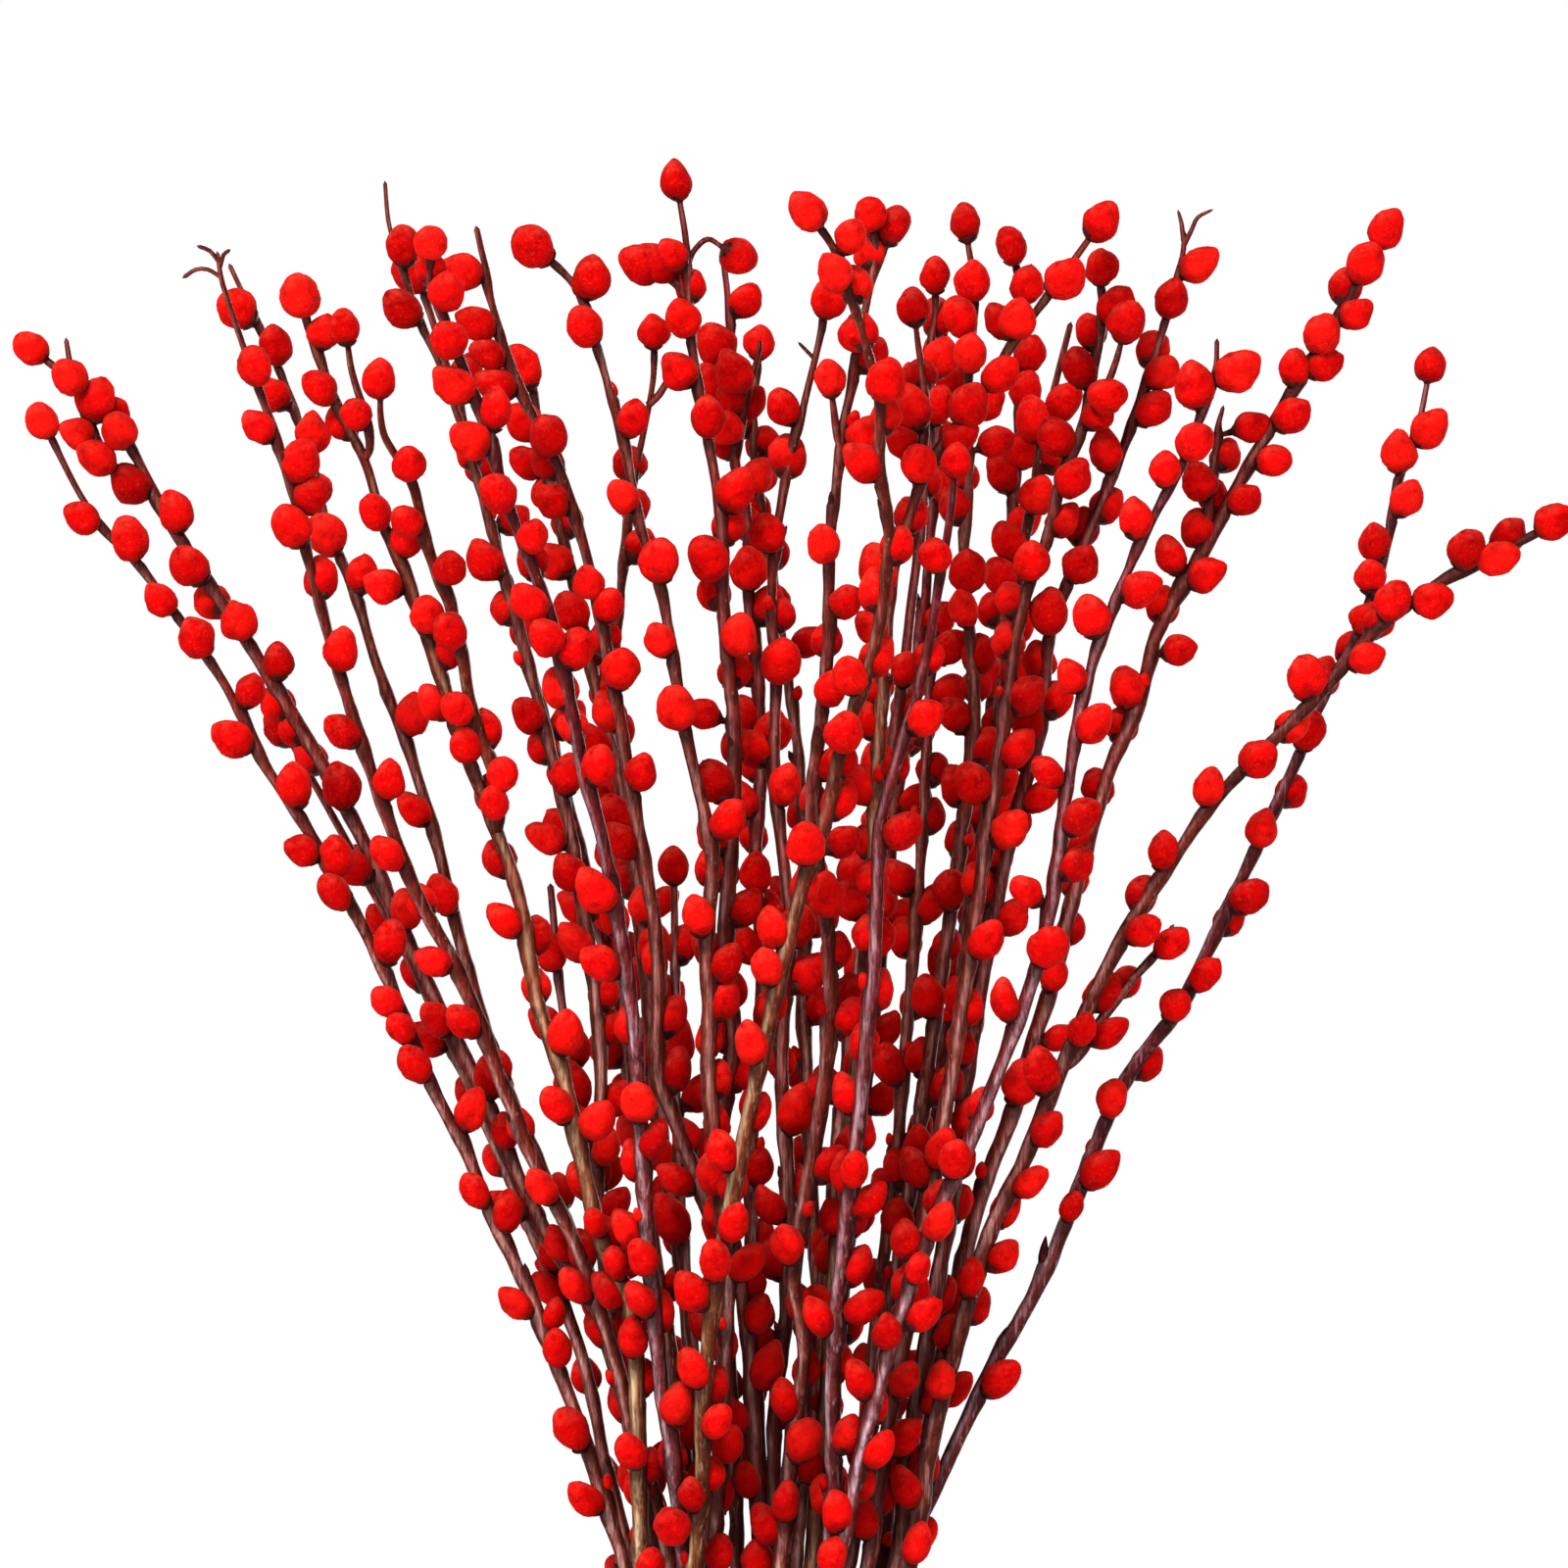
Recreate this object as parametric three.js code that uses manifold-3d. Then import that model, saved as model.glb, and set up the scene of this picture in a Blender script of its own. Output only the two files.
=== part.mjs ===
// Dried willow branches with dyed red catkins, standing fanned out in a plain glazed vase.
// Millimetres, +Z up. The origin is the centre of the vase's flat underside, +X is to the
// right and -Y is towards the viewer. Every branch grew as one piece, so its stem, its side
// shoots and its catkins are one closed solid; the vase is the only other piece.
import * as THREE from 'three';
import { mergeVertices } from 'three/addons/utils/BufferGeometryUtils.js';
import Module from 'manifold-3d';

// ---------------------------------------------------------------- driving dimensions (mm)
const VASE_HEIGHT = 300;         // foot to lip
const VASE_WALL = 5;             // wall thickness, everywhere
const VASE_FLOOR = 8;            // thickness of the bottom
const VASE_FOOT_RADIUS = 57;     // flat disc that it stands on
const VASE_BELLY_RADIUS = 81.5;  // widest, at VASE_BELLY_HEIGHT
const VASE_BELLY_HEIGHT = 110;
const VASE_NECK_RADIUS = 51.8;   // narrowest, at VASE_NECK_HEIGHT
const VASE_NECK_HEIGHT = 264;
const VASE_LIP_RADIUS = 56;      // outside of the flared lip
const VASE_SEGMENTS = 36;

const STEM_SIDES = 4;            // sides of every stem and shoot
const TAPER_POWER = 3;           // a stem keeps its thickness low down and thins out higher up
const CATKIN_SIDES = 3;
const CATKIN_SEAT = 0.6;         // a catkin's axis starts this share of the stem radius out
const CATKIN_WIDEST = 0.45;      // share of the length where a catkin is widest
const TIP_SINK = 1.0;            // how far an end catkin is pushed over the end of its shoot

const CATKIN_COLOUR = 0xc8100c;
const VASE_COLOUR = 0xe9e4da;

// ---------------------------------------------------------------- the branches
// shoots: [diameter at the base, diameter at the end, [[x, y, z], ...] from base to end];
//   the first one is the main stem, which starts on the vase's floor, and the others start
//   inside the main stem.
// catkins: [shoot, height z of its node, azimuth in degrees (0 = +X, 90 = +Y, 999 = on the
//   end of the shoot), angle off the shoot, length of its bud cup, length, width].
const BRANCHES = [
  { name: 'branch_01',
    shoots: [
      [6.61,2.37,[[44.6,9.9,8.4],[27.8,23.3,74.5],[14.3,22.9,104.6],[0.8,19.4,140.1],[-17,11.9,216],[-60.2,-8,362.5],[-62,-9.2,372.5],[-85,-14.9,442.7],[-104.3,-17.9,492.7],[-121.2,-19.8,527.6],[-132.8,-21.4,557.6],[-146.3,-22.8,582.5],[-176.5,-26.4,652.3],[-207.5,-29.3,707.1],[-223.6,-30.7,732],[-240.7,-32.5,766.8],[-280,-35.4,821.4],[-302.2,-36.7,846.2],[-325.2,-39,889.3]]],
    ],
    catkins: [
      [0,879.3,276,24,2.6,18.3,14.6],[0,840.5,221,32,2.6,18.3,14.6],[0,823.1,314,31,2.6,21.6,17],
      [0,799.7,259,24,2.6,17.4,14.6],[0,779.8,297,32,2.6,20.6,17],[0,754.8,344,44,2.6,16.9,14.6],
      [0,737.8,204,32,2.6,20.7,17],[0,708.7,335,25,2.6,21.8,17],[0,687.6,209,33,2.6,16.9,14.6],[0,678,318,32,2.6,19.9,16.1],
      [0,665.8,253,34,2.6,20.1,16.5],[0,636.9,348,35,2.6,20.1,16.5],[0,615.8,239,31,2.6,17.4,14.6],
      [0,603.5,252,32,2.6,16.9,14.6],[0,586.4,246,32,2.6,20.2,16.1],[0,561.2,344,46,2.6,20.1,16.5],
      [0,528,249,23,2.6,17.5,14.6],[0,478.4,209,30,2.6,18.6,14.6],[0,454.6,298,30,2.6,18,15.1],[0,416.5,247,28,2.6,23,18.4],
      [0,388.4,216,34,2.6,19.2,15.1],[0,515,333,33,2.4,19,15],[0,470,354,33,2.4,14.5,12],
    ] },
  { name: 'branch_02',
    shoots: [
      [8.20,3.39,[[44.4,-0.7,8.4],[39.6,9,56],[34.1,15.9,100.4],[24.1,20.9,140],[12.1,23,174.9],[5,22.1,195.1],[-15.3,14.6,255.9],[-35.4,-2.9,347.2],[-40.1,-6.6,372.4],[-54.3,-7.9,422.4],[-72.5,-6.6,482.3],[-78.1,-5.8,492.2],[-93.3,-4.2,512.1],[-101.8,-3.1,527.1],[-128.3,-0.7,587],[-158.2,-0.1,647],[-175,0.2,687],[-196,0.8,727],[-225.9,3.6,777],[-268.7,12.9,842.3],[-277.1,13.9,857.3],[-283.9,13.3,872.3],[-292.6,10.9,887.3],[-300.4,8.4,897.2],[-325.1,1.9,917.5]]],
      [3.60,2.17,[[-277.1,13.9,857.3],[-288,13.1,862.3],[-293.1,12.4,867.3],[-300.9,11,877.3],[-303.6,10.4,882.3],[-311.2,9.8,902.3],[-315.2,11,917.4],[-316.9,12.3,926.8]]],
    ],
    catkins: [
      [0,917.5,999,0,1.6,18,15.1],[0,903.8,278,35,2.6,20.1,16.5],[0,884.8,74,40,2.6,16.8,14.6],
      [0,877.4,261,34,2.6,20.1,16.5],[0,854.3,182,24,2.6,21,18.4],[0,835.4,319,24,2.6,20.1,16.5],
      [0,814.4,243,30,2.6,21.2,18.4],[0,801.8,115,32,2.6,19.3,16.1],[0,787.4,291,34,2.6,19.6,17],
      [0,767,339,32,2.6,17.5,15.1],[0,752.9,117,29,2.6,18.2,16.1],[0,741.2,118,27,2.6,16.5,14.6],
      [0,728,115,32,2.6,18.9,16.1],[0,709.2,293,24,2.6,22.1,18.4],[0,678.3,199,37,2.6,22.1,17],[0,653,321,26,2.6,18.8,14.6],
      [0,630.7,87,26,2.6,17.4,14.6],[0,606,241,23,2.6,18.4,16.1],[0,574.7,333,24,2.6,20.6,17],[0,553.6,301,33,2.6,16.9,14.6],
      [0,524.5,200,40,2.6,20.1,16.5],[0,501.2,302,26,2.6,18.2,14.6],[0,474.1,90,26,2.6,17.8,14.6],
      [0,441.8,70,23,2.6,17.8,14.6],[0,408.1,243,28,2.6,17.8,14.6],[0,382.6,97,25,2.6,18.5,14.6],
      [1,902.6,104,28,2.6,17.2,14.6],[1,886.3,343,33,2.6,21.4,18.4],[1,879.4,207,34,2.6,16.9,14.6],
      [1,867.3,241,27,2.6,20.6,16.1],
    ] },
  { name: 'branch_03',
    shoots: [
      [7.08,2.08,[[38,-20.4,8.4],[33.4,-21.1,34.4],[30.1,-19,49.1],[26.5,-11.9,78.3],[21.2,-0.1,112],[14.3,0.6,136.9],[1.2,11.6,181],[-16.5,21.7,235.2],[-33,28.2,320.1],[-48.4,38.4,394.9],[-60.1,43.6,440],[-77.2,47.1,495.2],[-106.4,49.8,560.7],[-122.2,53.1,600.9],[-139.5,59.5,661.4],[-147.9,63.4,696.7],[-161.8,68.6,742.2],[-173.9,72.1,772.6],[-186.6,76.7,813.1],[-199.6,80.2,843.6],[-206.8,83.6,874.1],[-223.6,88.8,919.9],[-244.6,93.9,964.3]]],
    ],
    catkins: [
      [0,935.9,215,30,2.6,20.9,18.4],[0,916,297,34,2.6,19.6,16.1],[0,896.7,201,28,2.6,18.1,16.1],
      [0,874.1,308,30,2.6,20.1,16.5],[0,852.3,97,30,2.6,16.6,14.6],[0,827.9,250,25,2.6,21.3,18.4],
      [0,808.2,346,25,2.6,18.7,14.6],[0,742.6,330,32,2.6,20.1,16.5],[0,702.5,217,30,2.6,18.3,14.6],
      [0,660.5,251,29,2.6,20.1,16.5],[0,577.6,112,33,2.6,18,14.6],[0,522.9,63,31,2.6,18.2,14.6],[0,500,195,63,2.6,17.5,14.6],
      [0,463.5,106,32,2.6,17.4,14.6],[0,430.6,80,29,2.6,17.4,14.6],[0,397.8,18,32,2.6,18.4,14.6],
    ] },
  { name: 'branch_04',
    shoots: [
      [7.32,2.13,[[14.5,18.8,8.4],[7.9,21.7,39.5],[-13.9,18.7,105.1],[-23.8,18.2,145.3],[-25.6,10.7,196.1],[-38.1,-7.7,297.5],[-46.1,-22.2,368.3],[-52.7,-27.8,408.5],[-63.4,-31.4,458.4],[-79.6,-34.6,508.2],[-105.8,-39.1,563],[-132.7,-45.4,632.7],[-151,-48.7,667.5],[-159.6,-50.6,687.3],[-186.4,-58.1,766.6],[-202.9,-63.7,825.9],[-209.3,-66.5,855.5],[-240.6,-75.5,949.1],[-243.1,-76.8,962.9]]],
      [1.92,1.73,[[-242.4,-76.4,959.4],[-246.7,-78.9,964.6],[-251.1,-81.4,966.3]]],
      [1.92,1.91,[[-241.1,-75.8,952.3],[-247.7,-77.4,956.2],[-252.9,-79.1,956.1],[-257.7,-80.8,953]]],
      [1.92,1.62,[[-242.1,-76.3,957.6],[-240.5,-78.8,962.8],[-238.2,-81.3,964.5]]],
    ],
    catkins: [
      [0,902.4,287,31,2.6,20.1,16.5],[0,877.2,208,27,2.6,18.3,14.6],[0,857.2,339,32,2.6,21.2,18.4],
      [0,843.5,340,40,2.6,18.5,16.1],[0,829.5,239,27,2.6,22.6,18.4],[0,804.4,60,25,2.6,20.7,16.1],
      [0,772.6,314,24,2.6,20.1,16.5],[0,739.3,200,30,2.6,19,14.6],[0,713.2,330,26,2.6,18.5,14.6],
      [0,684,226,31,2.6,19.1,15.1],[0,660.3,85,34,2.6,18.1,14.6],[0,637.6,202,37,2.6,18.1,15.1],
      [0,607.6,223,33,2.6,18.8,15.1],[0,583.4,84,31,2.6,17.3,14.6],[0,556.8,82,30,2.6,17,14.6],[0,530.2,250,24,2.6,19,15.1],
      [0,498.1,79,23,2.6,18.3,14.6],[0,463.4,110,29,2.6,18.9,14.6],[0,428.9,93,32,2.6,17.5,14.6],
      [0,388.9,104,32,2.6,17.8,14.6],[0,485,207,21,2.4,19,15],
    ] },
  { name: 'branch_05',
    shoots: [
      [6.84,2.88,[[45.5,-18.1,8.4],[35.5,0.8,56.9],[25.7,6.2,81.3],[20.5,5.8,96.4],[17.4,7.3,106.3],[11.6,13.3,125.7],[6.5,19.2,150.2],[0.4,20.6,170.1],[-24.6,24.1,235],[-37.3,24,295.3],[-68,34.4,405.2],[-75.2,34.1,440.4],[-82.1,33.2,465.6],[-93.6,33.3,495.7],[-110.8,35.4,535.9],[-149.2,42.7,621.3],[-177.9,47.7,676.6],[-213.5,53.4,740.3]]],
    ],
    catkins: [
      [0,740.3,999,0,1.6,21.2,18.4],[0,680.1,84,35,2.6,16.7,14.6],[0,651.9,121,26,2.6,18.9,14.6],[0,625.4,98,25,2.6,19,14.6],
      [0,599.8,200,44,2.6,20.1,16.5],[0,569.8,102,23,2.6,18.8,14.6],[0,541.2,111,30,2.6,17.2,14.6],
      [0,512.1,68,26,2.6,16.6,14.6],[0,482.6,239,34,2.6,17.6,14.6],[0,439.5,96,33,2.6,18.4,14.6],
      [0,395.6,93,31,2.6,18.4,14.6],[0,495,312,21,2.4,19,15],[0,350,228,33,2.4,19,15],
    ] },
  { name: 'branch_06',
    shoots: [
      [7.55,2.92,[[-41.8,22.2,8.4],[-45.6,16.5,70.2],[-47.9,8.6,136.2],[-45.4,0.4,192],[-38.7,-14,283],[-40,-17.2,298.2],[-51.3,-34.6,364.1],[-52.3,-42.1,394.3],[-52.7,-47.1,429.3],[-56.2,-49.8,484],[-70.6,-52.7,518.8],[-86.6,-60.2,588.4],[-98.4,-63,623.1],[-105.7,-64.2,667.6],[-111.7,-65.2,687.4],[-119.1,-68.6,707.2],[-134.3,-80.3,746.7],[-141.8,-85.8,771.3],[-158.9,-93.1,820.5],[-167.4,-96,840.1],[-176.1,-100.1,869.5],[-188.2,-103.3,894],[-198.8,-107.2,923.4],[-201.7,-108.5,933.1],[-203.4,-110.8,949.6]]],
      [3.60,2.45,[[-176.1,-100.1,869.5],[-173.6,-102.1,874.4],[-174.2,-106,884.1],[-180.9,-115.7,908.4],[-182.6,-120.2,919.7]]],
      [5.52,2.58,[[-117.2,-67.8,702.2],[-116.3,-75.3,722],[-119,-79.2,731.9],[-126.5,-86.6,751.6],[-129.6,-92,766.3],[-131.6,-97.5,781],[-134.5,-101.3,790.8],[-137.4,-106.9,805.5],[-141.8,-110.4,815.3],[-148.6,-117.2,834.8],[-154,-124.7,859.1],[-165.4,-130,878.6],[-167.5,-132.5,888.3],[-167.7,-134.4,895.4]]],
    ],
    catkins: [
      [0,933.3,268,33,2.6,21.7,18.4],[0,916.6,334,33,2.6,17.4,14.6],[0,894,225,28,2.6,19.1,15.1],
      [0,876.8,105,23,2.6,18.3,14.6],[0,838.7,261,33,2.6,18,15.1],[0,823,344,36,2.6,18.5,15.1],
      [0,809.7,192,52,2.6,18.7,15.1],[0,788.4,298,28,2.6,19.7,16.1],[0,772.4,16,36,2.6,18.5,16.1],
      [0,751,144,28,2.6,18.8,16.1],[0,732.1,286,27,2.6,19,14.6],[0,706.7,66,27,2.6,17.6,14.6],[0,679.3,113,34,2.6,19.7,16.1],
      [0,652.7,192,37,2.6,18.7,14.6],[0,642.9,67,34,2.6,18.8,16.1],[0,620.6,81,31,2.6,17.7,14.6],
      [0,597.2,326,33,2.6,20.9,18.4],[0,567.8,222,29,2.6,18.9,16.1],[0,559,341,46,2.6,20.1,16.5],
      [0,531.6,109,33,2.6,18.6,14.6],[0,506.2,72,32,2.6,17.7,14.6],[0,482,162,30,2.6,19.3,16.1],
      [0,440.4,62,25,2.6,17.8,14.6],[0,399.5,53,23,2.6,17.2,14.6],[1,919.7,999,0,1.6,18.2,14.6],
      [1,882.7,230,27,2.6,17.1,14.6],[2,895.4,999,0,1.6,18.9,14.6],[2,859.2,287,34,2.6,18.5,15.1],
      [2,835.3,222,33,2.6,17.2,14.6],[2,811.6,320,32,2.6,17.2,15.1],[2,785.3,251,33,2.6,20.1,16.5],
      [2,750.7,227,32,2.6,19,14.6],[2,735,69,26,2.6,19,14.6],[2,719.3,292,26,2.6,18.4,15.1],[2,708.2,112,36,2.6,16.6,14.6],
      [2,708.2,262,32,2.6,18.3,14.6],[0,460,270,21,2.4,19,15],[0,495,291,21,2.4,16.5,13.4],[0,515,270,21,2.4,14.5,12],
      [0,355,312,21,2.4,19,15],[0,410,249,33,2.4,19,15],
    ] },
  { name: 'branch_07',
    shoots: [
      [6.84,1.83,[[9.7,-6.2,8.4],[2.8,-4.7,42.5],[-0.6,-5.6,57.6],[-3.5,-4.7,67.5],[-5.5,3.5,96.6],[-5.1,12.3,130.8],[-7.6,14.1,145.7],[-18.6,16.9,190.5],[-25.3,16.5,225.6],[-32.4,14.3,291],[-45.4,12.4,361.3],[-53.9,8.6,421.6],[-70.7,12.1,511.6],[-72.6,13,536.6],[-70.8,16.1,581.6],[-72.1,18,611.7],[-77.1,20.2,651.8],[-86.7,22.7,706.9],[-124.6,28.7,852.6],[-144,31.2,913],[-154.7,32.2,938.1],[-166.5,33.6,973.4],[-169.1,34.1,983.5],[-170.7,34.7,1000]]],
    ],
    catkins: [
      [0,958.8,311,24,2.6,20.1,16.5],[0,934.3,228,33,2.6,21.3,17],[0,866.6,85,24,2.6,17.6,14.6],[0,816.5,212,26,2.6,21.1,17],
      [0,795.1,114,28,2.6,18.1,14.6],[0,745.8,211,26,2.6,18.1,14.6],[0,730.9,109,29,2.6,17.7,14.6],
      [0,714.6,329,25,2.6,19.8,16.1],[0,692.8,192,53,2.6,18.9,14.6],[0,671.9,241,26,2.6,18.9,16.1],
      [0,657.1,62,28,2.6,16.6,14.6],[0,639.8,221,32,2.6,20.1,16.5],[0,615.7,60,25,2.6,18.6,16.1],
      [0,600.8,53,32,2.6,17.3,14.6],[0,567.7,47,34,2.6,19.4,16.1],[0,553.6,168,30,2.6,19.9,16.1],
      [0,535.5,87,32,2.6,18.4,14.6],[0,516.4,344,32,2.6,19,16.1],[0,492.3,342,41,2.6,22.1,18.4],
      [0,463.6,341,28,2.6,21.1,18.4],[0,428.6,125,25,2.6,18.1,14.6],[0,391.7,50,25,2.6,16.8,14.6],[0,545,291,33,2.4,19,15],
    ] },
  { name: 'branch_08',
    shoots: [
      [6.84,2.86,[[23.3,-40.4,8.4],[27.7,-20.3,79.2],[28.3,-14.6,93.5],[27.7,-3,122.3],[27.6,3,146.7],[23.3,13.3,180.8],[-9.4,38.7,304.3],[-23.1,53,358.8],[-30.9,66.4,408.6],[-45.1,74.6,489.1],[-55.9,93.4,574.7],[-66.3,104.2,630.4],[-97,123.5,747.5],[-113.6,134,803.8],[-135.3,150.2,886],[-159.9,166,965.8]]],
    ],
    catkins: [
      [0,953.1,255,32,2.6,21.7,18.4],[0,905,19,37,2.6,20.4,16.1],[0,862,59,28,2.6,18.5,16.1],[0,841.2,16,67,2.6,17.6,14.6],
      [0,786.8,67,35,2.6,20.7,16.1],[0,742.4,18,49,2.6,21.3,17],[0,718.6,81,27,2.6,17.1,14.6],[0,694.8,222,33,2.6,18,16.1],
      [0,657.2,192,33,2.6,18.8,16.1],[0,635.8,44,33,2.6,18.9,16.1],[0,612.5,83,23,2.6,18.3,14.6],
      [0,590.4,162,34,2.6,18.7,16.1],[0,571.3,113,31,2.6,18.7,14.6],[0,551.4,118,26,2.6,19.6,16.1],
      [0,517.3,82,32,2.6,18.7,14.6],[0,447.8,70,28,2.6,17,14.6],[0,411.8,32,24,2.6,19,16.1],[0,382.3,72,28,2.6,17.5,14.6],
    ] },
  { name: 'branch_09',
    shoots: [
      [7.08,2.94,[[11.6,36.5,8.4],[-3.4,23.9,94.5],[-16.3,13.6,145.7],[-20.9,7.3,171.3],[-22.6,1.2,196.9],[-23,-18.5,278.4],[-29.1,-33,339.1],[-35,-50.7,399.8],[-37.6,-54.3,419.8],[-43.1,-58.1,459.6],[-46,-62.4,489.5],[-49.4,-68.8,524.3],[-53.3,-83.1,598.7],[-57.4,-89.6,633.4],[-68.4,-101.7,697.4],[-76.5,-107.3,726.9],[-85.4,-115.6,771.1],[-94.3,-122.1,805.3],[-110.7,-130.5,849.2],[-120.4,-137,883.3],[-144.5,-149,946.3],[-144.7,-150.9,956],[-142.1,-153.3,968.6]]],
    ],
    catkins: [
      [0,957.4,267,35,2.6,17.2,14.6],[0,943.8,79,25,2.6,16.5,14.6],[0,932.8,335,29,2.6,18.5,16.1],
      [0,913.6,257,28,2.6,20.1,16.5],[0,894.1,203,26,2.6,21.1,18.4],[0,877.8,25,25,2.6,20.3,16.1],
      [0,870.5,197,37,2.6,20.1,16.5],[0,845.5,250,33,2.6,20.1,16.5],[0,825,320,34,2.6,16.8,14.6],[0,812,86,31,2.6,18.8,14.6],
      [0,797.3,216,31,2.6,20.1,16.5],[0,781.1,245,32,2.6,19.7,16.1],[0,772.2,346,34,2.6,20.1,16.5],
      [0,754.1,119,24,2.6,20.6,16.1],[0,738.5,99,23,2.6,17.2,14.6],[0,720.2,331,34,2.6,20.1,16.5],
      [0,665.3,228,30,2.6,23.9,18.4],[0,650.8,95,31,2.6,18.2,14.6],[0,635,195,46,2.6,20.1,16.5],[0,601.6,106,27,2.6,18,14.6],
      [0,568,266,23,2.6,20.6,17],[0,540.4,116,31,2.6,18.3,14.6],[0,510.8,157,33,2.6,19.2,16.1],[0,470.3,68,27,2.6,18.4,14.6],
      [0,428.2,323,22,2.6,20.1,16.5],[0,405.6,92,22,2.6,16.9,14.6],[0,378.7,252,42,2.6,22.1,18.4],[0,480,228,33,2.4,19,15],
      [0,500,249,33,2.4,19,15],[0,550,354,21,2.4,19,15],
    ] },
  { name: 'branch_10',
    shoots: [
      [7.32,2.62,[[1.1,6.3,8.4],[-5.7,10.7,45.8],[-12.8,9.9,111],[-11.1,6.4,156.4],[-13.6,7.4,181.3],[-15.9,5.5,201.5],[-10.2,-2.2,312.1],[-8.1,-4.4,367.3],[-10.4,-6.9,437.3],[-16.9,-11,512.4],[-20.7,-11.6,527.4],[-39.9,-15,577.4],[-44,-16.3,592.4],[-44,-19.2,632.3],[-47.1,-21.2,667.2],[-73.1,-27.6,811.6],[-87.6,-29.6,861.3],[-114,-32.1,920.9],[-127,-34.5,976.2]]],
    ],
    catkins: [
      [0,952.5,198,55,2.6,19.9,17],[0,927.9,195,49,2.6,20.1,16.5],[0,914.5,198,41,2.6,17.5,14.6],
      [0,901.4,193,47,2.6,20.1,16.5],[0,871.6,288,33,2.6,21.1,18.4],[0,860.8,121,26,2.6,20,16.1],
      [0,845.4,206,34,2.6,17.7,15.1],[0,806.6,260,31,2.6,17.1,14.6],[0,794.9,311,33,2.6,16.7,14.6],
      [0,780.1,87,29,2.6,16.7,14.6],[0,763.7,310,30,2.6,20.7,18.4],[0,745,120,24,2.6,20.4,16.1],
      [0,717.8,321,32,2.6,17.7,15.1],[0,687.9,162,33,2.6,19.8,16.1],[0,655.6,116,28,2.6,19.8,16.1],
      [0,630.3,101,27,2.6,18.7,14.6],[0,604.5,45,31,2.6,20.2,16.1],[0,578.2,18,31,2.6,20.1,16.1],
      [0,549.4,76,31,2.6,18.3,14.6],[0,518.7,21,32,2.6,19.1,16.1],[0,478.3,115,32,2.6,18.9,14.6],
      [0,437.4,97,32,2.6,16.9,14.6],[0,396.5,118,29,2.6,17.1,14.6],[0,535,186,33,2.4,19,15],[0,465,186,33,2.4,19,15],
    ] },
  { name: 'branch_11',
    shoots: [
      [6.84,2.86,[[1.7,-25.1,8.4],[1,-24.5,24.9],[-3,-21.2,49.4],[-0.8,-10.2,88.1],[-9.2,-1.8,157.2],[-9.3,-0.3,177],[-7.2,5.6,211.5],[-6.2,10.4,251.2],[-12.7,18.5,295.7],[-21.8,27,360.4],[-29.6,39.6,460.3],[-44.8,53.3,575.7],[-52.8,63.2,656.3],[-61.2,70.1,711.9],[-66,73.2,737.2],[-75.4,77.5,772.6],[-82,81.9,808.1],[-95.9,88.7,864.1],[-105.4,95.4,918.7]]],
    ],
    catkins: [
      [0,904.6,242,28,2.6,23.5,18.4],[0,882.1,202,33,2.6,20.1,16.5],[0,866.3,162,41,2.6,18.2,16.1],
      [0,850.3,120,25,2.6,17.1,14.6],[0,835.5,60,29,2.6,18.2,16.1],[0,817.7,215,32,2.6,19.7,17],[0,792,230,26,2.6,20.1,16.5],
      [0,777,16,35,2.6,19.6,16.1],[0,756.1,53,24,2.6,16.6,14.6],[0,734.4,202,35,2.6,20.6,16.1],[0,716.6,79,24,2.6,18.5,14.6],
      [0,697.6,246,33,2.6,20.9,17],[0,668.4,120,23,2.6,20.5,16.1],[0,661,17,60,2.6,17.8,14.6],[0,636.2,316,24,2.6,20.1,16.5],
      [0,615.9,16,48,2.6,17.1,14.6],[0,587.4,123,28,2.6,18.2,15.1],[0,563.9,94,27,2.6,19,14.6],
      [0,540.9,262,28,2.6,16.5,14.6],[0,502.9,88,24,2.6,16.8,14.6],[0,465.1,49,34,2.6,19.6,16.1],
      [0,426.4,69,31,2.6,17.9,14.6],[0,386.9,137,30,2.6,18.9,16.1],[0,358.9,68,30,2.6,18.4,14.6],
    ] },
  { name: 'branch_12',
    shoots: [
      [7.32,2.65,[[-32.9,20.3,8.4],[-35.6,13.8,30.4],[-36.9,11.1,45.7],[-34.6,-0.2,127],[-31.3,-5.2,177.5],[-30.3,-13,273],[-18.5,-21.6,373.3],[-12.8,-40.1,483.6],[-15,-47.1,528.5],[-21.2,-50.1,593.1],[-20.2,-51.5,622.9],[-21.7,-53.3,647.7],[-19.4,-56.8,687.3],[-22,-58.7,707.2],[-31.3,-62.8,746.7],[-41.2,-69,806],[-51.8,-72.7,840.6],[-58.7,-76.3,875],[-75,-82.6,934.1],[-81.4,-84.2,948.8],[-97.9,-85.9,964.7]]],
    ],
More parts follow.
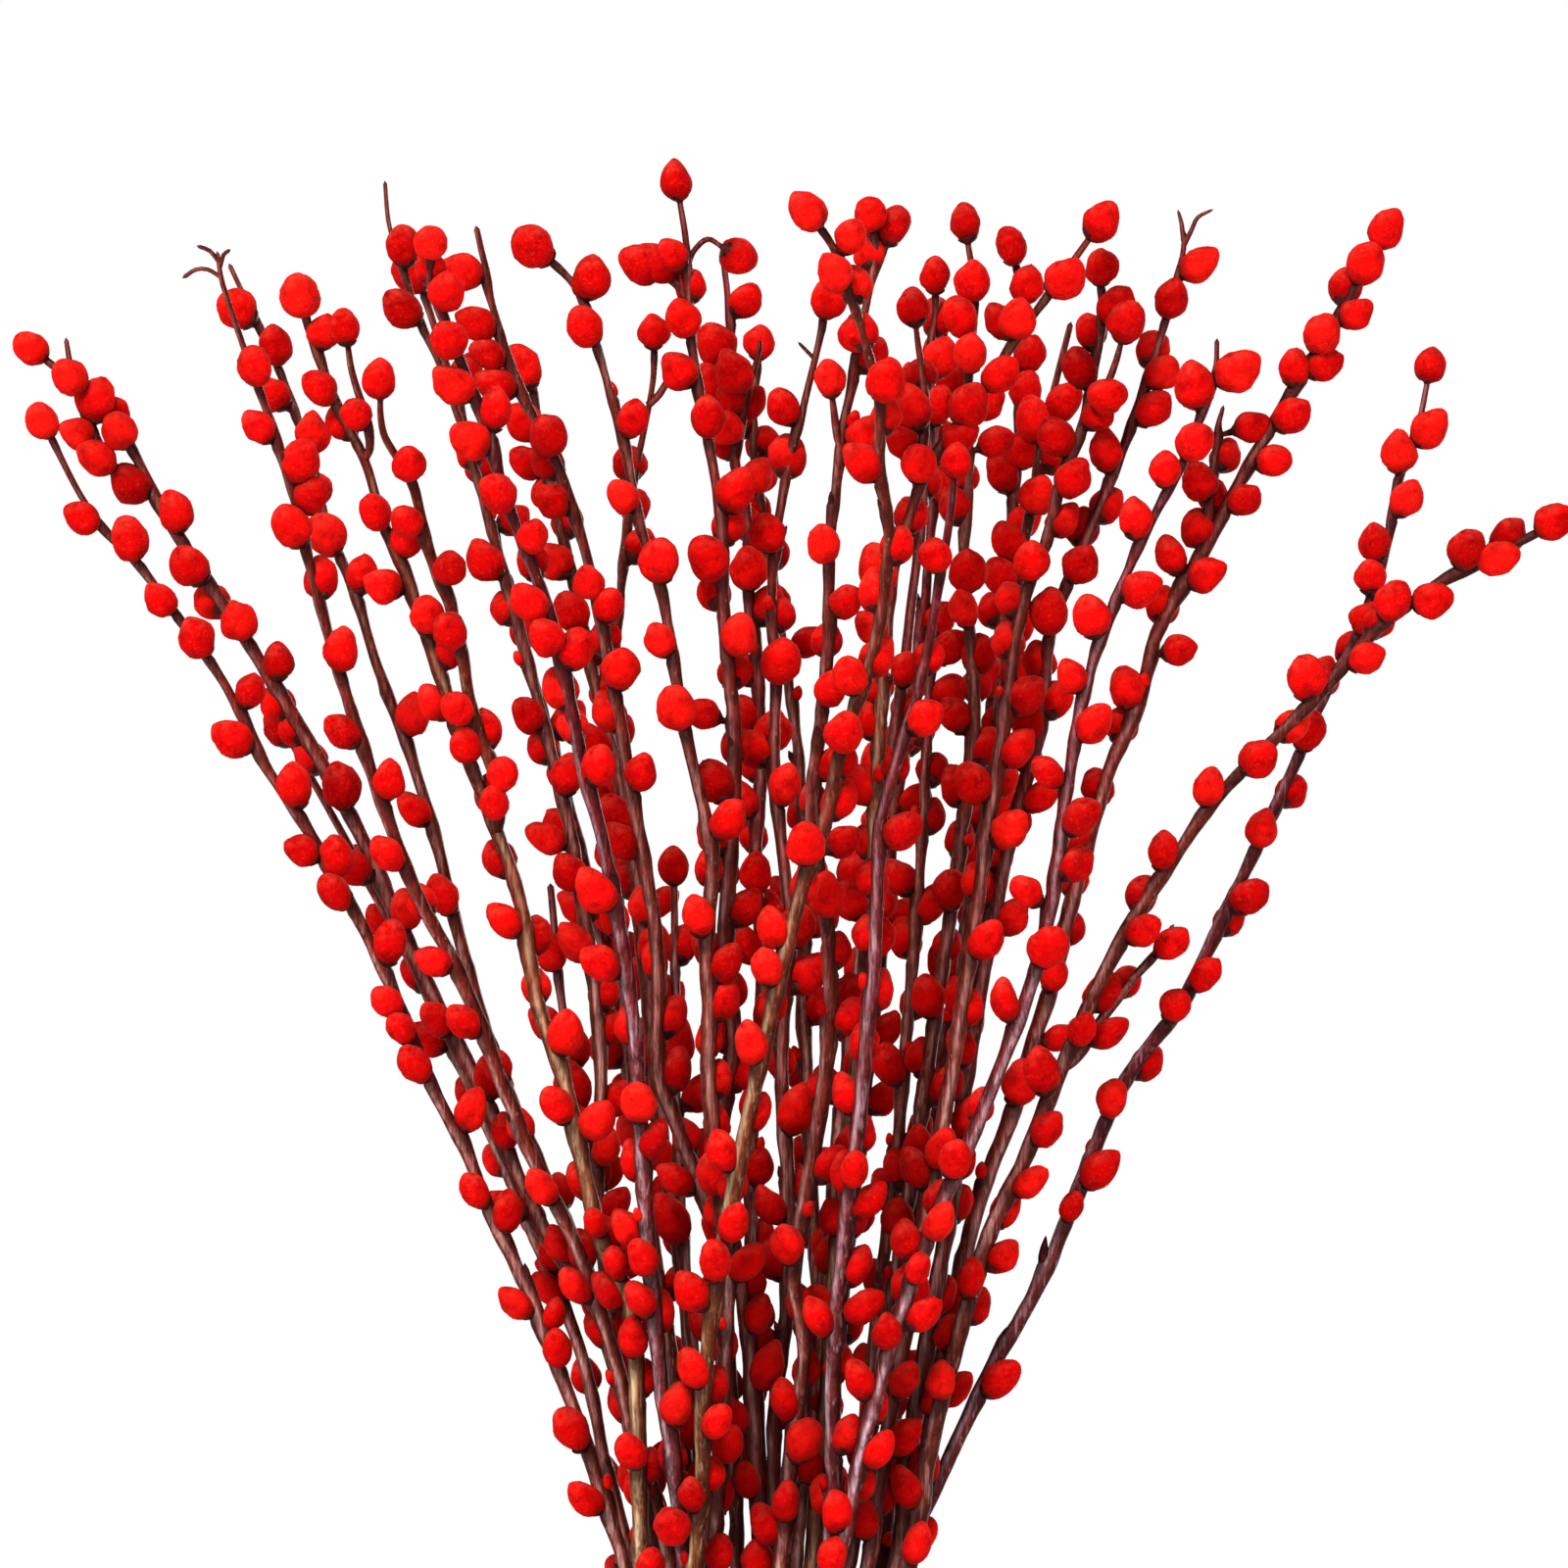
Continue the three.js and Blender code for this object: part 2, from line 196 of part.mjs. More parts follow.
    catkins: [
      [0,958.1,266,30,2.6,23.3,18.4],[0,939.5,348,33,2.6,21.3,18.4],[0,920.3,246,25,2.6,20.6,17],
      [0,877.7,336,33,2.6,18,14.6],[0,845.2,215,30,2.6,16.8,14.6],[0,812.2,302,28,2.6,23,18.4],
      [0,779.5,227,27,2.6,17.1,14.6],[0,747.1,260,31,2.6,22.4,18.4],[0,695.8,348,39,2.6,20.1,16.5],
      [0,674.4,98,34,2.6,18.6,14.6],[0,651.6,232,26,2.6,20.1,16.5],[0,630.4,16,33,2.6,18.5,16.1],
      [0,612.8,34,24,2.6,20.6,16.1],[0,595.8,84,25,2.6,17.3,14.6],[0,577.2,67,34,2.6,19.4,16.1],
      [0,557.6,78,25,2.6,16.6,14.6],[0,534.9,259,29,2.6,20.1,16.5],[0,515.6,98,22,2.6,18.4,14.6],
      [0,495.5,341,45,2.6,20.1,16.5],[0,453.7,89,32,2.6,19,14.6],[0,413,295,33,2.6,19.4,17],[0,385.5,76,32,2.6,17.2,14.6],
      [0,360,291,21,2.4,19,15],
    ] },
  { name: 'branch_13',
    shoots: [
      [6.61,3.14,[[-0.8,-15,8.4],[-6,-20.6,24.4],[-8.1,-20.5,29.4],[-16.5,-9.9,63.1],[-16.5,1.8,111.8],[-20,5.3,131.5],[-33.6,11.1,191],[-36,14.8,235.8],[-39.2,16.2,285.8],[-61.8,26.2,450.8],[-75.2,33.8,536],[-87.8,38.4,611.3],[-94.4,42.8,675.4]]],
    ],
    catkins: [
      [0,635.2,244,34,2.6,20,17],[0,603.7,163,37,2.6,19,16.1],[0,589.6,59,27,2.6,18.1,16.1],[0,569.5,265,26,2.6,23.9,18.4],
      [0,547.1,45,35,2.6,19.3,16.1],[0,533.8,17,48,2.6,16.4,14.6],[0,502.7,270,24,2.6,23.3,18.4],
      [0,468.3,113,25,2.6,18.9,14.6],[0,430.1,65,30,2.6,16.8,14.6],[0,392.3,103,23,2.6,17.9,14.6],
    ] },
  { name: 'branch_14',
    shoots: [
      [6.14,2.34,[[15.8,-38.2,8.4],[15,-21.9,74.4],[12.4,-16.8,93.8],[11.1,-14.7,108.5],[12.6,-9.4,127.9],[12.3,-6.5,142.6],[6.9,6.5,191.4],[0.7,12.8,231],[-9.9,25.9,280.1],[-25.6,43.1,359.4],[-29.6,49,394.3],[-36.5,55,444.5],[-46.7,67.3,509.6],[-55.9,76.6,580.2],[-63.7,93.6,671.2],[-66.1,105,722],[-65.2,116.5,778],[-58.8,130.8,854.8],[-48.2,141.1,911.3],[-47.3,145.8,937.3]]],
      [3.58,2.16,[[-50.2,139.2,901],[-45,141.1,906.2],[-37.4,145.7,919.4]]],
    ],
    catkins: [
      [0,925,266,33,2.6,17,15.1],[0,864,122,28,2.6,18.5,16.1],[0,844.9,62,29,2.6,18.1,14.6],[0,825.3,24,28,2.6,18.5,16.1],
      [0,767.8,118,24,2.6,17.2,14.6],[0,739,56,25,2.6,17,14.6],[0,709.3,149,27,2.6,19.3,16.1],[0,681.1,125,26,2.6,18,14.6],
      [0,652.5,151,27,2.6,18.1,16.1],[0,635.9,73,26,2.6,18.4,14.6],[0,619.4,297,32,2.6,20.3,17],
      [0,597.6,40,34,2.6,17.5,14.6],[0,572,70,27,2.6,18.8,14.6],[0,547.8,129,26,2.6,18.3,14.6],[0,523,14,34,2.6,18.4,16.1],
      [0,481.5,24,34,2.6,18,14.6],[0,439,41,32,2.6,16.8,14.6],[0,395.1,139,25,2.6,17.7,14.6],
    ] },
  { name: 'branch_15',
    shoots: [
      [6.61,3.14,[[15.1,-12.1,8.4],[17.6,-0.1,67],[10.8,2.5,116.7],[10.2,10.8,146],[10.3,14.6,165.6],[7.3,15.9,235.7],[-18.2,13.5,361.2],[-22.5,14,406.3],[-34.8,24.3,541.3],[-37.2,33,675.5]]],
    ],
    catkins: [
      [0,675.5,999,0,1.6,19,14.6],[0,637.6,60,28,2.6,19.2,16.1],[0,616.4,122,26,2.6,17.5,14.6],[0,591.2,278,24,2.6,22,17],
      [0,571.3,14,43,2.6,20.1,16.5],[0,543.4,20,35,2.6,19.7,16.1],[0,509.8,224,28,2.6,23.7,18.4],[0,473,73,24,2.6,18,14.6],
      [0,432.4,85,24,2.6,18.8,14.6],[0,394.9,101,34,2.6,17.4,14.6],[0,415,207,21,2.4,19,15],
    ] },
  { name: 'branch_16',
    shoots: [
      [7.55,2.64,[[20.7,12.4,8.4],[8.8,12.9,85.6],[-2.2,4,166.6],[0.4,1.6,196.9],[0.5,1,236.9],[1.6,-5.4,317.4],[2.1,-11.1,367.7],[-0.7,-18.7,427.9],[-3.6,-18.8,477.8],[-10.4,-19.7,517.7],[-14.7,-23.7,557.7],[-14.3,-25.2,572.6],[-9.7,-28.2,607.5],[-12.9,-31.1,647.4],[-9.2,-37,736.9],[-14.5,-41.2,806.4],[-15.6,-43.4,846.1],[-28.1,-45.6,920.5],[-31.1,-46.7,970.1],[-33.9,-47.6,988.2]]],
      [2.50,2.10,[[-30.4,-46.4,958.8],[-27.6,-42.9,966],[-21.4,-39.6,971.5],[-14.7,-36.2,968.1]]],
      [3.60,2.49,[[-29.5,-46.1,943.6],[-35.6,-42.5,951.8],[-41.9,-39.2,955],[-49.1,-35.9,955.6]]],
    ],
    catkins: [
      [0,988.2,999,0,1.6,19.6,15.1],[0,955.2,201,34,2.6,17.3,15.1],[0,940,80,24,2.6,16.7,14.6],[0,925.3,244,34,2.6,19,16.1],
      [0,903,198,34,2.6,19.2,17],[0,879,284,24,2.6,20.1,16.5],[0,844.9,337,35,2.6,22.5,18.4],[0,829.7,64,32,2.6,19.6,16.1],
      [0,815.4,232,35,2.6,22.9,18.4],[0,800.9,116,33,2.6,18.4,16.1],[0,780.2,316,32,2.6,20.3,17],
      [0,763.7,75,35,2.6,18.8,14.6],[0,751.2,194,67,4.1,17.1,14.6],[0,730.2,89,34,2.6,18.9,14.6],
      [0,712.8,205,34,2.6,21.8,18.4],[0,688.4,161,33,2.6,19.2,16.1],[0,671.3,115,29,2.6,20.2,16.1],
      [0,656.2,22,34,2.6,19.3,16.1],[0,637.4,157,34,2.6,19.2,16.1],[0,618.4,77,32,2.6,16.6,14.6],
      [0,597.7,131,31,2.6,17.9,14.6],[0,580.3,39,26,2.6,20.3,16.1],[0,545.5,107,26,2.6,17,14.6],
      [0,508.7,229,24,2.6,20.1,16.5],[0,482.1,64,27,2.6,19.1,16.1],[0,442.8,347,25,2.6,22.7,18.4],
      [0,423.9,177,31,2.6,18.3,16.1],[0,394.9,239,27,2.6,18.4,14.6],[0,355.6,266,23,2.6,21,17],[1,968.1,999,0,1.6,19.1,17],
      [2,953.9,265,27,2.6,21.4,18.4],[2,951,306,26,2.6,21.6,17],[0,470,312,33,2.4,19,15],
    ] },
  { name: 'branch_17',
    shoots: [
      [7.08,2.60,[[19.7,-19.2,8.4],[21.4,-9.5,58.1],[29.4,-0.8,87.1],[35.7,4.9,146.5],[19.2,12.9,251],[4.8,19.1,360.9],[-1.8,33.9,551],[4,40.6,631.4],[0.4,45.2,686.7],[2.9,48.9,732.1],[1,52.4,777.5],[-3,54.7,812.8],[-3.3,56,843.1],[-9.8,57.4,878.5],[-11.6,65.3,939.3],[-14.8,69,970.2]]],
      [3.60,2.17,[[-8.9,57.2,873.4],[-4,47.7,903.4],[0.7,41.4,918.3],[2.4,37.6,926.8]]],
    ],
    catkins: [
      [0,937.8,344,36,2.6,17.5,14.6],[0,914.9,204,30,2.6,21.4,18.4],[0,900.3,202,39,2.6,19.8,16.1],
      [0,890.5,348,40,2.6,17.4,15.1],[0,872.4,109,35,2.6,16.6,14.6],[0,854.9,344,38,2.6,18.6,16.1],
      [0,835.1,98,35,2.6,16.9,14.6],[0,810.8,276,30,2.6,21.6,18.4],[0,794.4,21,34,2.6,20.9,16.1],
      [0,767,143,29,2.6,16.5,14.6],[0,745.4,138,31,2.6,19.7,16.1],[0,734.5,312,27,2.6,21.7,18.4],
      [0,721.7,114,23,2.6,16.4,14.6],[0,705,195,33,2.6,19.6,16.1],[0,689.3,100,27,2.6,16.9,14.6],
      [0,670.3,273,23,2.6,19.3,17],[0,654.8,63,28,2.6,18.8,14.6],[0,638.3,207,32,2.6,20.1,16.5],[0,621,32,26,2.6,18,16.1],
      [0,593.1,86,34,2.6,18.9,14.6],[0,564.1,100,24,2.6,18.1,14.6],[0,534.7,306,23,2.6,17.2,14.6],
      [0,501.7,60,23,2.6,18.6,16.1],[0,468,76,31,2.6,16.7,14.6],[0,435.2,105,25,2.6,16.7,14.6],
      [0,401.7,162,36,2.6,18.8,14.6],[1,903.1,203,36,2.6,23,18.4],[1,891.6,179,33,2.6,16.6,13.8],
      [1,879.4,222,33,2.6,17.9,15.1],
    ] },
  { name: 'branch_18',
    shoots: [
      [6.84,2.60,[[28.4,-32.9,8.4],[33,-28.9,40.3],[40.1,-16.9,113.7],[42.2,-7.4,142.7],[31.2,14.9,240.8],[27,21.6,280.4],[29.8,35.4,359.9],[29.1,41.9,404.8],[30.4,48.2,449.8],[22.2,79.3,620.7],[23.3,88.6,676.3],[21.9,95.3,716.9],[16.3,103.7,767.8],[1.8,118.8,859.7],[-0.7,124.6,895.5],[1.1,128.8,921.2],[-0.8,130.3,929.9]]],
    ],
    catkins: [
      [0,919.2,283,26,2.6,17.1,14.6],[0,884.8,158,38,2.6,20.9,16.1],[0,873.7,58,28,2.6,18.1,16.1],
      [0,858.3,78,25,2.6,18.1,14.6],[0,842.2,121,25,2.6,20.4,16.1],[0,821.5,66,25,2.6,18.3,14.6],
      [0,799.6,98,25,2.6,18.7,14.6],[0,783.3,15,63,2.6,18.3,14.6],[0,699.3,99,24,2.6,17.1,14.6],
      [0,671.2,64,29,2.6,19.7,16.1],[0,663,196,44,2.6,17.7,14.6],[0,650.2,339,35,2.6,19.3,16.1],
      [0,629.7,88,28,2.6,17.7,14.6],[0,609.1,16,25,2.6,17.5,14.6],[0,579.4,115,26,2.6,17.2,14.6],
      [0,543.4,106,32,2.6,17.1,14.6],[0,506.3,107,25,2.6,16.7,14.6],[0,469.5,100,27,2.6,17.8,14.6],
      [0,433.5,108,27,2.6,17,14.6],[0,395,135,31,2.6,19.4,16.1],
    ] },
  { name: 'branch_19',
    shoots: [
      [7.32,2.71,[[-27.8,32.9,8.4],[-29.6,29.7,33.6],[-35.2,17.6,80.1],[-38.8,8.5,121.2],[-40.2,-3.9,172.4],[-38,-13.3,213.1],[-30.2,-28.7,289.1],[-27.1,-48.9,369.9],[-24.1,-54.5,400],[-22.9,-63.7,440],[-20.2,-70.1,474.9],[-11.1,-79.9,529.6],[7.7,-98.1,618.7],[22.2,-110.6,677.8],[32.5,-116.9,707.3],[38.6,-123.2,736.7],[54.1,-133.6,785.6],[60.6,-143,829.4],[60.4,-145.1,839.1],[56.5,-150.4,863.4],[56.2,-156.7,892.5],[53.3,-159.8,907],[36.9,-171.3,960],[30.7,-173.4,969.7],[21.9,-175.3,978.6]]],
    ],
    catkins: [
      [0,970.1,267,27,2.6,21.8,17],[0,957.2,348,46,2.6,17.1,14.6],[0,943,235,24,2.6,19.5,16.1],[0,934.6,63,35,2.6,18.1,16.1],
      [0,914.1,88,24,2.6,17.9,14.6],[0,892.6,301,29,2.6,22.3,18.4],[0,876.9,66,34,2.6,17.6,14.6],
      [0,857.3,167,33,2.6,20.7,16.1],[0,819,61,28,2.6,18.4,16.1],[0,797.5,115,30,2.6,20.4,16.1],
      [0,769.7,64,30,2.6,20.1,16.1],[0,761.3,223,33,2.6,20.1,16.5],[0,737.2,268,31,2.6,20.7,18.4],
      [0,723,75,29,2.6,16.9,14.6],[0,704.7,66,29,2.6,20.1,16.5],[0,684.6,222,28,2.6,20.8,18.4],[0,666.3,85,24,2.6,18.1,14.6],
      [0,646,167,32,2.6,18.7,16.1],[0,629,202,28,2.6,18.4,15.1],[0,612.4,94,27,2.6,17.7,14.6],[0,594.2,209,25,2.6,20.1,16.5],
      [0,563,71,35,2.6,18.8,14.6],[0,530.3,95,29,2.6,17.7,14.6],[0,495.6,245,26,2.6,20.5,16.1],
      [0,482.4,199,44,2.6,20.1,16.5],[0,446.9,217,27,2.6,20.1,16.5],[0,435.9,68,34,2.6,19.7,16.1],
      [0,397.7,67,33,2.6,16.5,14.6],[0,515,291,21,2.4,19,15],[0,390,228,21,2.4,16.5,13.4],[0,425,312,33,2.4,19,15],
      [0,545,186,33,2.4,19,15],
    ] },
  { name: 'branch_20',
    shoots: [
      [6.84,2.62,[[25.9,3.6,8.4],[25.4,7,26.2],[17.6,10.2,80.9],[17.1,13.6,95.6],[19.5,16.6,115.3],[16,9.1,181.2],[8.3,7.2,271.5],[10.6,-1.9,362.1],[8.9,-4.6,412.2],[10,-5.7,442.3],[16,-7.4,507.3],[12.1,-9.5,602.2],[15.8,-10.7,657.1],[8.6,-12.2,732],[9.7,-13.1,771.9],[7.7,-13.8,806.8],[9.1,-14.2,826.8],[16.2,-15.2,871.6],[30.7,-16.4,931.4],[31.4,-16.8,948.3]]],
      [1.90,1.45,[[27.3,-16.2,917.8],[23.4,-18.7,921.7],[20.7,-21.2,924.3]]],
    ],
    catkins: [
      [0,934.1,289,24,2.6,20.1,16.5],[0,885.3,199,43,2.6,18.5,14.6],[0,861.2,100,30,2.6,22.4,18.4],
      [0,826.5,229,26,2.6,19.4,17],[0,790.3,64,34,2.6,17.9,14.6],[0,767.5,284,31,2.6,23.3,18.4],
      [0,729.4,161,35,2.6,19.5,16.1],[0,710.8,318,24,2.6,19.4,15.1],[0,646.5,298,31,2.6,21,18.4],[0,625.7,18,38,2.6,21.5,17],
      [0,605.2,147,25,2.6,19.3,16.1],[0,585.6,93,33,2.6,16.5,14.6],[0,560.1,316,26,2.6,23.8,18.4],
      [0,527.5,61,28,2.6,18.7,14.6],[0,492.6,139,29,2.6,18.9,16.1],[0,456,160,34,2.6,18,16.1],[0,425.8,44,32,2.6,18.6,16.1],
      [0,391.3,89,33,2.6,17.7,14.6],[0,520,207,33,2.4,19,15],
    ] },
  { name: 'branch_21',
    shoots: [
      [7.32,2.67,[[-19,24.8,8.4],[-21.3,12.1,80.7],[-25.6,3.4,116.7],[-25.3,-1.3,132.1],[-9.6,-13,218.1],[10.2,-29.7,348.9],[17,-35.6,418.8],[22.2,-40.4,453.8],[23,-42.9,468.8],[18.4,-46.4,493.8],[18.4,-47.5,503.7],[31.7,-55.3,583.3],[34.6,-61.3,628],[33.1,-64.8,657.7],[26.6,-69.4,697.3],[26.3,-71.7,717.1],[33.8,-80.9,791.1],[34.1,-85.9,830.4],[40.8,-92.8,884.5],[54.1,-102.2,957.9],[54.5,-103.5,967.7],[51.9,-105.3,981.6]]],
      [3.60,2.61,[[39.6,-91.5,874.7],[37.8,-93.1,879.5],[35.4,-98.5,896.9]]],
      [3.60,2.94,[[52.3,-101,948.1],[59.4,-100,965.5]]],
    ],
    catkins: [
      [0,970.8,263,28,2.6,17.8,14.6],[0,952.2,128,24,2.6,17.3,14.6],[0,916.8,253,30,2.6,17.6,15.1],
      [0,907.5,32,31,2.6,18.3,16.1],[0,872.9,346,41,2.6,20.1,16.5],[0,822.3,251,33,2.6,19.4,15.1],
      [0,797.6,340,41,2.6,16.9,14.6],[0,778.2,94,33,2.6,16.9,14.6],[0,757.2,298,30,2.6,19.3,15.1],
      [0,723.2,21,34,2.6,19.5,16.1],[0,704.4,89,26,2.6,17.8,14.6],[0,689.9,12,67,4.1,16.7,14.6],
      [0,662.2,282,34,2.6,23.3,18.4],[0,635.9,57,23,2.6,16.8,14.6],[0,606.6,20,34,2.6,18.8,16.1],
      [0,573.7,104,30,2.6,16.9,14.6],[0,539.8,17,31,2.6,19.2,16.1],[0,502.5,241,31,2.6,19.7,17],
      [0,474.8,87,22,2.6,17.2,14.6],[0,444.5,81,34,2.6,17.6,14.6],[0,412.1,307,24,2.6,21.4,18.4],
      [0,373.1,154,34,2.6,18.9,16.1],[1,896.9,999,0,1.6,18.5,14.6],[2,965.5,999,0,1.6,19.4,15.1],[0,430,186,21,2.4,19,15],
      [0,385,270,21,2.4,19,15],
    ] },
  { name: 'branch_22',
    shoots: [
      [6.84,2.87,[[4.4,-13.5,8.4],[18.1,-13.6,78.5],[22.4,-17.3,118.7],[23.8,-17.4,138.7],[24.4,-13.8,173.3],[25.6,-5.6,217.5],[32.5,4.2,286.7],[42.1,15.4,351],[44.1,17.9,371],[53.7,17.5,456.2],[61.6,26.6,521.1],[68.1,31.1,581.3],[77.1,35.5,696.8],[82.4,44.5,795.5]]],
    ],
    catkins: [
      [0,777.1,339,43,2.6,18.9,14.6],[0,755.5,21,38,2.6,20.4,16.1],[0,738.4,121,28,2.6,16.5,14.6],
      [0,720.7,64,35,2.6,18.2,16.1],[0,698.2,58,27,2.6,18,16.1],[0,669.4,160,38,2.6,18.6,16.1],[0,656.7,22,24,2.6,19.4,16.1],
      [0,640.7,115,31,2.6,20.6,16.1],[0,612.5,75,33,2.6,17.4,14.6],[0,581,211,27,2.6,20.1,16.5],
      [0,546.6,25,34,2.6,20.4,16.1],[0,524.6,117,27,2.6,19.8,16.1],[0,485.6,109,34,2.6,18.8,14.6],
      [0,445.1,115,24,2.6,17.3,14.6],[0,404,91,31,2.6,20.5,16.1],[0,379.8,112,30,2.6,17,14.6],
    ] },
  { name: 'branch_23',
    shoots: [
      [6.84,2.60,[[-20.7,-20.4,8.4],[-19,-20.4,49.3],[-15.4,-17.4,88.8],[-10.1,-14.7,113.5],[4.8,-10.2,167.9],[7.7,-2.2,222.2],[16,4.3,276.7],[18.8,19,365.9],[29.7,28.7,455.7],[37.1,40.2,540.8],[43.2,46.4,596],[53.4,54.8,676.6],[67.8,64.2,767.5],[80.7,75.6,878.9],[80.7,79.7,919.6],[84.1,82.3,945],[83.2,83.9,960.3]]],
    ],
    catkins: [
      [0,948.8,272,29,2.6,18,15.1],[0,929.8,76,31,2.6,18.7,14.6],[0,909.5,334,25,2.6,20.1,16.5],
      [0,896.9,167,23,2.6,20.9,16.1],[0,887.4,299,35,2.6,20.1,16.5],[0,869.9,196,40,2.6,18,16.1],[0,853.8,80,24,2.6,17,14.6],
      [0,836.7,122,30,2.6,20.1,16.5],[0,765.3,276,24,2.6,17.2,14.6],[0,750.7,63,33,2.6,18.5,14.6],
      [0,734.6,60,25,2.6,19.6,16.1],[0,717.9,234,31,2.6,22.4,18.4],[0,696,99,33,2.6,17.5,14.6],
      [0,668.2,208,29,2.6,21.9,18.4],[0,657.6,38,30,2.6,18.3,16.1],[0,629.5,96,32,2.6,18.4,14.6],
      [0,602,106,35,2.6,17.1,14.6],[0,573.1,164,34,2.6,18.3,14.6],[0,536.9,115,32,2.6,17.5,14.6],
      [0,500.6,107,31,2.6,16.9,14.6],[0,463.1,157,32,2.6,20.1,16.1],[0,427.2,66,29,2.6,18.7,14.6],
      [0,391.3,69,26,2.6,17.6,14.6],
    ] },
  { name: 'branch_24',
    shoots: [
      [6.84,2.86,[[35.8,-30.1,8.4],[40.8,-26.8,30.1],[49.6,-12.7,83.4],[50.8,-7.6,102.8],[45.7,4.6,181.6],[35.1,22.3,280.4],[39.3,41.3,359.5],[36.9,60.4,439.2],[53.7,84.7,600.3],[65.1,104,706.7],[81,125.4,824.1],[89.6,147.9,948]]],
    ],
    catkins: [
      [0,934.3,122,28,2.6,18.8,16.1],[0,918.4,103,28,2.6,17.3,14.6],[0,900.8,329,29,2.6,19.8,16.1],
      [0,878.8,76,33,2.6,16.9,14.6],[0,852.4,325,29,2.6,22.3,18.4],[0,791.1,18,35,2.6,20.1,16.1],
      [0,764.2,69,33,2.6,18.6,14.6],[0,735.6,67,32,2.6,18.2,14.6],[0,707.1,11,34,2.6,18.4,16.1],
      [0,681.6,149,26,2.6,18.7,16.1],[0,652.6,12,34,2.6,18.3,16.1],[0,625.9,111,31,2.6,16.5,14.6],
      [0,597.8,321,32,2.6,19,15.1],[0,568.4,16,34,2.6,18.4,16.1],[0,540.2,122,23,2.6,18.6,14.6],
      [0,513.4,62,26,2.6,18.6,16.1],[0,488,80,25,2.6,17.6,14.6],[0,461.6,64,27,2.6,19.6,16.1],[0,426.3,106,29,2.6,18.1,14.6],
      [0,389.7,86,26,2.6,18.2,14.6],
    ] },
  { name: 'branch_25',
    shoots: [
      [7.55,3.16,[[19.7,32.4,8.4],[22.9,16.8,70.2],[25.3,14.6,85.5],[25.7,11.9,100.8],[18.4,4,151.6],[16.2,0.8,176.9],[14,-11,242.9],[18.5,-21,283.5],[33.8,-35.6,364.1],[36.4,-52.5,464.3],[45.1,-71.1,549.1],[54.1,-83.1,643.1],[57.1,-92.1,702.3],[61.2,-95.3,722],[75.7,-103.5,771.2],[86.9,-114.3,834.8],[89.8,-118.6,860.2]]],
    ],
    catkins: [
      [0,860.2,999,0,1.6,16.4,14.6],[0,817,241,33,2.6,17.9,15.1],[0,769.6,82,29,2.6,17.9,14.6],
      [0,744.9,321,31,2.6,20.1,16.5],[0,720.2,80,24,2.6,17.2,14.6],[0,693.9,340,46,2.6,20.1,16.5],
      [0,668.3,112,24,2.6,18,14.6],[0,643.5,118,28,2.6,17.6,14.6],[0,617.7,65,30,2.6,19.7,16.1],
      [0,593.7,95,27,2.6,18.9,14.6],[0,570,137,30,2.6,19.2,16.1],[0,551.7,76,31,2.6,18.7,14.6],
      [0,532.9,113,25,2.6,19.4,16.1],[0,513.7,74,35,2.6,17.7,14.6],[0,492.2,35,25,2.6,18.8,16.1],
      [0,477.9,344,45,2.6,20.1,16.5],[0,447,78,30,2.6,18.6,14.6],[0,415.6,345,22,2.6,18.3,15.1],
      [0,385.7,114,24,2.6,18.5,14.6],[0,540,270,33,2.4,19,15],[0,470,186,33,2.4,19,15],[0,525,354,33,2.4,19,15],
    ] },
  { name: 'branch_26',
    shoots: [
      [7.08,2.60,[[-8.1,-5.4,8.4],[-9.3,-2.9,22.3],[-7.6,-8.7,53],[-8.9,-13.6,78.5],[-6.2,-16.3,93.7],[-0.3,-18.5,123.9],[3.4,-19.8,153.9],[5.9,-18.6,168.7],[10.8,-14.9,188.3],[21.5,-12.2,223],[24.3,-5.9,257.5],[41.4,1.5,351.9],[49.5,2.6,406.9],[59.9,7.7,466.7],[71.9,7.5,541.8],[89.1,18.8,656.8],[98.8,22.2,727],[101.1,23.1,762.2],[96.5,26.2,827.5],[98.5,28,857.6],[99,31,918],[101.7,32.4,948.2],[98.5,33.4,972.3]]],
    ],
    catkins: [
      [0,972.3,999,0,1.6,19.4,15.1],[0,943.8,262,28,2.6,20.1,16.5],[0,927.1,222,34,2.6,20.7,16.1],
      [0,911,273,35,2.6,20.1,16.5],[0,889.7,348,36,2.6,19.7,16.1],[0,876.1,346,69,4.1,17.7,14.6],
      [0,855.5,119,25,2.6,17.9,14.6],[0,840.4,153,27,2.6,19.1,16.1],[0,809.7,277,33,2.6,22.6,18.4],
      [0,793.1,255,27,2.6,18.9,14.6],[0,772.1,58,23,2.6,19.6,16.1],[0,759.5,84,35,2.6,17.4,14.6],
      [0,744.4,162,36,2.6,18.3,16.1],[0,729.2,34,27,2.6,19.9,16.1],[0,710.2,144,26,2.6,20.2,16.1],
      [0,686.5,91,24,2.6,18.8,14.6],[0,662.6,262,32,2.6,20.1,16.5],[0,638.9,84,25,2.6,17.6,14.6],
      [0,612.5,236,27,2.6,20.1,16.5],[0,585.3,114,24,2.6,19.6,16.1],[0,574,14,30,2.6,20.5,16.1],[0,555.6,82,35,2.6,18,14.6],
      [0,533.1,135,32,2.6,20.1,16.5],[0,512.2,251,33,2.6,19.3,17],[0,484.7,85,34,2.6,17.9,14.6],
      [0,456.5,51,33,2.6,18.5,14.6],[0,428.6,14,32,2.6,18.2,16.1],[0,404.8,62,22,2.6,16.9,14.6],
      [0,379.6,300,30,2.6,17.3,14.6],[0,367,145,34,2.6,19.8,16.1],[0,545,270,21,2.4,19,15],
    ] },
  { name: 'branch_27',
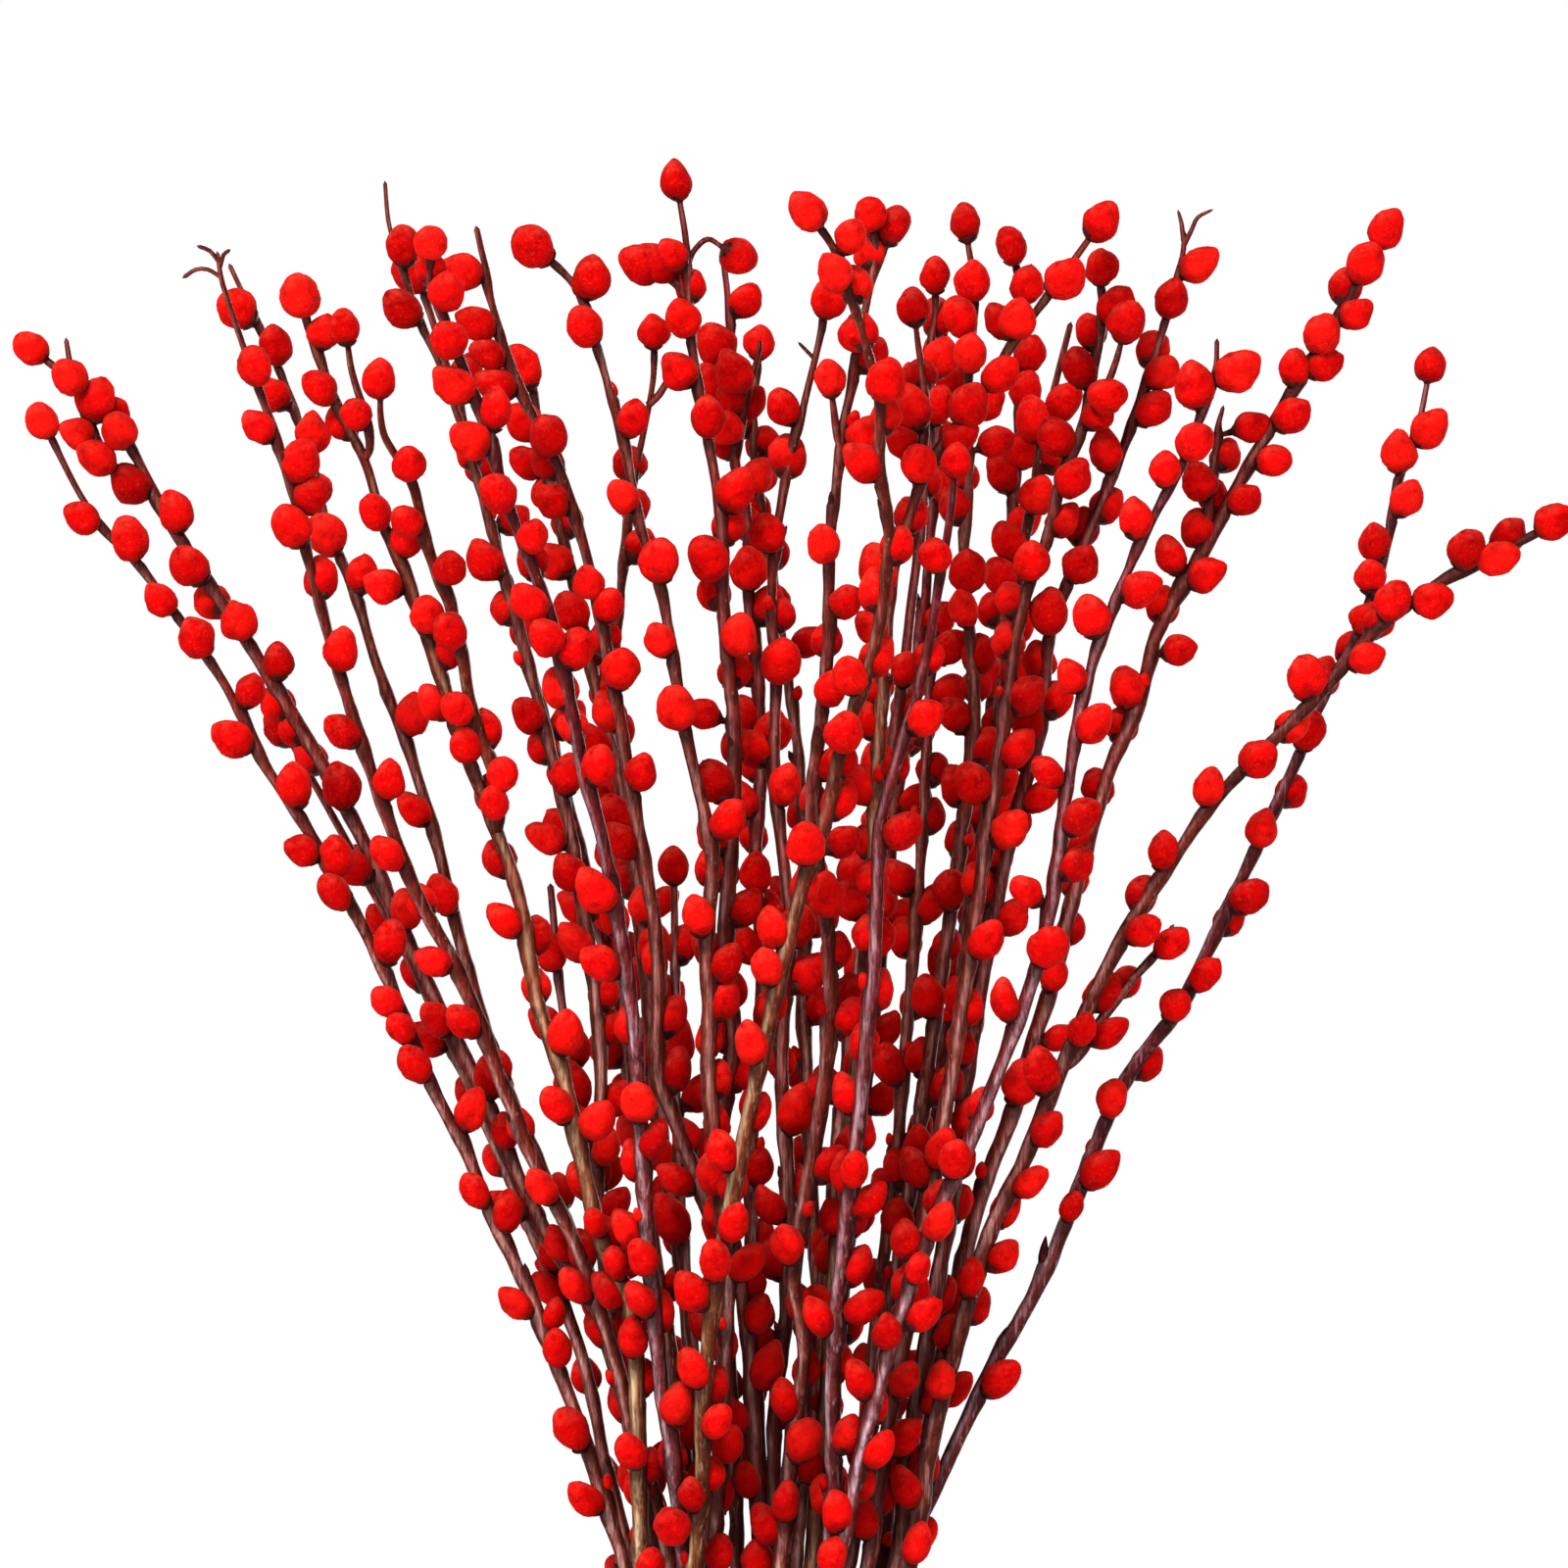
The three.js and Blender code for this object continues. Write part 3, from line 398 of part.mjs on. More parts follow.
    shoots: [
      [7.08,2.60,[[-9.8,-32.3,8.4],[-5.4,-29.1,50.3],[-1.1,-24.2,89.6],[15.6,-14,143.4],[23.8,-3.9,182.3],[32.6,15.5,285.9],[53.6,37.6,359.7],[57.3,44.8,384.5],[62.8,51.1,414.4],[71.3,59.2,479.6],[97.3,81.7,651],[118.8,110.4,834],[124.7,124.2,921],[123.7,129.8,957],[120.6,132.8,976]]],
    ],
    catkins: [
      [0,964.3,261,34,2.6,19.6,15.1],[0,945.7,306,25,2.6,18.9,16.1],[0,929.9,200,38,2.6,20.6,16.1],
      [0,913.2,301,29,2.6,18.4,16.1],[0,896.3,301,28,2.6,18.7,16.1],[0,868.4,299,34,2.6,21,17],
      [0,856.7,205,25,2.6,20.3,16.1],[0,836.3,343,29,2.6,17.7,14.6],[0,814.7,60,24,2.6,19,14.6],[0,795,114,34,2.6,19.5,16.1],
      [0,778.7,69,26,2.6,17.5,14.6],[0,761.4,241,27,2.6,19.6,16.1],[0,732.8,64,24,2.6,18.8,14.6],
      [0,705.6,20,36,2.6,18.6,16.1],[0,680.2,89,27,2.6,18.3,14.6],[0,654.9,68,34,2.6,18.8,14.6],
      [0,627.6,38,26,2.6,20.7,16.1],[0,600,120,28,2.6,16.4,14.6],[0,569.7,115,32,2.6,18.9,14.6],[0,541,118,31,2.6,16.6,14.6],
      [0,510.1,291,27,2.6,20.6,16.1],[0,490.8,103,33,2.6,18.3,14.6],[0,469.1,138,27,2.6,20.4,16.1],
      [0,432.2,104,32,2.6,16.7,14.6],[0,391.8,109,28,2.6,16.8,14.6],
    ] },
  { name: 'branch_28',
    shoots: [
      [7.08,2.86,[[27.9,-20.3,8.4],[29.4,-14.9,23.7],[32.9,-12.1,38.4],[42.2,-14.3,88.5],[50.5,-12.5,128.2],[45.1,-1.5,212.1],[40.4,7.5,261.4],[40.2,12.2,286.1],[58.4,22.9,360.6],[63.2,33.5,425.3],[70.5,36.9,495.6],[75.4,40.5,530.7],[83.2,45.8,575.9],[102.6,54.1,681.6],[120.7,66.3,807.9],[137.7,75.4,899.2],[146.6,79.1,936.4]]],
    ],
    catkins: [
      [0,891,322,32,2.6,20,16.1],[0,878.4,205,27,2.6,23,18.4],[0,867,19,36,2.6,20.7,16.1],[0,846.3,283,28,2.6,19.9,17],
      [0,824.4,193,35,2.6,19.5,16.1],[0,808.9,200,38,2.6,18.7,16.1],[0,788.6,63,32,2.6,17.4,14.6],
      [0,764.8,348,23,2.6,20.1,16.5],[0,741.8,98,25,2.6,17.6,14.6],[0,716.8,43,35,2.6,18,16.1],
      [0,697.8,105,29,2.6,17.2,14.6],[0,677.6,154,24,2.6,19,16.1],[0,653.9,68,34,2.6,20.6,16.1],
      [0,627.9,163,34,2.6,18.5,16.1],[0,603.7,21,34,2.6,19.1,16.1],[0,571.8,92,32,2.6,18.1,14.6],
      [0,539.6,81,31,2.6,18.4,14.6],[0,507.7,116,26,2.6,16.5,14.6],[0,475.4,96,31,2.6,17.8,14.6],
      [0,442.9,49,28,2.6,17.4,14.6],[0,397.6,114,23,2.6,18.6,14.6],
    ] },
  { name: 'branch_29',
    shoots: [
      [7.55,2.90,[[-1.8,16.4,8.4],[1.6,16.8,25],[2.9,15.5,35.2],[3,2.6,106.7],[-1.9,-4.9,167.5],[-1.3,-8.6,192.8],[7.8,-14,263.1],[25.2,-16.6,363],[35.8,-20.8,492.8],[42.4,-27.1,557.7],[50.9,-38.1,642.5],[62.1,-57.7,811.1],[74.4,-63.9,855.6],[80.8,-65.4,870.4],[103.1,-66.9,900],[118.7,-67.4,924.7],[151.5,-68.7,969.9]]],
      [3.60,2.27,[[78.7,-64.9,865.4],[76.2,-63.8,870.4],[77.7,-58.5,895.3],[73.7,-53.1,930.4]]],
    ],
    catkins: [
      [0,969.9,999,0,1.6,20.1,16.5],[0,944.3,283,34,2.6,22.3,18.4],[0,923,225,35,2.6,20.1,16.5],[0,901,287,27,2.6,20.1,16.5],
      [0,884.5,251,25,2.6,21.7,18.4],[0,873.8,333,25,2.6,18.8,14.6],[0,857.8,237,34,2.6,20.1,16.5],
      [0,835.2,86,31,2.6,18,14.6],[0,807.9,198,24,2.6,23,18.4],[0,785.9,200,41,2.6,16.6,14.6],[0,757.3,118,29,2.6,18.1,16.1],
      [0,740.6,137,31,2.6,20.1,16.1],[0,711.5,162,33,2.6,19.8,16.1],[0,686,116,34,2.6,17,14.6],
      [0,658.6,168,32,2.6,18.3,16.1],[0,643.3,300,34,2.6,20.1,16.5],[0,616.1,235,28,2.6,19.6,17],
      [0,583.7,85,32,2.6,17.8,14.6],[0,547.2,281,32,2.6,21.9,17],[0,514.9,237,24,2.6,17.3,14.6],
      [0,495.4,107,35,2.6,18.3,14.6],[0,475.5,227,32,2.6,17,15.1],[0,430.9,80,29,2.6,16.9,14.6],
      [0,387.7,347,42,2.6,17.8,14.6],[1,930.4,999,0,1.6,19,15.1],[1,900.7,94,29,2.6,17.3,14.6],[1,881,218,29,2.6,22.6,18.4],
      [1,871.4,199,44,2.6,17.2,15.1],[0,400,228,21,2.4,19,15],
    ] },
  { name: 'branch_30',
    shoots: [
      [7.32,2.63,[[-7.9,8.6,8.4],[-8.3,3.1,31.6],[-5.6,1.8,41.8],[0.3,2.8,61.7],[2.7,1,71.9],[4.8,-4.3,97.4],[4.2,-8.9,122.9],[5.7,-11.7,138.1],[16.8,-17.8,178.6],[19.1,-20.8,198.8],[25.2,-23.8,243.9],[26,-19.9,273.5],[28.5,-17.1,293.2],[38.1,-17.7,323.2],[51.4,-20.9,363.3],[57,-22.7,403.2],[69.2,-16.2,472.7],[89.5,-25,587.6],[112.6,-28.5,741.9],[120,-26.3,791.7],[124.8,-24.9,811.6],[134.2,-23.8,836.5],[140.1,-23.2,861.5],[148.5,-23,881.4],[152.8,-23.5,896.3],[158.6,-28.3,941],[155.9,-31.8,963.8]]],
      [3.60,2.39,[[149.9,-23.2,886.4],[161.3,-35,905.9],[165,-40.9,915.7],[167.2,-46,923.9]]],
    ],
    catkins: [
      [0,949.4,284,31,2.6,19.6,15.1],[0,932.3,329,32,2.6,20.3,17],[0,918.7,126,28,2.6,17.6,14.6],
      [0,901.6,197,29,2.6,20.1,16.5],[0,884.1,322,26,2.6,17.1,14.6],[0,870.7,199,52,2.6,20.1,16.5],
      [0,853.9,312,33,2.6,19.9,17],[0,835.7,42,27,2.6,18.6,14.6],[0,813.8,249,34,2.6,20.1,16.5],[0,796.9,132,38,2.6,19,16.1],
      [0,778.1,116,31,2.6,19.3,16.1],[0,753.8,6,34,2.6,20.8,16.1],[0,729.6,13,31,2.6,20.8,16.1],
      [0,712.3,195,40,2.6,20.1,16.5],[0,693.6,342,39,2.6,20.1,16.5],[0,667.6,102,26,2.6,18.3,14.6],
      [0,642.1,322,31,2.6,20.1,16.5],[0,610.9,59,24,2.6,16.9,14.6],[0,575.2,88,33,2.6,18.5,14.6],
      [0,546,285,27,2.6,20.1,16.5],[0,513.4,70,24,2.6,18.1,14.6],[0,479.9,276,30,2.6,20.1,16.5],[0,447.7,96,28,2.6,18,14.6],
      [0,414.1,330,32,2.6,20.1,16.5],[0,386,69,24,2.6,17.6,14.6],[1,923.9,999,0,1.6,22,17],[1,895,294,29,2.6,21.9,17],
      [0,440,291,33,2.4,19,15],[0,535,186,33,2.4,19,15],[0,375,228,21,2.4,19,15],
    ] },
  { name: 'branch_31',
    shoots: [
      [8.02,2.37,[[15.7,4.5,8.4],[20.2,-0.5,27.1],[32.7,-6.8,67.7],[36.2,-8.7,102.9],[33.5,-11.8,133.2],[36.5,-13.5,148.3],[44.2,-13.9,183.3],[45.8,-13.2,198.2],[45.3,-13.1,213.1],[42.5,-13,243],[39.1,-10.8,262.8],[40.3,-3.9,297.3],[41.3,-3.9,307.3],[47.7,-6.4,327.4],[64.3,-7.5,362.5],[70.9,-5.2,417.3],[80.1,-6.8,472.3],[91.7,-3.8,542.1],[96.7,-3.5,587.1],[112.6,-6.1,677],[130.8,-8.7,752],[135.4,-12.1,791.9],[140.2,-12.7,806.8],[170.6,-12.8,881.7],[188.8,-15.2,936.5],[195.5,-16,961.4],[196.9,-16.4,974.3]]],
      [2.16,1.41,[[196.6,-16.3,971.6],[195.6,-18.8,979.6],[194.2,-21.3,984.4]]],
      [2.16,1.29,[[196.3,-16.3,968.9],[200.1,-17.9,976.9],[202.8,-19.6,982.3],[208.6,-21.3,985.3]]],
    ],
    catkins: [
      [0,953.7,339,36,2.6,20.1,16.5],[0,935.1,263,30,2.6,20.1,16.5],[0,911.7,104,34,2.6,20.1,16.5],
      [0,903.9,326,32,2.6,18.2,16.1],[0,886.9,336,31,2.6,20.1,16.5],[0,863.1,198,30,2.6,20.1,16.5],
      [0,842.1,62,29,2.6,19.4,16.1],[0,829.5,116,31,2.6,20,16.1],[0,814.3,288,28,2.6,20.1,16.5],
      [0,789.4,248,22,2.6,22.9,18.4],[0,767.7,117,29,2.6,19.7,16.1],[0,751.2,26,23,2.6,19.6,16.1],
      [0,739.3,207,22,2.6,20.1,16.5],[0,725.8,112,24,2.6,17.4,14.6],[0,710.2,348,37,2.6,18.1,14.6],
      [0,695,85,24,2.6,17.3,14.6],[0,678.7,118,25,2.6,19.8,16.1],[0,662.8,162,30,2.6,20.6,16.1],[0,653,17,32,2.6,19,16.1],
      [0,633.6,120,27,2.6,16.7,14.6],[0,613.2,164,32,2.6,18.8,16.1],[0,591.1,231,27,2.6,19.6,15.1],
      [0,559.2,288,25,2.6,18.5,14.6],[0,539.7,73,28,2.6,17.9,14.6],[0,520,67,33,2.6,18.8,16.1],[0,478.2,62,25,2.6,18.4,14.6],
      [0,438.3,72,33,2.6,17.2,14.6],[0,395.9,113,30,2.6,19,14.6],
    ] },
  { name: 'branch_32',
    shoots: [
      [7.55,2.16,[[-36.2,29.4,8.4],[-29.9,16,50.2],[-26,1.7,91.8],[-22.9,-4,112.4],[-8,-15.3,183.4],[34.8,-42.2,354.6],[55.1,-59.2,444.8],[81.3,-67.7,524.3],[97.2,-72.5,559],[127.1,-85.5,638.2],[136.7,-94.2,687.6],[142.9,-102,731.8],[152.1,-109.9,776],[173,-119.5,829.8],[193.2,-126.5,868.9],[207,-133.5,907.8],[207.5,-136,921.4]]],
    ],
    catkins: [
      [0,902,338,41,2.6,23.5,18.4],[0,889.2,206,31,2.6,23.1,18.4],[0,867.9,284,27,2.6,20.1,16.5],
      [0,854.1,217,34,2.6,18,14.6],[0,830.1,194,28,2.6,20.1,16.5],[0,805.2,338,40,2.6,20.1,16.5],[0,786,194,36,2.6,20.4,17],
      [0,762.3,197,40,2.6,17,14.6],[0,741.5,330,29,2.6,20.1,16.5],[0,720.5,194,49,2.6,16.9,14.6],
      [0,698.9,338,34,2.6,20.1,16.1],[0,678.6,13,35,2.6,18.3,16.1],[0,667,197,60,2.6,17,14.6],[0,639.9,286,34,2.6,23.3,18.4],
      [0,612.7,197,31,2.6,19.2,15.1],[0,566.3,99,33,2.6,16.9,14.6],[0,542.2,247,32,2.6,20.1,16.1],
      [0,523.4,99,33,2.6,18.2,14.6],[0,502.4,165,31,2.6,18.9,16.1],[0,483.3,113,27,2.6,17.8,14.6],
      [0,463.7,228,25,2.6,17.3,14.6],[0,428.3,83,27,2.6,17.7,14.6],[0,393.3,75,33,2.6,17.5,14.6],[0,410,354,21,2.4,19,15],
      [0,380,207,21,2.4,19,15],[0,515,291,21,2.4,19,15],[0,440,186,33,2.4,19,15],[0,360,249,21,2.4,19,15],
      [0,495,270,33,2.4,16.5,13.4],[0,475,354,33,2.4,19,15],
    ] },
  { name: 'branch_33',
    shoots: [
      [8.20,3.13,[[-15.7,-14.1,8.4],[-4.9,-11.9,28.4],[4.4,-15.3,53.7],[7.9,-24.6,89.6],[14.4,-24.3,114.5],[22.4,-23.9,164.2],[26.4,-21,183.9],[28.1,-16.7,203.5],[37.8,-2.4,257.2],[43.1,4.7,296.7],[67,13.5,361.2],[70.3,15.6,381.1],[95.4,23.1,501.2],[106.6,24.1,541.3],[117.1,24.9,566.4],[137.4,27.9,631.6],[144.4,29.6,661.7],[162.8,33.9,727],[176,36.6,757.2],[186.4,40.8,792.5],[193.7,42.9,807.6],[211.7,46.4,837.9],[224.8,47.7,863.1],[253.7,46.9,913.5],[267.2,46.8,933.6],[280.2,47.1,958.8],[293.8,47.6,980.6]]],
      [4.08,1.93,[[211.7,46.4,837.9],[210.1,47,842.9],[210.7,48.1,853],[215.3,52.9,888.4],[217.1,54.3,896.9]]],
    ],
    catkins: [
      [0,969.8,266,31,2.6,21.1,17],[0,952.7,268,26,2.6,22.1,17],[0,942.1,124,24,2.6,19.5,16.1],[0,935.3,328,34,2.6,18,15.1],
      [0,920.6,249,32,2.6,20.9,18.4],[0,911.6,339,32,2.6,18.7,14.6],[0,904.3,219,28,2.6,18.5,14.6],
      [0,886.5,321,29,2.6,20.1,17],[0,869.6,343,42,2.6,17.5,15.1],[0,848.5,314,35,2.6,17.2,14.6],
      [0,829.4,164,35,2.6,19,16.1],[0,813.7,340,31,2.6,19.5,15.1],[0,816.4,193,54,2.6,19.6,15.1],
      [0,795.3,116,28,2.6,19.9,16.1],[0,782.9,342,66,3.1,16.9,14.6],[0,754,195,30,2.6,20.1,16.5],
      [0,740.1,113,34,2.6,19.2,16.1],[0,711.3,112,35,2.6,19.5,16.1],[0,689,198,37,2.6,20.1,16.5],
      [0,668.2,102,25,2.6,17.9,14.6],[0,648.5,70,34,2.6,16.5,14.6],[0,624.7,262,25,2.6,17.3,14.6],
      [0,603.3,347,55,2.6,16.7,14.6],[0,572.4,259,23,2.6,22.1,18.4],[0,468.9,281,26,2.6,20.1,16.5],
      [0,435.7,13,32,2.6,18.5,14.6],[0,394.7,74,28,2.6,17.8,14.6],[1,884.7,343,69,7.1,17.3,15.1],
      [1,866.9,57,32,2.6,17.5,14.6],[1,846.1,65,29,2.6,18.6,14.6],[1,851.9,220,33,2.6,19.2,17],
    ] },
  { name: 'branch_34',
    shoots: [
      [7.08,2.60,[[-45,-2.8,8.4],[-17.2,-13.3,118.3],[0.8,-16.6,183.5],[17.5,-17,233.4],[29.6,-13.1,268],[36.2,-13.2,288],[44.9,-12,302.8],[55.2,-5.7,322.4],[68.2,4,361.8],[68.5,4.8,366.7],[79.5,7.3,391.6],[110.2,6.8,456.7],[132.5,6.3,496.8],[165.3,7.1,576.8],[177.4,7.4,596.8],[193.4,7.7,616.9],[199.4,7.9,626.9],[248.8,9.6,732],[261,10.1,762.1],[277.7,10.5,792.1],[290.6,11.2,832.2],[296,11.7,862.3],[305.1,12.1,887.3],[309.3,12.4,907.4]]],
    ],
    catkins: [
      [0,907.4,999,0,1.6,17.1,15.1],[0,877.6,318,31,2.6,21,17],[0,863.6,231,25,2.6,20.4,17],[0,844.4,317,29,2.6,19,14.6],
      [0,822.2,217,29,2.6,18.9,15.1],[0,807.8,238,26,2.6,16.6,14.6],[0,790.3,272,25,2.6,16.6,14.6],
      [0,777.1,85,28,2.6,16.9,14.6],[0,761.7,120,27,2.6,18.9,16.1],[0,736.2,264,23,2.6,20.1,16.5],
      [0,712.4,64,33,2.6,18.3,16.1],[0,692.7,252,28,2.6,18.4,15.1],[0,663.6,323,30,2.6,19.9,17],[0,653.1,62,33,2.6,17,14.6],
      [0,626.9,295,27,2.6,18.6,14.6],[0,611.7,249,34,2.6,17,15.1],[0,587.2,65,31,2.6,18.9,16.1],
      [0,567.9,260,33,2.6,19.3,15.1],[0,536.4,315,29,2.6,21.7,17],[0,441,310,29,2.6,21.6,17],[0,369.2,302,29,2.6,17.1,14.6],
      [0,520,270,21,2.4,14.5,12],
    ] },
  { name: 'branch_35',
    shoots: [
      [8.20,2.89,[[8.7,11.9,8.4],[8.7,-1.9,62.2],[10.9,-5.6,77.6],[18.2,-8.7,112.9],[30.5,-9.5,157.9],[37.6,-17.7,203.5],[37.9,-19.4,218.6],[35,-20.4,263.6],[35.1,-22,288.6],[37.5,-21.4,298.5],[52.8,-19.6,328.3],[70.3,-20.2,363.2],[82.1,-23.2,428.1],[102.8,-24.1,502.9],[110,-23.9,522.8],[122.1,-24.2,547.7],[146.5,-27.6,607.5],[168.2,-29.5,652.3],[203.8,-30.7,707.1],[215.9,-31.2,722],[251.3,-32.6,756.8],[282.6,-34.3,791.6],[294,-34.8,801.5],[316,-35.6,816.4],[370,-37,844.2]]],
      [4.32,2.19,[[140.4,-26.7,592.6],[146.7,-25.4,597.5],[156.7,-21.8,612.4],[171.8,-17.5,632.3],[185.5,-14.7,647.2],[191.6,-12.9,657.4]]],
    ],
    catkins: [
      [0,836.9,254,35,2.6,21.1,17],[0,826.8,154,27,2.6,20.3,16.1],[0,822.8,307,26,2.6,20.1,16.5],
      [0,818.6,194,37,2.6,19.4,17],[0,804.5,316,35,2.6,19.8,17],[0,795.2,221,33,2.6,21.3,17],[0,788,116,27,2.6,18.2,14.6],
      [0,776.1,324,28,2.6,18,15.1],[0,757.8,193,43,2.6,21.6,18.4],[0,742.5,71,24,2.6,18.4,14.6],[0,727.6,280,29,2.6,19.9,17],
      [0,709.8,208,31,2.6,18.2,14.6],[0,679.9,198,27,2.6,18.3,14.6],[0,661.6,118,27,2.6,18.5,16.1],
      [0,650.5,326,32,2.6,17.7,15.1],[0,618.2,67,31,2.6,20.9,16.1],[0,602.7,278,27,2.6,16.5,14.6],
      [0,577.8,215,34,2.6,23.3,18.4],[0,557,302,27,2.6,18.6,15.1],[0,534.7,326,31,2.6,17.9,15.1],
      [0,518.3,68,27,2.6,18.7,14.6],[0,500.1,21,35,2.6,17.5,15.1],[0,474.8,67,33,2.6,18.4,16.1],
      [0,458.9,111,35,2.6,19.8,16.1],[0,429.6,108,27,2.6,16.6,14.6],[0,398,97,23,2.6,20.3,16.1],
      [1,643.4,293,34,2.6,18.2,14.6],[1,624.9,98,32,2.6,17.1,14.6],[1,603.3,331,27,2.6,18.7,14.6],[0,365,270,21,2.4,19,15],
      [0,440,249,33,2.4,19,15],[0,485,249,21,2.4,19,15],[0,390,207,33,2.4,19,15],
    ] },
];

// ---------------------------------------------------------------- helpers
const wasm = await Module();
wasm.setup();
const { Manifold, Mesh } = wasm;

const V = (x, y, z) => new THREE.Vector3(x, y, z);

// a closed mesh with shared vertices merged, as a solid that can be joined to others
function toSolid(geometry) {
  const g = geometry.clone();
  g.deleteAttribute('normal');
  g.deleteAttribute('uv');
  const m = mergeVertices(g, 1e-4);
  return new Manifold(new Mesh({
    numProp: 3,
    vertProperties: new Float32Array(m.getAttribute('position').array),
    triVerts: new Uint32Array(m.index.array),
  }));
}

function toGeometry(manifold) {
  const m = manifold.getMesh();
  const g = new THREE.BufferGeometry();
  g.setAttribute('position', new THREE.BufferAttribute(new Float32Array(m.vertProperties), 3));
  g.setIndex(new THREE.BufferAttribute(new Uint32Array(m.triVerts), 1));
  g.computeVertexNormals();
  return g;
}

// a shoot's centre line, whose parameter runs evenly from point to point, so that each step
// of an extrusion along it falls on one of its points
class ShootLine extends THREE.Curve {
  constructor(points) {
    super();
    this.points = points.map(([x, y, z]) => V(x, y, z));
  }
  getPoint(t, target = new THREE.Vector3()) {
    const n = this.points.length - 1;
    const i = Math.min(Math.floor(t * n + 1e-9), n - 1);
    return target.lerpVectors(this.points[i], this.points[i + 1], t * n - i);
  }
  getPointAt(u, target) { return this.getPoint(u, target); }
  getTangent(t, target = new THREE.Vector3()) {
    const n = this.points.length - 1;
    const i = Math.round(t * n);
    const a = this.points[Math.max(i - 1, 0)], b = this.points[Math.min(i + 1, n)];
    return target.subVectors(b, a).normalize();
  }
  getTangentAt(u, target) { return this.getTangent(u, target); }
}

// diameter of a shoot at the share f of its height
const taper = ([baseDia, endDia], f) => baseDia + (endDia - baseDia) * Math.pow(f, TAPER_POWER);

const heightShare = ([, , pts], z) => {
  const lo = pts[0][2], hi = pts[pts.length - 1][2];
  return Math.min(1, Math.max(0, (z - lo) / Math.max(hi - lo, 1)));
};

// tapering shoot along its points; a main stem is cut level where it stands
function shootSolid(shoot, levelCut) {
  const line = new ShootLine(shoot[2]);
  const steps = line.points.length - 1;
  const section = new THREE.Shape(Array.from({ length: STEM_SIDES }, (_, i) => new THREE.Vector2(
    Math.cos((2 * Math.PI * i) / STEM_SIDES), Math.sin((2 * Math.PI * i) / STEM_SIDES))));
  const g = new THREE.ExtrudeGeometry(section, { steps, extrudePath: line, bevelEnabled: false });
  const pos = g.getAttribute('position');
  const p = new THREE.Vector3();
  for (let i = 0; i < pos.count; i++) {
    p.fromBufferAttribute(pos, i);
    let near = 0;
    line.points.forEach((c, k) => { if (c.distanceTo(p) < line.points[near].distanceTo(p)) near = k; });
    const c = line.points[near];
    const radius = taper(shoot, heightShare(shoot, c.z)) / 2;
    p.sub(c).multiplyScalar(radius).add(c);
    if (levelCut && near === 0) p.z = c.z;
    pos.setXYZ(i, p.x, p.y, p.z);
  }
  return toSolid(g);
}

// point of a shoot at height z, and its direction there
function pointAt(pts, z) {
  const last = pts.length - 1;
  const h = Math.min(Math.max(z, pts[0][2]), pts[last][2]);
  for (let i = 0; i < last; i++) {
    const a = pts[i], b = pts[i + 1];
    if (h <= b[2] || i === last - 1) {
      const f = b[2] - a[2] > 1e-6 ? Math.min(1, Math.max(0, (h - a[2]) / (b[2] - a[2]))) : 1;
      return V(a[0] + (b[0] - a[0]) * f, a[1] + (b[1] - a[1]) * f, a[2] + (b[2] - a[2]) * f);
    }
  }
  return V(...pts[last]);
}

function directionAt(pts, z) {
  const lo = pts[0][2], hi = pts[pts.length - 1][2];
  const h = Math.min(Math.max(z, lo), hi);
  return pointAt(pts, Math.min(hi, h + 8)).sub(pointAt(pts, Math.max(lo, h - 8))).normalize();
}

// the part of v square to t, as a unit vector
const squareTo = (t, v) => v.clone().addScaledVector(t, -v.dot(t)).normalize();

// a catkin with its bud cup: turned about its own axis, widest below the middle
function catkinSolid(shoot, [, z, azimuth, angle, cup, length, width]) {
  const pts = shoot[2];
  let start, axis, side;
  if (azimuth === 999) {
    const end = V(...pts[pts.length - 1]);
    axis = end.clone().sub(V(...pts[pts.length - 2])).normalize();
    start = end.addScaledVector(axis, -TIP_SINK);
    side = squareTo(axis, V(1, 0, 0));
  } else {
    const t = directionAt(pts, z);
    const a = THREE.MathUtils.degToRad(azimuth);
    const h = squareTo(t, V(Math.cos(a), Math.sin(a), 0));
    const off = THREE.MathUtils.degToRad(angle);
    axis = t.clone().multiplyScalar(Math.cos(off)).addScaledVector(h, Math.sin(off));
    start = pointAt(pts, z).addScaledVector(h, CATKIN_SEAT * taper(shoot, heightShare(shoot, z)) / 2);
    side = squareTo(axis, t);
  }
  const g = new THREE.LatheGeometry([
    new THREE.Vector2(0, 0),
    new THREE.Vector2(width / 2, cup + length * CATKIN_WIDEST),
    new THREE.Vector2(0, cup + length),
  ], CATKIN_SIDES, Math.PI / CATKIN_SIDES);
  const across = new THREE.Vector3().crossVectors(axis, side);
  g.applyMatrix4(new THREE.Matrix4().makeBasis(across, axis, side).setPosition(start));
  return toSolid(g);
}

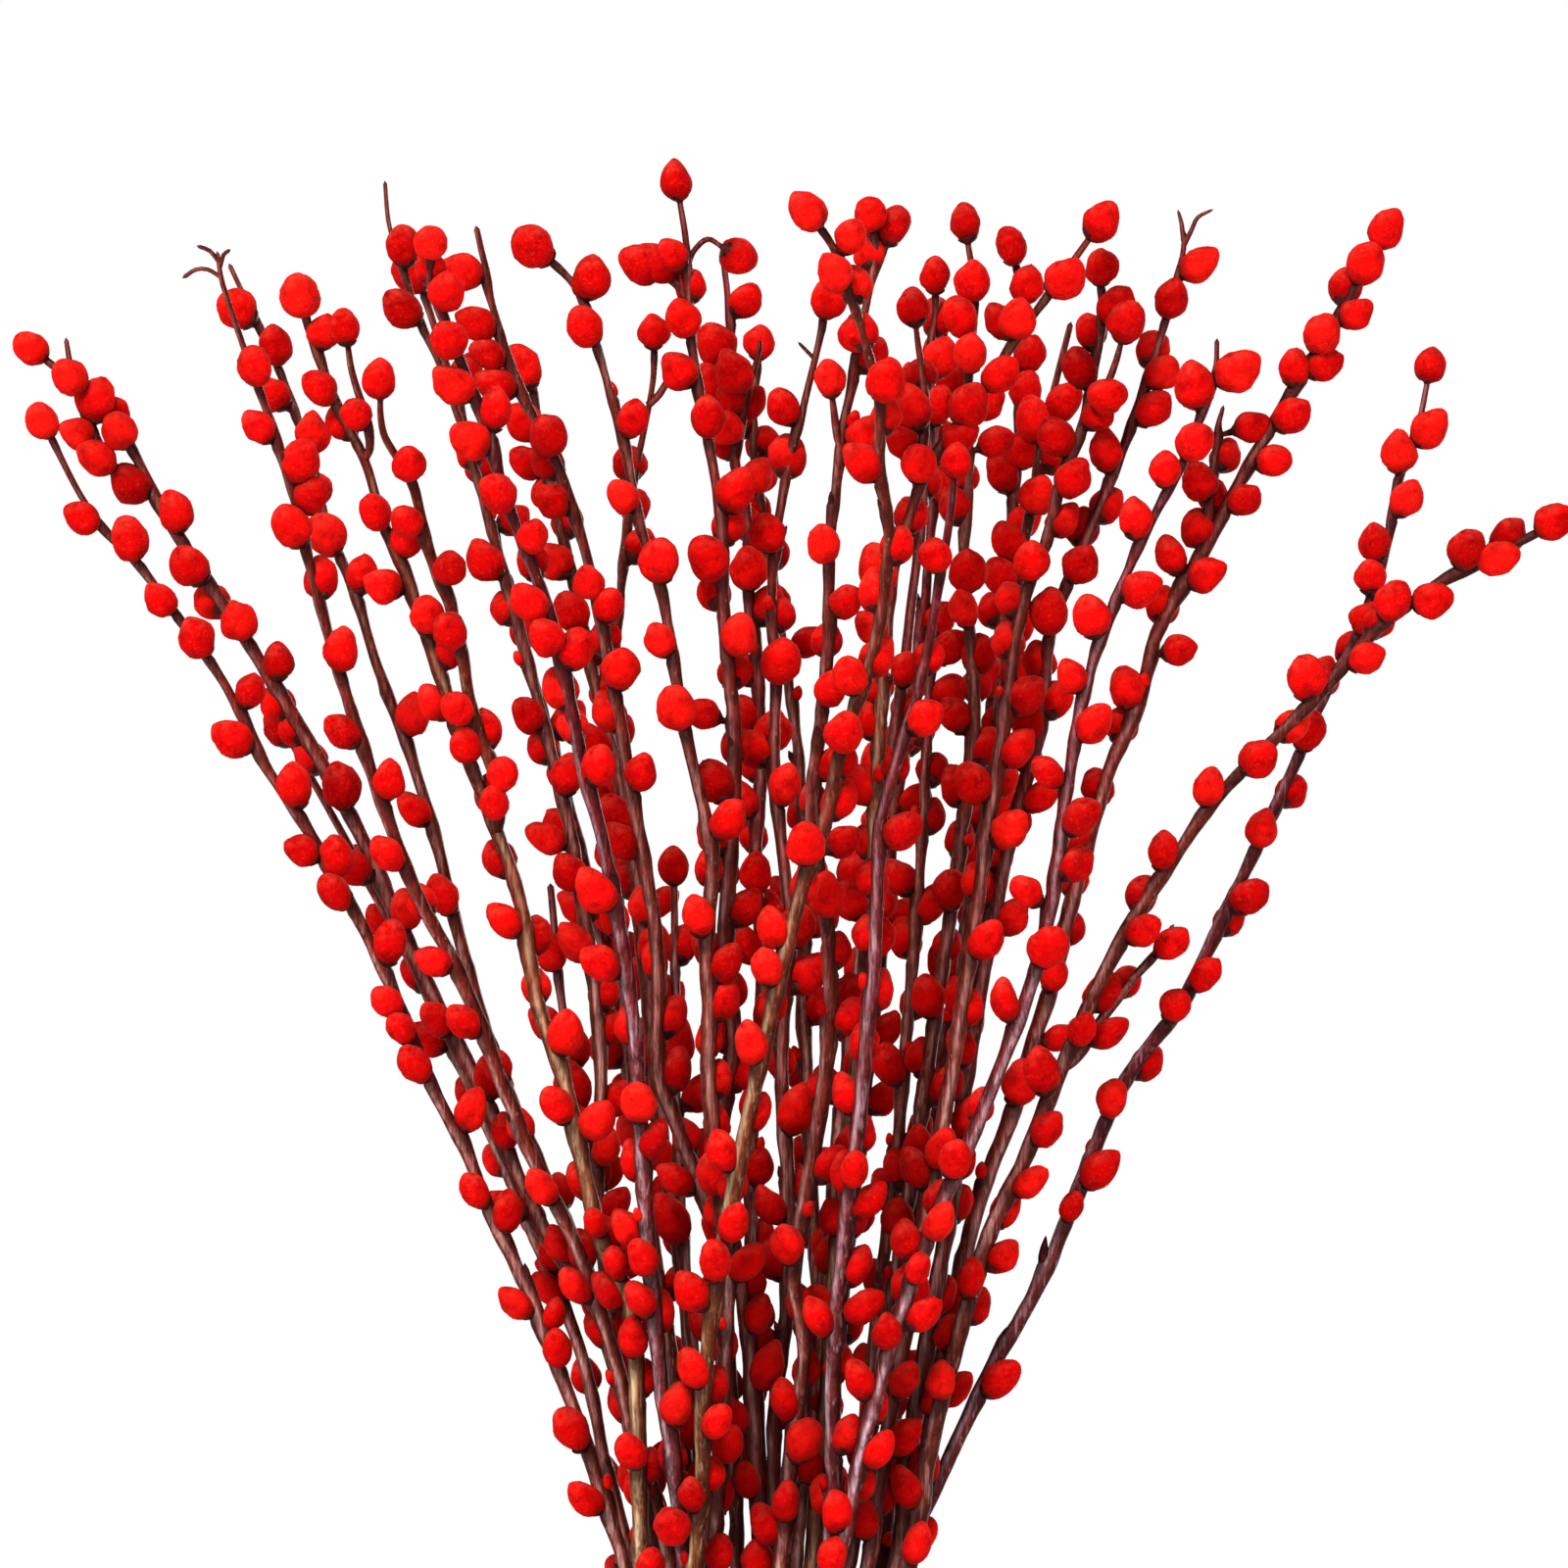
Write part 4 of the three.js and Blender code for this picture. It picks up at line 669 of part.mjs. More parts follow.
// ---------------------------------------------------------------- the vase
// one turned body: up the outside from the centre of the foot, over the lip, down the inside
function vaseGeometry() {
  const outside = [
    [VASE_FOOT_RADIUS, 0], [VASE_FOOT_RADIUS + 3.5, 14], [69.5, 40], [78, 75],
    [VASE_BELLY_RADIUS, VASE_BELLY_HEIGHT], [79.8, 145], [73.5, 180], [64.8, 210],
    [57.2, 236], [VASE_NECK_RADIUS, VASE_NECK_HEIGHT], [52.4, 283],
    [VASE_LIP_RADIUS, VASE_HEIGHT - 2.5],
  ];
  const profile = [new THREE.Vector2(0, 0)];
  profile.push(new THREE.Vector2(VASE_FOOT_RADIUS - 1.5, 0));
  outside[0] = [VASE_FOOT_RADIUS, 1.5];
  outside.forEach(([r, z]) => profile.push(new THREE.Vector2(r, z)));
  profile.push(new THREE.Vector2(VASE_LIP_RADIUS - 0.9, VASE_HEIGHT - 0.5));
  profile.push(new THREE.Vector2(VASE_LIP_RADIUS - VASE_WALL / 2, VASE_HEIGHT));
  profile.push(new THREE.Vector2(VASE_LIP_RADIUS - VASE_WALL + 0.9, VASE_HEIGHT - 0.5));
  for (let i = outside.length - 1; i > 1; i--) {
    profile.push(new THREE.Vector2(outside[i][0] - VASE_WALL, outside[i][1]));
  }
  profile.push(new THREE.Vector2(VASE_FOOT_RADIUS - 1.5, VASE_FLOOR + 6));
  profile.push(new THREE.Vector2(VASE_FOOT_RADIUS - 4, VASE_FLOOR));
  profile.push(new THREE.Vector2(0, VASE_FLOOR));
  const g = new THREE.LatheGeometry(profile, VASE_SEGMENTS);
  g.rotateX(Math.PI / 2);
  return g;
}

// ---------------------------------------------------------------- the object
const group = new THREE.Group();
group.name = 'dried_red_willow_branches_in_vase';

const vase = new THREE.Mesh(vaseGeometry(), new THREE.MeshStandardMaterial({
  color: VASE_COLOUR, roughness: 0.3, metalness: 0 }));
vase.name = 'vase';
group.add(vase);

for (const branch of BRANCHES) {
  const bodies = branch.shoots.map((s, i) => shootSolid(s, i === 0));
  for (const c of branch.catkins) bodies.push(catkinSolid(branch.shoots[c[0]], c));
  const whole = Manifold.union(bodies).asOriginal().simplify(0.2);
  const mesh = new THREE.Mesh(toGeometry(whole), new THREE.MeshStandardMaterial({
    color: CATKIN_COLOUR, roughness: 0.9, metalness: 0 }));
  mesh.name = branch.name;
  group.add(mesh);
}

export default group;
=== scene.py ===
import math

import bpy
import numpy as np
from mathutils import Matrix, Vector


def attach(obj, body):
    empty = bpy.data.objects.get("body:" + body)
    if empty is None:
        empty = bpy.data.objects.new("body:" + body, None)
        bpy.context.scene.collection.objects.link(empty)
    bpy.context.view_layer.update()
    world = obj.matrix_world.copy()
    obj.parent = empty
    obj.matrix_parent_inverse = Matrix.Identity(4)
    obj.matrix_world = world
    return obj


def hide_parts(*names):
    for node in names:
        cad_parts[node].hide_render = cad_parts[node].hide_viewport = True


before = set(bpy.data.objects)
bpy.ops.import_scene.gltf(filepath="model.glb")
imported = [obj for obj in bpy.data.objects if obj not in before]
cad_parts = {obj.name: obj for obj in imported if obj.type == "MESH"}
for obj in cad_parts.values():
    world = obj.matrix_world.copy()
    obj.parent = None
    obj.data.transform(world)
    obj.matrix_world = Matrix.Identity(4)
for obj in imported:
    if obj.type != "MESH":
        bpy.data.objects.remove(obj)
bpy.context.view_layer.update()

# ------------------------------------------------------------------ dimensions (mm), as in the CAD
MM = 0.001
TAPER_POWER = 3.0
CATKIN_SEAT = 0.6
TIP_SINK = 1.0

# ------------------------------------------------------------------ the branches
# shoots: [diameter at the base, diameter at the end, [[x, y, z], ...] from base to end]
# catkins: [shoot, height z of its node, azimuth in degrees (0 = +X, 90 = +Y, 999 = on the
#   end of the shoot), angle off the shoot, length of its bud cup, length, width]
BRANCHES = [
    {"name": "branch_01",
     "shoots": [
         [6.61, 2.37, [[44.6, 9.9, 8.4], [27.8, 23.3, 74.5], [14.3, 22.9, 104.6], [0.8, 19.4, 140.1], [-17, 11.9, 216],
             [-60.2, -8, 362.5], [-62, -9.2, 372.5], [-85, -14.9, 442.7], [-104.3, -17.9, 492.7], [-121.2, -19.8, 527.6],
             [-132.8, -21.4, 557.6], [-146.3, -22.8, 582.5], [-176.5, -26.4, 652.3], [-207.5, -29.3, 707.1], [-223.6, -30.7, 732],
             [-240.7, -32.5, 766.8], [-280, -35.4, 821.4], [-302.2, -36.7, 846.2], [-325.2, -39, 889.3]]],
     ],
     "catkins": [
         [0, 879.3, 276, 24, 2.6, 18.3, 14.6], [0, 840.5, 221, 32, 2.6, 18.3, 14.6], [0, 823.1, 314, 31, 2.6, 21.6, 17],
         [0, 799.7, 259, 24, 2.6, 17.4, 14.6], [0, 779.8, 297, 32, 2.6, 20.6, 17], [0, 754.8, 344, 44, 2.6, 16.9, 14.6],
         [0, 737.8, 204, 32, 2.6, 20.7, 17], [0, 708.7, 335, 25, 2.6, 21.8, 17], [0, 687.6, 209, 33, 2.6, 16.9, 14.6],
         [0, 678, 318, 32, 2.6, 19.9, 16.1], [0, 665.8, 253, 34, 2.6, 20.1, 16.5], [0, 636.9, 348, 35, 2.6, 20.1, 16.5],
         [0, 615.8, 239, 31, 2.6, 17.4, 14.6], [0, 603.5, 252, 32, 2.6, 16.9, 14.6], [0, 586.4, 246, 32, 2.6, 20.2, 16.1],
         [0, 561.2, 344, 46, 2.6, 20.1, 16.5], [0, 528, 249, 23, 2.6, 17.5, 14.6], [0, 478.4, 209, 30, 2.6, 18.6, 14.6],
         [0, 454.6, 298, 30, 2.6, 18, 15.1], [0, 416.5, 247, 28, 2.6, 23, 18.4], [0, 388.4, 216, 34, 2.6, 19.2, 15.1],
         [0, 515, 333, 33, 2.4, 19, 15], [0, 470, 354, 33, 2.4, 14.5, 12],
     ]},
    {"name": "branch_02",
     "shoots": [
         [8.2, 3.39, [[44.4, -0.7, 8.4], [39.6, 9, 56], [34.1, 15.9, 100.4], [24.1, 20.9, 140], [12.1, 23, 174.9],
             [5, 22.1, 195.1], [-15.3, 14.6, 255.9], [-35.4, -2.9, 347.2], [-40.1, -6.6, 372.4], [-54.3, -7.9, 422.4],
             [-72.5, -6.6, 482.3], [-78.1, -5.8, 492.2], [-93.3, -4.2, 512.1], [-101.8, -3.1, 527.1], [-128.3, -0.7, 587],
             [-158.2, -0.1, 647], [-175, 0.2, 687], [-196, 0.8, 727], [-225.9, 3.6, 777], [-268.7, 12.9, 842.3],
             [-277.1, 13.9, 857.3], [-283.9, 13.3, 872.3], [-292.6, 10.9, 887.3], [-300.4, 8.4, 897.2], [-325.1, 1.9, 917.5]]],
         [3.6, 2.17, [[-277.1, 13.9, 857.3], [-288, 13.1, 862.3], [-293.1, 12.4, 867.3], [-300.9, 11, 877.3], [-303.6, 10.4, 882.3],
             [-311.2, 9.8, 902.3], [-315.2, 11, 917.4], [-316.9, 12.3, 926.8]]],
     ],
     "catkins": [
         [0, 917.5, 999, 0, 1.6, 18, 15.1], [0, 903.8, 278, 35, 2.6, 20.1, 16.5], [0, 884.8, 74, 40, 2.6, 16.8, 14.6],
         [0, 877.4, 261, 34, 2.6, 20.1, 16.5], [0, 854.3, 182, 24, 2.6, 21, 18.4], [0, 835.4, 319, 24, 2.6, 20.1, 16.5],
         [0, 814.4, 243, 30, 2.6, 21.2, 18.4], [0, 801.8, 115, 32, 2.6, 19.3, 16.1], [0, 787.4, 291, 34, 2.6, 19.6, 17],
         [0, 767, 339, 32, 2.6, 17.5, 15.1], [0, 752.9, 117, 29, 2.6, 18.2, 16.1], [0, 741.2, 118, 27, 2.6, 16.5, 14.6],
         [0, 728, 115, 32, 2.6, 18.9, 16.1], [0, 709.2, 293, 24, 2.6, 22.1, 18.4], [0, 678.3, 199, 37, 2.6, 22.1, 17],
         [0, 653, 321, 26, 2.6, 18.8, 14.6], [0, 630.7, 87, 26, 2.6, 17.4, 14.6], [0, 606, 241, 23, 2.6, 18.4, 16.1],
         [0, 574.7, 333, 24, 2.6, 20.6, 17], [0, 553.6, 301, 33, 2.6, 16.9, 14.6], [0, 524.5, 200, 40, 2.6, 20.1, 16.5],
         [0, 501.2, 302, 26, 2.6, 18.2, 14.6], [0, 474.1, 90, 26, 2.6, 17.8, 14.6], [0, 441.8, 70, 23, 2.6, 17.8, 14.6],
         [0, 408.1, 243, 28, 2.6, 17.8, 14.6], [0, 382.6, 97, 25, 2.6, 18.5, 14.6], [1, 902.6, 104, 28, 2.6, 17.2, 14.6],
         [1, 886.3, 343, 33, 2.6, 21.4, 18.4], [1, 879.4, 207, 34, 2.6, 16.9, 14.6], [1, 867.3, 241, 27, 2.6, 20.6, 16.1],
     ]},
    {"name": "branch_03",
     "shoots": [
         [7.08, 2.08, [[38, -20.4, 8.4], [33.4, -21.1, 34.4], [30.1, -19, 49.1], [26.5, -11.9, 78.3], [21.2, -0.1, 112],
             [14.3, 0.6, 136.9], [1.2, 11.6, 181], [-16.5, 21.7, 235.2], [-33, 28.2, 320.1], [-48.4, 38.4, 394.9],
             [-60.1, 43.6, 440], [-77.2, 47.1, 495.2], [-106.4, 49.8, 560.7], [-122.2, 53.1, 600.9], [-139.5, 59.5, 661.4],
             [-147.9, 63.4, 696.7], [-161.8, 68.6, 742.2], [-173.9, 72.1, 772.6], [-186.6, 76.7, 813.1], [-199.6, 80.2, 843.6],
             [-206.8, 83.6, 874.1], [-223.6, 88.8, 919.9], [-244.6, 93.9, 964.3]]],
     ],
     "catkins": [
         [0, 935.9, 215, 30, 2.6, 20.9, 18.4], [0, 916, 297, 34, 2.6, 19.6, 16.1], [0, 896.7, 201, 28, 2.6, 18.1, 16.1],
         [0, 874.1, 308, 30, 2.6, 20.1, 16.5], [0, 852.3, 97, 30, 2.6, 16.6, 14.6], [0, 827.9, 250, 25, 2.6, 21.3, 18.4],
         [0, 808.2, 346, 25, 2.6, 18.7, 14.6], [0, 742.6, 330, 32, 2.6, 20.1, 16.5], [0, 702.5, 217, 30, 2.6, 18.3, 14.6],
         [0, 660.5, 251, 29, 2.6, 20.1, 16.5], [0, 577.6, 112, 33, 2.6, 18, 14.6], [0, 522.9, 63, 31, 2.6, 18.2, 14.6],
         [0, 500, 195, 63, 2.6, 17.5, 14.6], [0, 463.5, 106, 32, 2.6, 17.4, 14.6], [0, 430.6, 80, 29, 2.6, 17.4, 14.6],
         [0, 397.8, 18, 32, 2.6, 18.4, 14.6],
     ]},
    {"name": "branch_04",
     "shoots": [
         [7.32, 2.13, [[14.5, 18.8, 8.4], [7.9, 21.7, 39.5], [-13.9, 18.7, 105.1], [-23.8, 18.2, 145.3], [-25.6, 10.7, 196.1],
             [-38.1, -7.7, 297.5], [-46.1, -22.2, 368.3], [-52.7, -27.8, 408.5], [-63.4, -31.4, 458.4], [-79.6, -34.6, 508.2],
             [-105.8, -39.1, 563], [-132.7, -45.4, 632.7], [-151, -48.7, 667.5], [-159.6, -50.6, 687.3], [-186.4, -58.1, 766.6],
             [-202.9, -63.7, 825.9], [-209.3, -66.5, 855.5], [-240.6, -75.5, 949.1], [-243.1, -76.8, 962.9]]],
         [1.92, 1.73, [[-242.4, -76.4, 959.4], [-246.7, -78.9, 964.6], [-251.1, -81.4, 966.3]]],
         [1.92, 1.91, [[-241.1, -75.8, 952.3], [-247.7, -77.4, 956.2], [-252.9, -79.1, 956.1], [-257.7, -80.8, 953]]],
         [1.92, 1.62, [[-242.1, -76.3, 957.6], [-240.5, -78.8, 962.8], [-238.2, -81.3, 964.5]]],
     ],
     "catkins": [
         [0, 902.4, 287, 31, 2.6, 20.1, 16.5], [0, 877.2, 208, 27, 2.6, 18.3, 14.6], [0, 857.2, 339, 32, 2.6, 21.2, 18.4],
         [0, 843.5, 340, 40, 2.6, 18.5, 16.1], [0, 829.5, 239, 27, 2.6, 22.6, 18.4], [0, 804.4, 60, 25, 2.6, 20.7, 16.1],
         [0, 772.6, 314, 24, 2.6, 20.1, 16.5], [0, 739.3, 200, 30, 2.6, 19, 14.6], [0, 713.2, 330, 26, 2.6, 18.5, 14.6],
         [0, 684, 226, 31, 2.6, 19.1, 15.1], [0, 660.3, 85, 34, 2.6, 18.1, 14.6], [0, 637.6, 202, 37, 2.6, 18.1, 15.1],
         [0, 607.6, 223, 33, 2.6, 18.8, 15.1], [0, 583.4, 84, 31, 2.6, 17.3, 14.6], [0, 556.8, 82, 30, 2.6, 17, 14.6],
         [0, 530.2, 250, 24, 2.6, 19, 15.1], [0, 498.1, 79, 23, 2.6, 18.3, 14.6], [0, 463.4, 110, 29, 2.6, 18.9, 14.6],
         [0, 428.9, 93, 32, 2.6, 17.5, 14.6], [0, 388.9, 104, 32, 2.6, 17.8, 14.6], [0, 485, 207, 21, 2.4, 19, 15],
     ]},
    {"name": "branch_05",
     "shoots": [
         [6.84, 2.88, [[45.5, -18.1, 8.4], [35.5, 0.8, 56.9], [25.7, 6.2, 81.3], [20.5, 5.8, 96.4], [17.4, 7.3, 106.3],
             [11.6, 13.3, 125.7], [6.5, 19.2, 150.2], [0.4, 20.6, 170.1], [-24.6, 24.1, 235], [-37.3, 24, 295.3],
             [-68, 34.4, 405.2], [-75.2, 34.1, 440.4], [-82.1, 33.2, 465.6], [-93.6, 33.3, 495.7], [-110.8, 35.4, 535.9],
             [-149.2, 42.7, 621.3], [-177.9, 47.7, 676.6], [-213.5, 53.4, 740.3]]],
     ],
     "catkins": [
         [0, 740.3, 999, 0, 1.6, 21.2, 18.4], [0, 680.1, 84, 35, 2.6, 16.7, 14.6], [0, 651.9, 121, 26, 2.6, 18.9, 14.6],
         [0, 625.4, 98, 25, 2.6, 19, 14.6], [0, 599.8, 200, 44, 2.6, 20.1, 16.5], [0, 569.8, 102, 23, 2.6, 18.8, 14.6],
         [0, 541.2, 111, 30, 2.6, 17.2, 14.6], [0, 512.1, 68, 26, 2.6, 16.6, 14.6], [0, 482.6, 239, 34, 2.6, 17.6, 14.6],
         [0, 439.5, 96, 33, 2.6, 18.4, 14.6], [0, 395.6, 93, 31, 2.6, 18.4, 14.6], [0, 495, 312, 21, 2.4, 19, 15],
         [0, 350, 228, 33, 2.4, 19, 15],
     ]},
    {"name": "branch_06",
     "shoots": [
         [7.55, 2.92, [[-41.8, 22.2, 8.4], [-45.6, 16.5, 70.2], [-47.9, 8.6, 136.2], [-45.4, 0.4, 192], [-38.7, -14, 283],
             [-40, -17.2, 298.2], [-51.3, -34.6, 364.1], [-52.3, -42.1, 394.3], [-52.7, -47.1, 429.3], [-56.2, -49.8, 484],
             [-70.6, -52.7, 518.8], [-86.6, -60.2, 588.4], [-98.4, -63, 623.1], [-105.7, -64.2, 667.6], [-111.7, -65.2, 687.4],
             [-119.1, -68.6, 707.2], [-134.3, -80.3, 746.7], [-141.8, -85.8, 771.3], [-158.9, -93.1, 820.5], [-167.4, -96, 840.1],
             [-176.1, -100.1, 869.5], [-188.2, -103.3, 894], [-198.8, -107.2, 923.4], [-201.7, -108.5, 933.1], [-203.4, -110.8, 949.6]]],
         [3.6, 2.45, [[-176.1, -100.1, 869.5], [-173.6, -102.1, 874.4], [-174.2, -106, 884.1], [-180.9, -115.7, 908.4], [-182.6, -120.2, 919.7]]],
         [5.52, 2.58, [[-117.2, -67.8, 702.2], [-116.3, -75.3, 722], [-119, -79.2, 731.9], [-126.5, -86.6, 751.6], [-129.6, -92, 766.3],
             [-131.6, -97.5, 781], [-134.5, -101.3, 790.8], [-137.4, -106.9, 805.5], [-141.8, -110.4, 815.3], [-148.6, -117.2, 834.8],
             [-154, -124.7, 859.1], [-165.4, -130, 878.6], [-167.5, -132.5, 888.3], [-167.7, -134.4, 895.4]]],
     ],
     "catkins": [
         [0, 933.3, 268, 33, 2.6, 21.7, 18.4], [0, 916.6, 334, 33, 2.6, 17.4, 14.6], [0, 894, 225, 28, 2.6, 19.1, 15.1],
         [0, 876.8, 105, 23, 2.6, 18.3, 14.6], [0, 838.7, 261, 33, 2.6, 18, 15.1], [0, 823, 344, 36, 2.6, 18.5, 15.1],
         [0, 809.7, 192, 52, 2.6, 18.7, 15.1], [0, 788.4, 298, 28, 2.6, 19.7, 16.1], [0, 772.4, 16, 36, 2.6, 18.5, 16.1],
         [0, 751, 144, 28, 2.6, 18.8, 16.1], [0, 732.1, 286, 27, 2.6, 19, 14.6], [0, 706.7, 66, 27, 2.6, 17.6, 14.6],
         [0, 679.3, 113, 34, 2.6, 19.7, 16.1], [0, 652.7, 192, 37, 2.6, 18.7, 14.6], [0, 642.9, 67, 34, 2.6, 18.8, 16.1],
         [0, 620.6, 81, 31, 2.6, 17.7, 14.6], [0, 597.2, 326, 33, 2.6, 20.9, 18.4], [0, 567.8, 222, 29, 2.6, 18.9, 16.1],
         [0, 559, 341, 46, 2.6, 20.1, 16.5], [0, 531.6, 109, 33, 2.6, 18.6, 14.6], [0, 506.2, 72, 32, 2.6, 17.7, 14.6],
         [0, 482, 162, 30, 2.6, 19.3, 16.1], [0, 440.4, 62, 25, 2.6, 17.8, 14.6], [0, 399.5, 53, 23, 2.6, 17.2, 14.6],
         [1, 919.7, 999, 0, 1.6, 18.2, 14.6], [1, 882.7, 230, 27, 2.6, 17.1, 14.6], [2, 895.4, 999, 0, 1.6, 18.9, 14.6],
         [2, 859.2, 287, 34, 2.6, 18.5, 15.1], [2, 835.3, 222, 33, 2.6, 17.2, 14.6], [2, 811.6, 320, 32, 2.6, 17.2, 15.1],
         [2, 785.3, 251, 33, 2.6, 20.1, 16.5], [2, 750.7, 227, 32, 2.6, 19, 14.6], [2, 735, 69, 26, 2.6, 19, 14.6],
         [2, 719.3, 292, 26, 2.6, 18.4, 15.1], [2, 708.2, 112, 36, 2.6, 16.6, 14.6], [2, 708.2, 262, 32, 2.6, 18.3, 14.6],
         [0, 460, 270, 21, 2.4, 19, 15], [0, 495, 291, 21, 2.4, 16.5, 13.4], [0, 515, 270, 21, 2.4, 14.5, 12],
         [0, 355, 312, 21, 2.4, 19, 15], [0, 410, 249, 33, 2.4, 19, 15],
     ]},
    {"name": "branch_07",
     "shoots": [
         [6.84, 1.83, [[9.7, -6.2, 8.4], [2.8, -4.7, 42.5], [-0.6, -5.6, 57.6], [-3.5, -4.7, 67.5], [-5.5, 3.5, 96.6],
             [-5.1, 12.3, 130.8], [-7.6, 14.1, 145.7], [-18.6, 16.9, 190.5], [-25.3, 16.5, 225.6], [-32.4, 14.3, 291],
             [-45.4, 12.4, 361.3], [-53.9, 8.6, 421.6], [-70.7, 12.1, 511.6], [-72.6, 13, 536.6], [-70.8, 16.1, 581.6],
             [-72.1, 18, 611.7], [-77.1, 20.2, 651.8], [-86.7, 22.7, 706.9], [-124.6, 28.7, 852.6], [-144, 31.2, 913],
             [-154.7, 32.2, 938.1], [-166.5, 33.6, 973.4], [-169.1, 34.1, 983.5], [-170.7, 34.7, 1000]]],
     ],
     "catkins": [
         [0, 958.8, 311, 24, 2.6, 20.1, 16.5], [0, 934.3, 228, 33, 2.6, 21.3, 17], [0, 866.6, 85, 24, 2.6, 17.6, 14.6],
         [0, 816.5, 212, 26, 2.6, 21.1, 17], [0, 795.1, 114, 28, 2.6, 18.1, 14.6], [0, 745.8, 211, 26, 2.6, 18.1, 14.6],
         [0, 730.9, 109, 29, 2.6, 17.7, 14.6], [0, 714.6, 329, 25, 2.6, 19.8, 16.1], [0, 692.8, 192, 53, 2.6, 18.9, 14.6],
         [0, 671.9, 241, 26, 2.6, 18.9, 16.1], [0, 657.1, 62, 28, 2.6, 16.6, 14.6], [0, 639.8, 221, 32, 2.6, 20.1, 16.5],
         [0, 615.7, 60, 25, 2.6, 18.6, 16.1], [0, 600.8, 53, 32, 2.6, 17.3, 14.6], [0, 567.7, 47, 34, 2.6, 19.4, 16.1],
         [0, 553.6, 168, 30, 2.6, 19.9, 16.1], [0, 535.5, 87, 32, 2.6, 18.4, 14.6], [0, 516.4, 344, 32, 2.6, 19, 16.1],
         [0, 492.3, 342, 41, 2.6, 22.1, 18.4], [0, 463.6, 341, 28, 2.6, 21.1, 18.4], [0, 428.6, 125, 25, 2.6, 18.1, 14.6],
         [0, 391.7, 50, 25, 2.6, 16.8, 14.6], [0, 545, 291, 33, 2.4, 19, 15],
     ]},
    {"name": "branch_08",
     "shoots": [
         [6.84, 2.86, [[23.3, -40.4, 8.4], [27.7, -20.3, 79.2], [28.3, -14.6, 93.5], [27.7, -3, 122.3], [27.6, 3, 146.7],
             [23.3, 13.3, 180.8], [-9.4, 38.7, 304.3], [-23.1, 53, 358.8], [-30.9, 66.4, 408.6], [-45.1, 74.6, 489.1],
             [-55.9, 93.4, 574.7], [-66.3, 104.2, 630.4], [-97, 123.5, 747.5], [-113.6, 134, 803.8], [-135.3, 150.2, 886],
             [-159.9, 166, 965.8]]],
     ],
     "catkins": [
         [0, 953.1, 255, 32, 2.6, 21.7, 18.4], [0, 905, 19, 37, 2.6, 20.4, 16.1], [0, 862, 59, 28, 2.6, 18.5, 16.1],
         [0, 841.2, 16, 67, 2.6, 17.6, 14.6], [0, 786.8, 67, 35, 2.6, 20.7, 16.1], [0, 742.4, 18, 49, 2.6, 21.3, 17],
         [0, 718.6, 81, 27, 2.6, 17.1, 14.6], [0, 694.8, 222, 33, 2.6, 18, 16.1], [0, 657.2, 192, 33, 2.6, 18.8, 16.1],
         [0, 635.8, 44, 33, 2.6, 18.9, 16.1], [0, 612.5, 83, 23, 2.6, 18.3, 14.6], [0, 590.4, 162, 34, 2.6, 18.7, 16.1],
         [0, 571.3, 113, 31, 2.6, 18.7, 14.6], [0, 551.4, 118, 26, 2.6, 19.6, 16.1], [0, 517.3, 82, 32, 2.6, 18.7, 14.6],
         [0, 447.8, 70, 28, 2.6, 17, 14.6], [0, 411.8, 32, 24, 2.6, 19, 16.1], [0, 382.3, 72, 28, 2.6, 17.5, 14.6],
     ]},
    {"name": "branch_09",
     "shoots": [
         [7.08, 2.94, [[11.6, 36.5, 8.4], [-3.4, 23.9, 94.5], [-16.3, 13.6, 145.7], [-20.9, 7.3, 171.3], [-22.6, 1.2, 196.9],
             [-23, -18.5, 278.4], [-29.1, -33, 339.1], [-35, -50.7, 399.8], [-37.6, -54.3, 419.8], [-43.1, -58.1, 459.6],
             [-46, -62.4, 489.5], [-49.4, -68.8, 524.3], [-53.3, -83.1, 598.7], [-57.4, -89.6, 633.4], [-68.4, -101.7, 697.4],
             [-76.5, -107.3, 726.9], [-85.4, -115.6, 771.1], [-94.3, -122.1, 805.3], [-110.7, -130.5, 849.2], [-120.4, -137, 883.3],
             [-144.5, -149, 946.3], [-144.7, -150.9, 956], [-142.1, -153.3, 968.6]]],
     ],
     "catkins": [
         [0, 957.4, 267, 35, 2.6, 17.2, 14.6], [0, 943.8, 79, 25, 2.6, 16.5, 14.6], [0, 932.8, 335, 29, 2.6, 18.5, 16.1],
         [0, 913.6, 257, 28, 2.6, 20.1, 16.5], [0, 894.1, 203, 26, 2.6, 21.1, 18.4], [0, 877.8, 25, 25, 2.6, 20.3, 16.1],
         [0, 870.5, 197, 37, 2.6, 20.1, 16.5], [0, 845.5, 250, 33, 2.6, 20.1, 16.5], [0, 825, 320, 34, 2.6, 16.8, 14.6],
         [0, 812, 86, 31, 2.6, 18.8, 14.6], [0, 797.3, 216, 31, 2.6, 20.1, 16.5], [0, 781.1, 245, 32, 2.6, 19.7, 16.1],
         [0, 772.2, 346, 34, 2.6, 20.1, 16.5], [0, 754.1, 119, 24, 2.6, 20.6, 16.1], [0, 738.5, 99, 23, 2.6, 17.2, 14.6],
         [0, 720.2, 331, 34, 2.6, 20.1, 16.5], [0, 665.3, 228, 30, 2.6, 23.9, 18.4], [0, 650.8, 95, 31, 2.6, 18.2, 14.6],
         [0, 635, 195, 46, 2.6, 20.1, 16.5], [0, 601.6, 106, 27, 2.6, 18, 14.6], [0, 568, 266, 23, 2.6, 20.6, 17],
         [0, 540.4, 116, 31, 2.6, 18.3, 14.6], [0, 510.8, 157, 33, 2.6, 19.2, 16.1], [0, 470.3, 68, 27, 2.6, 18.4, 14.6],
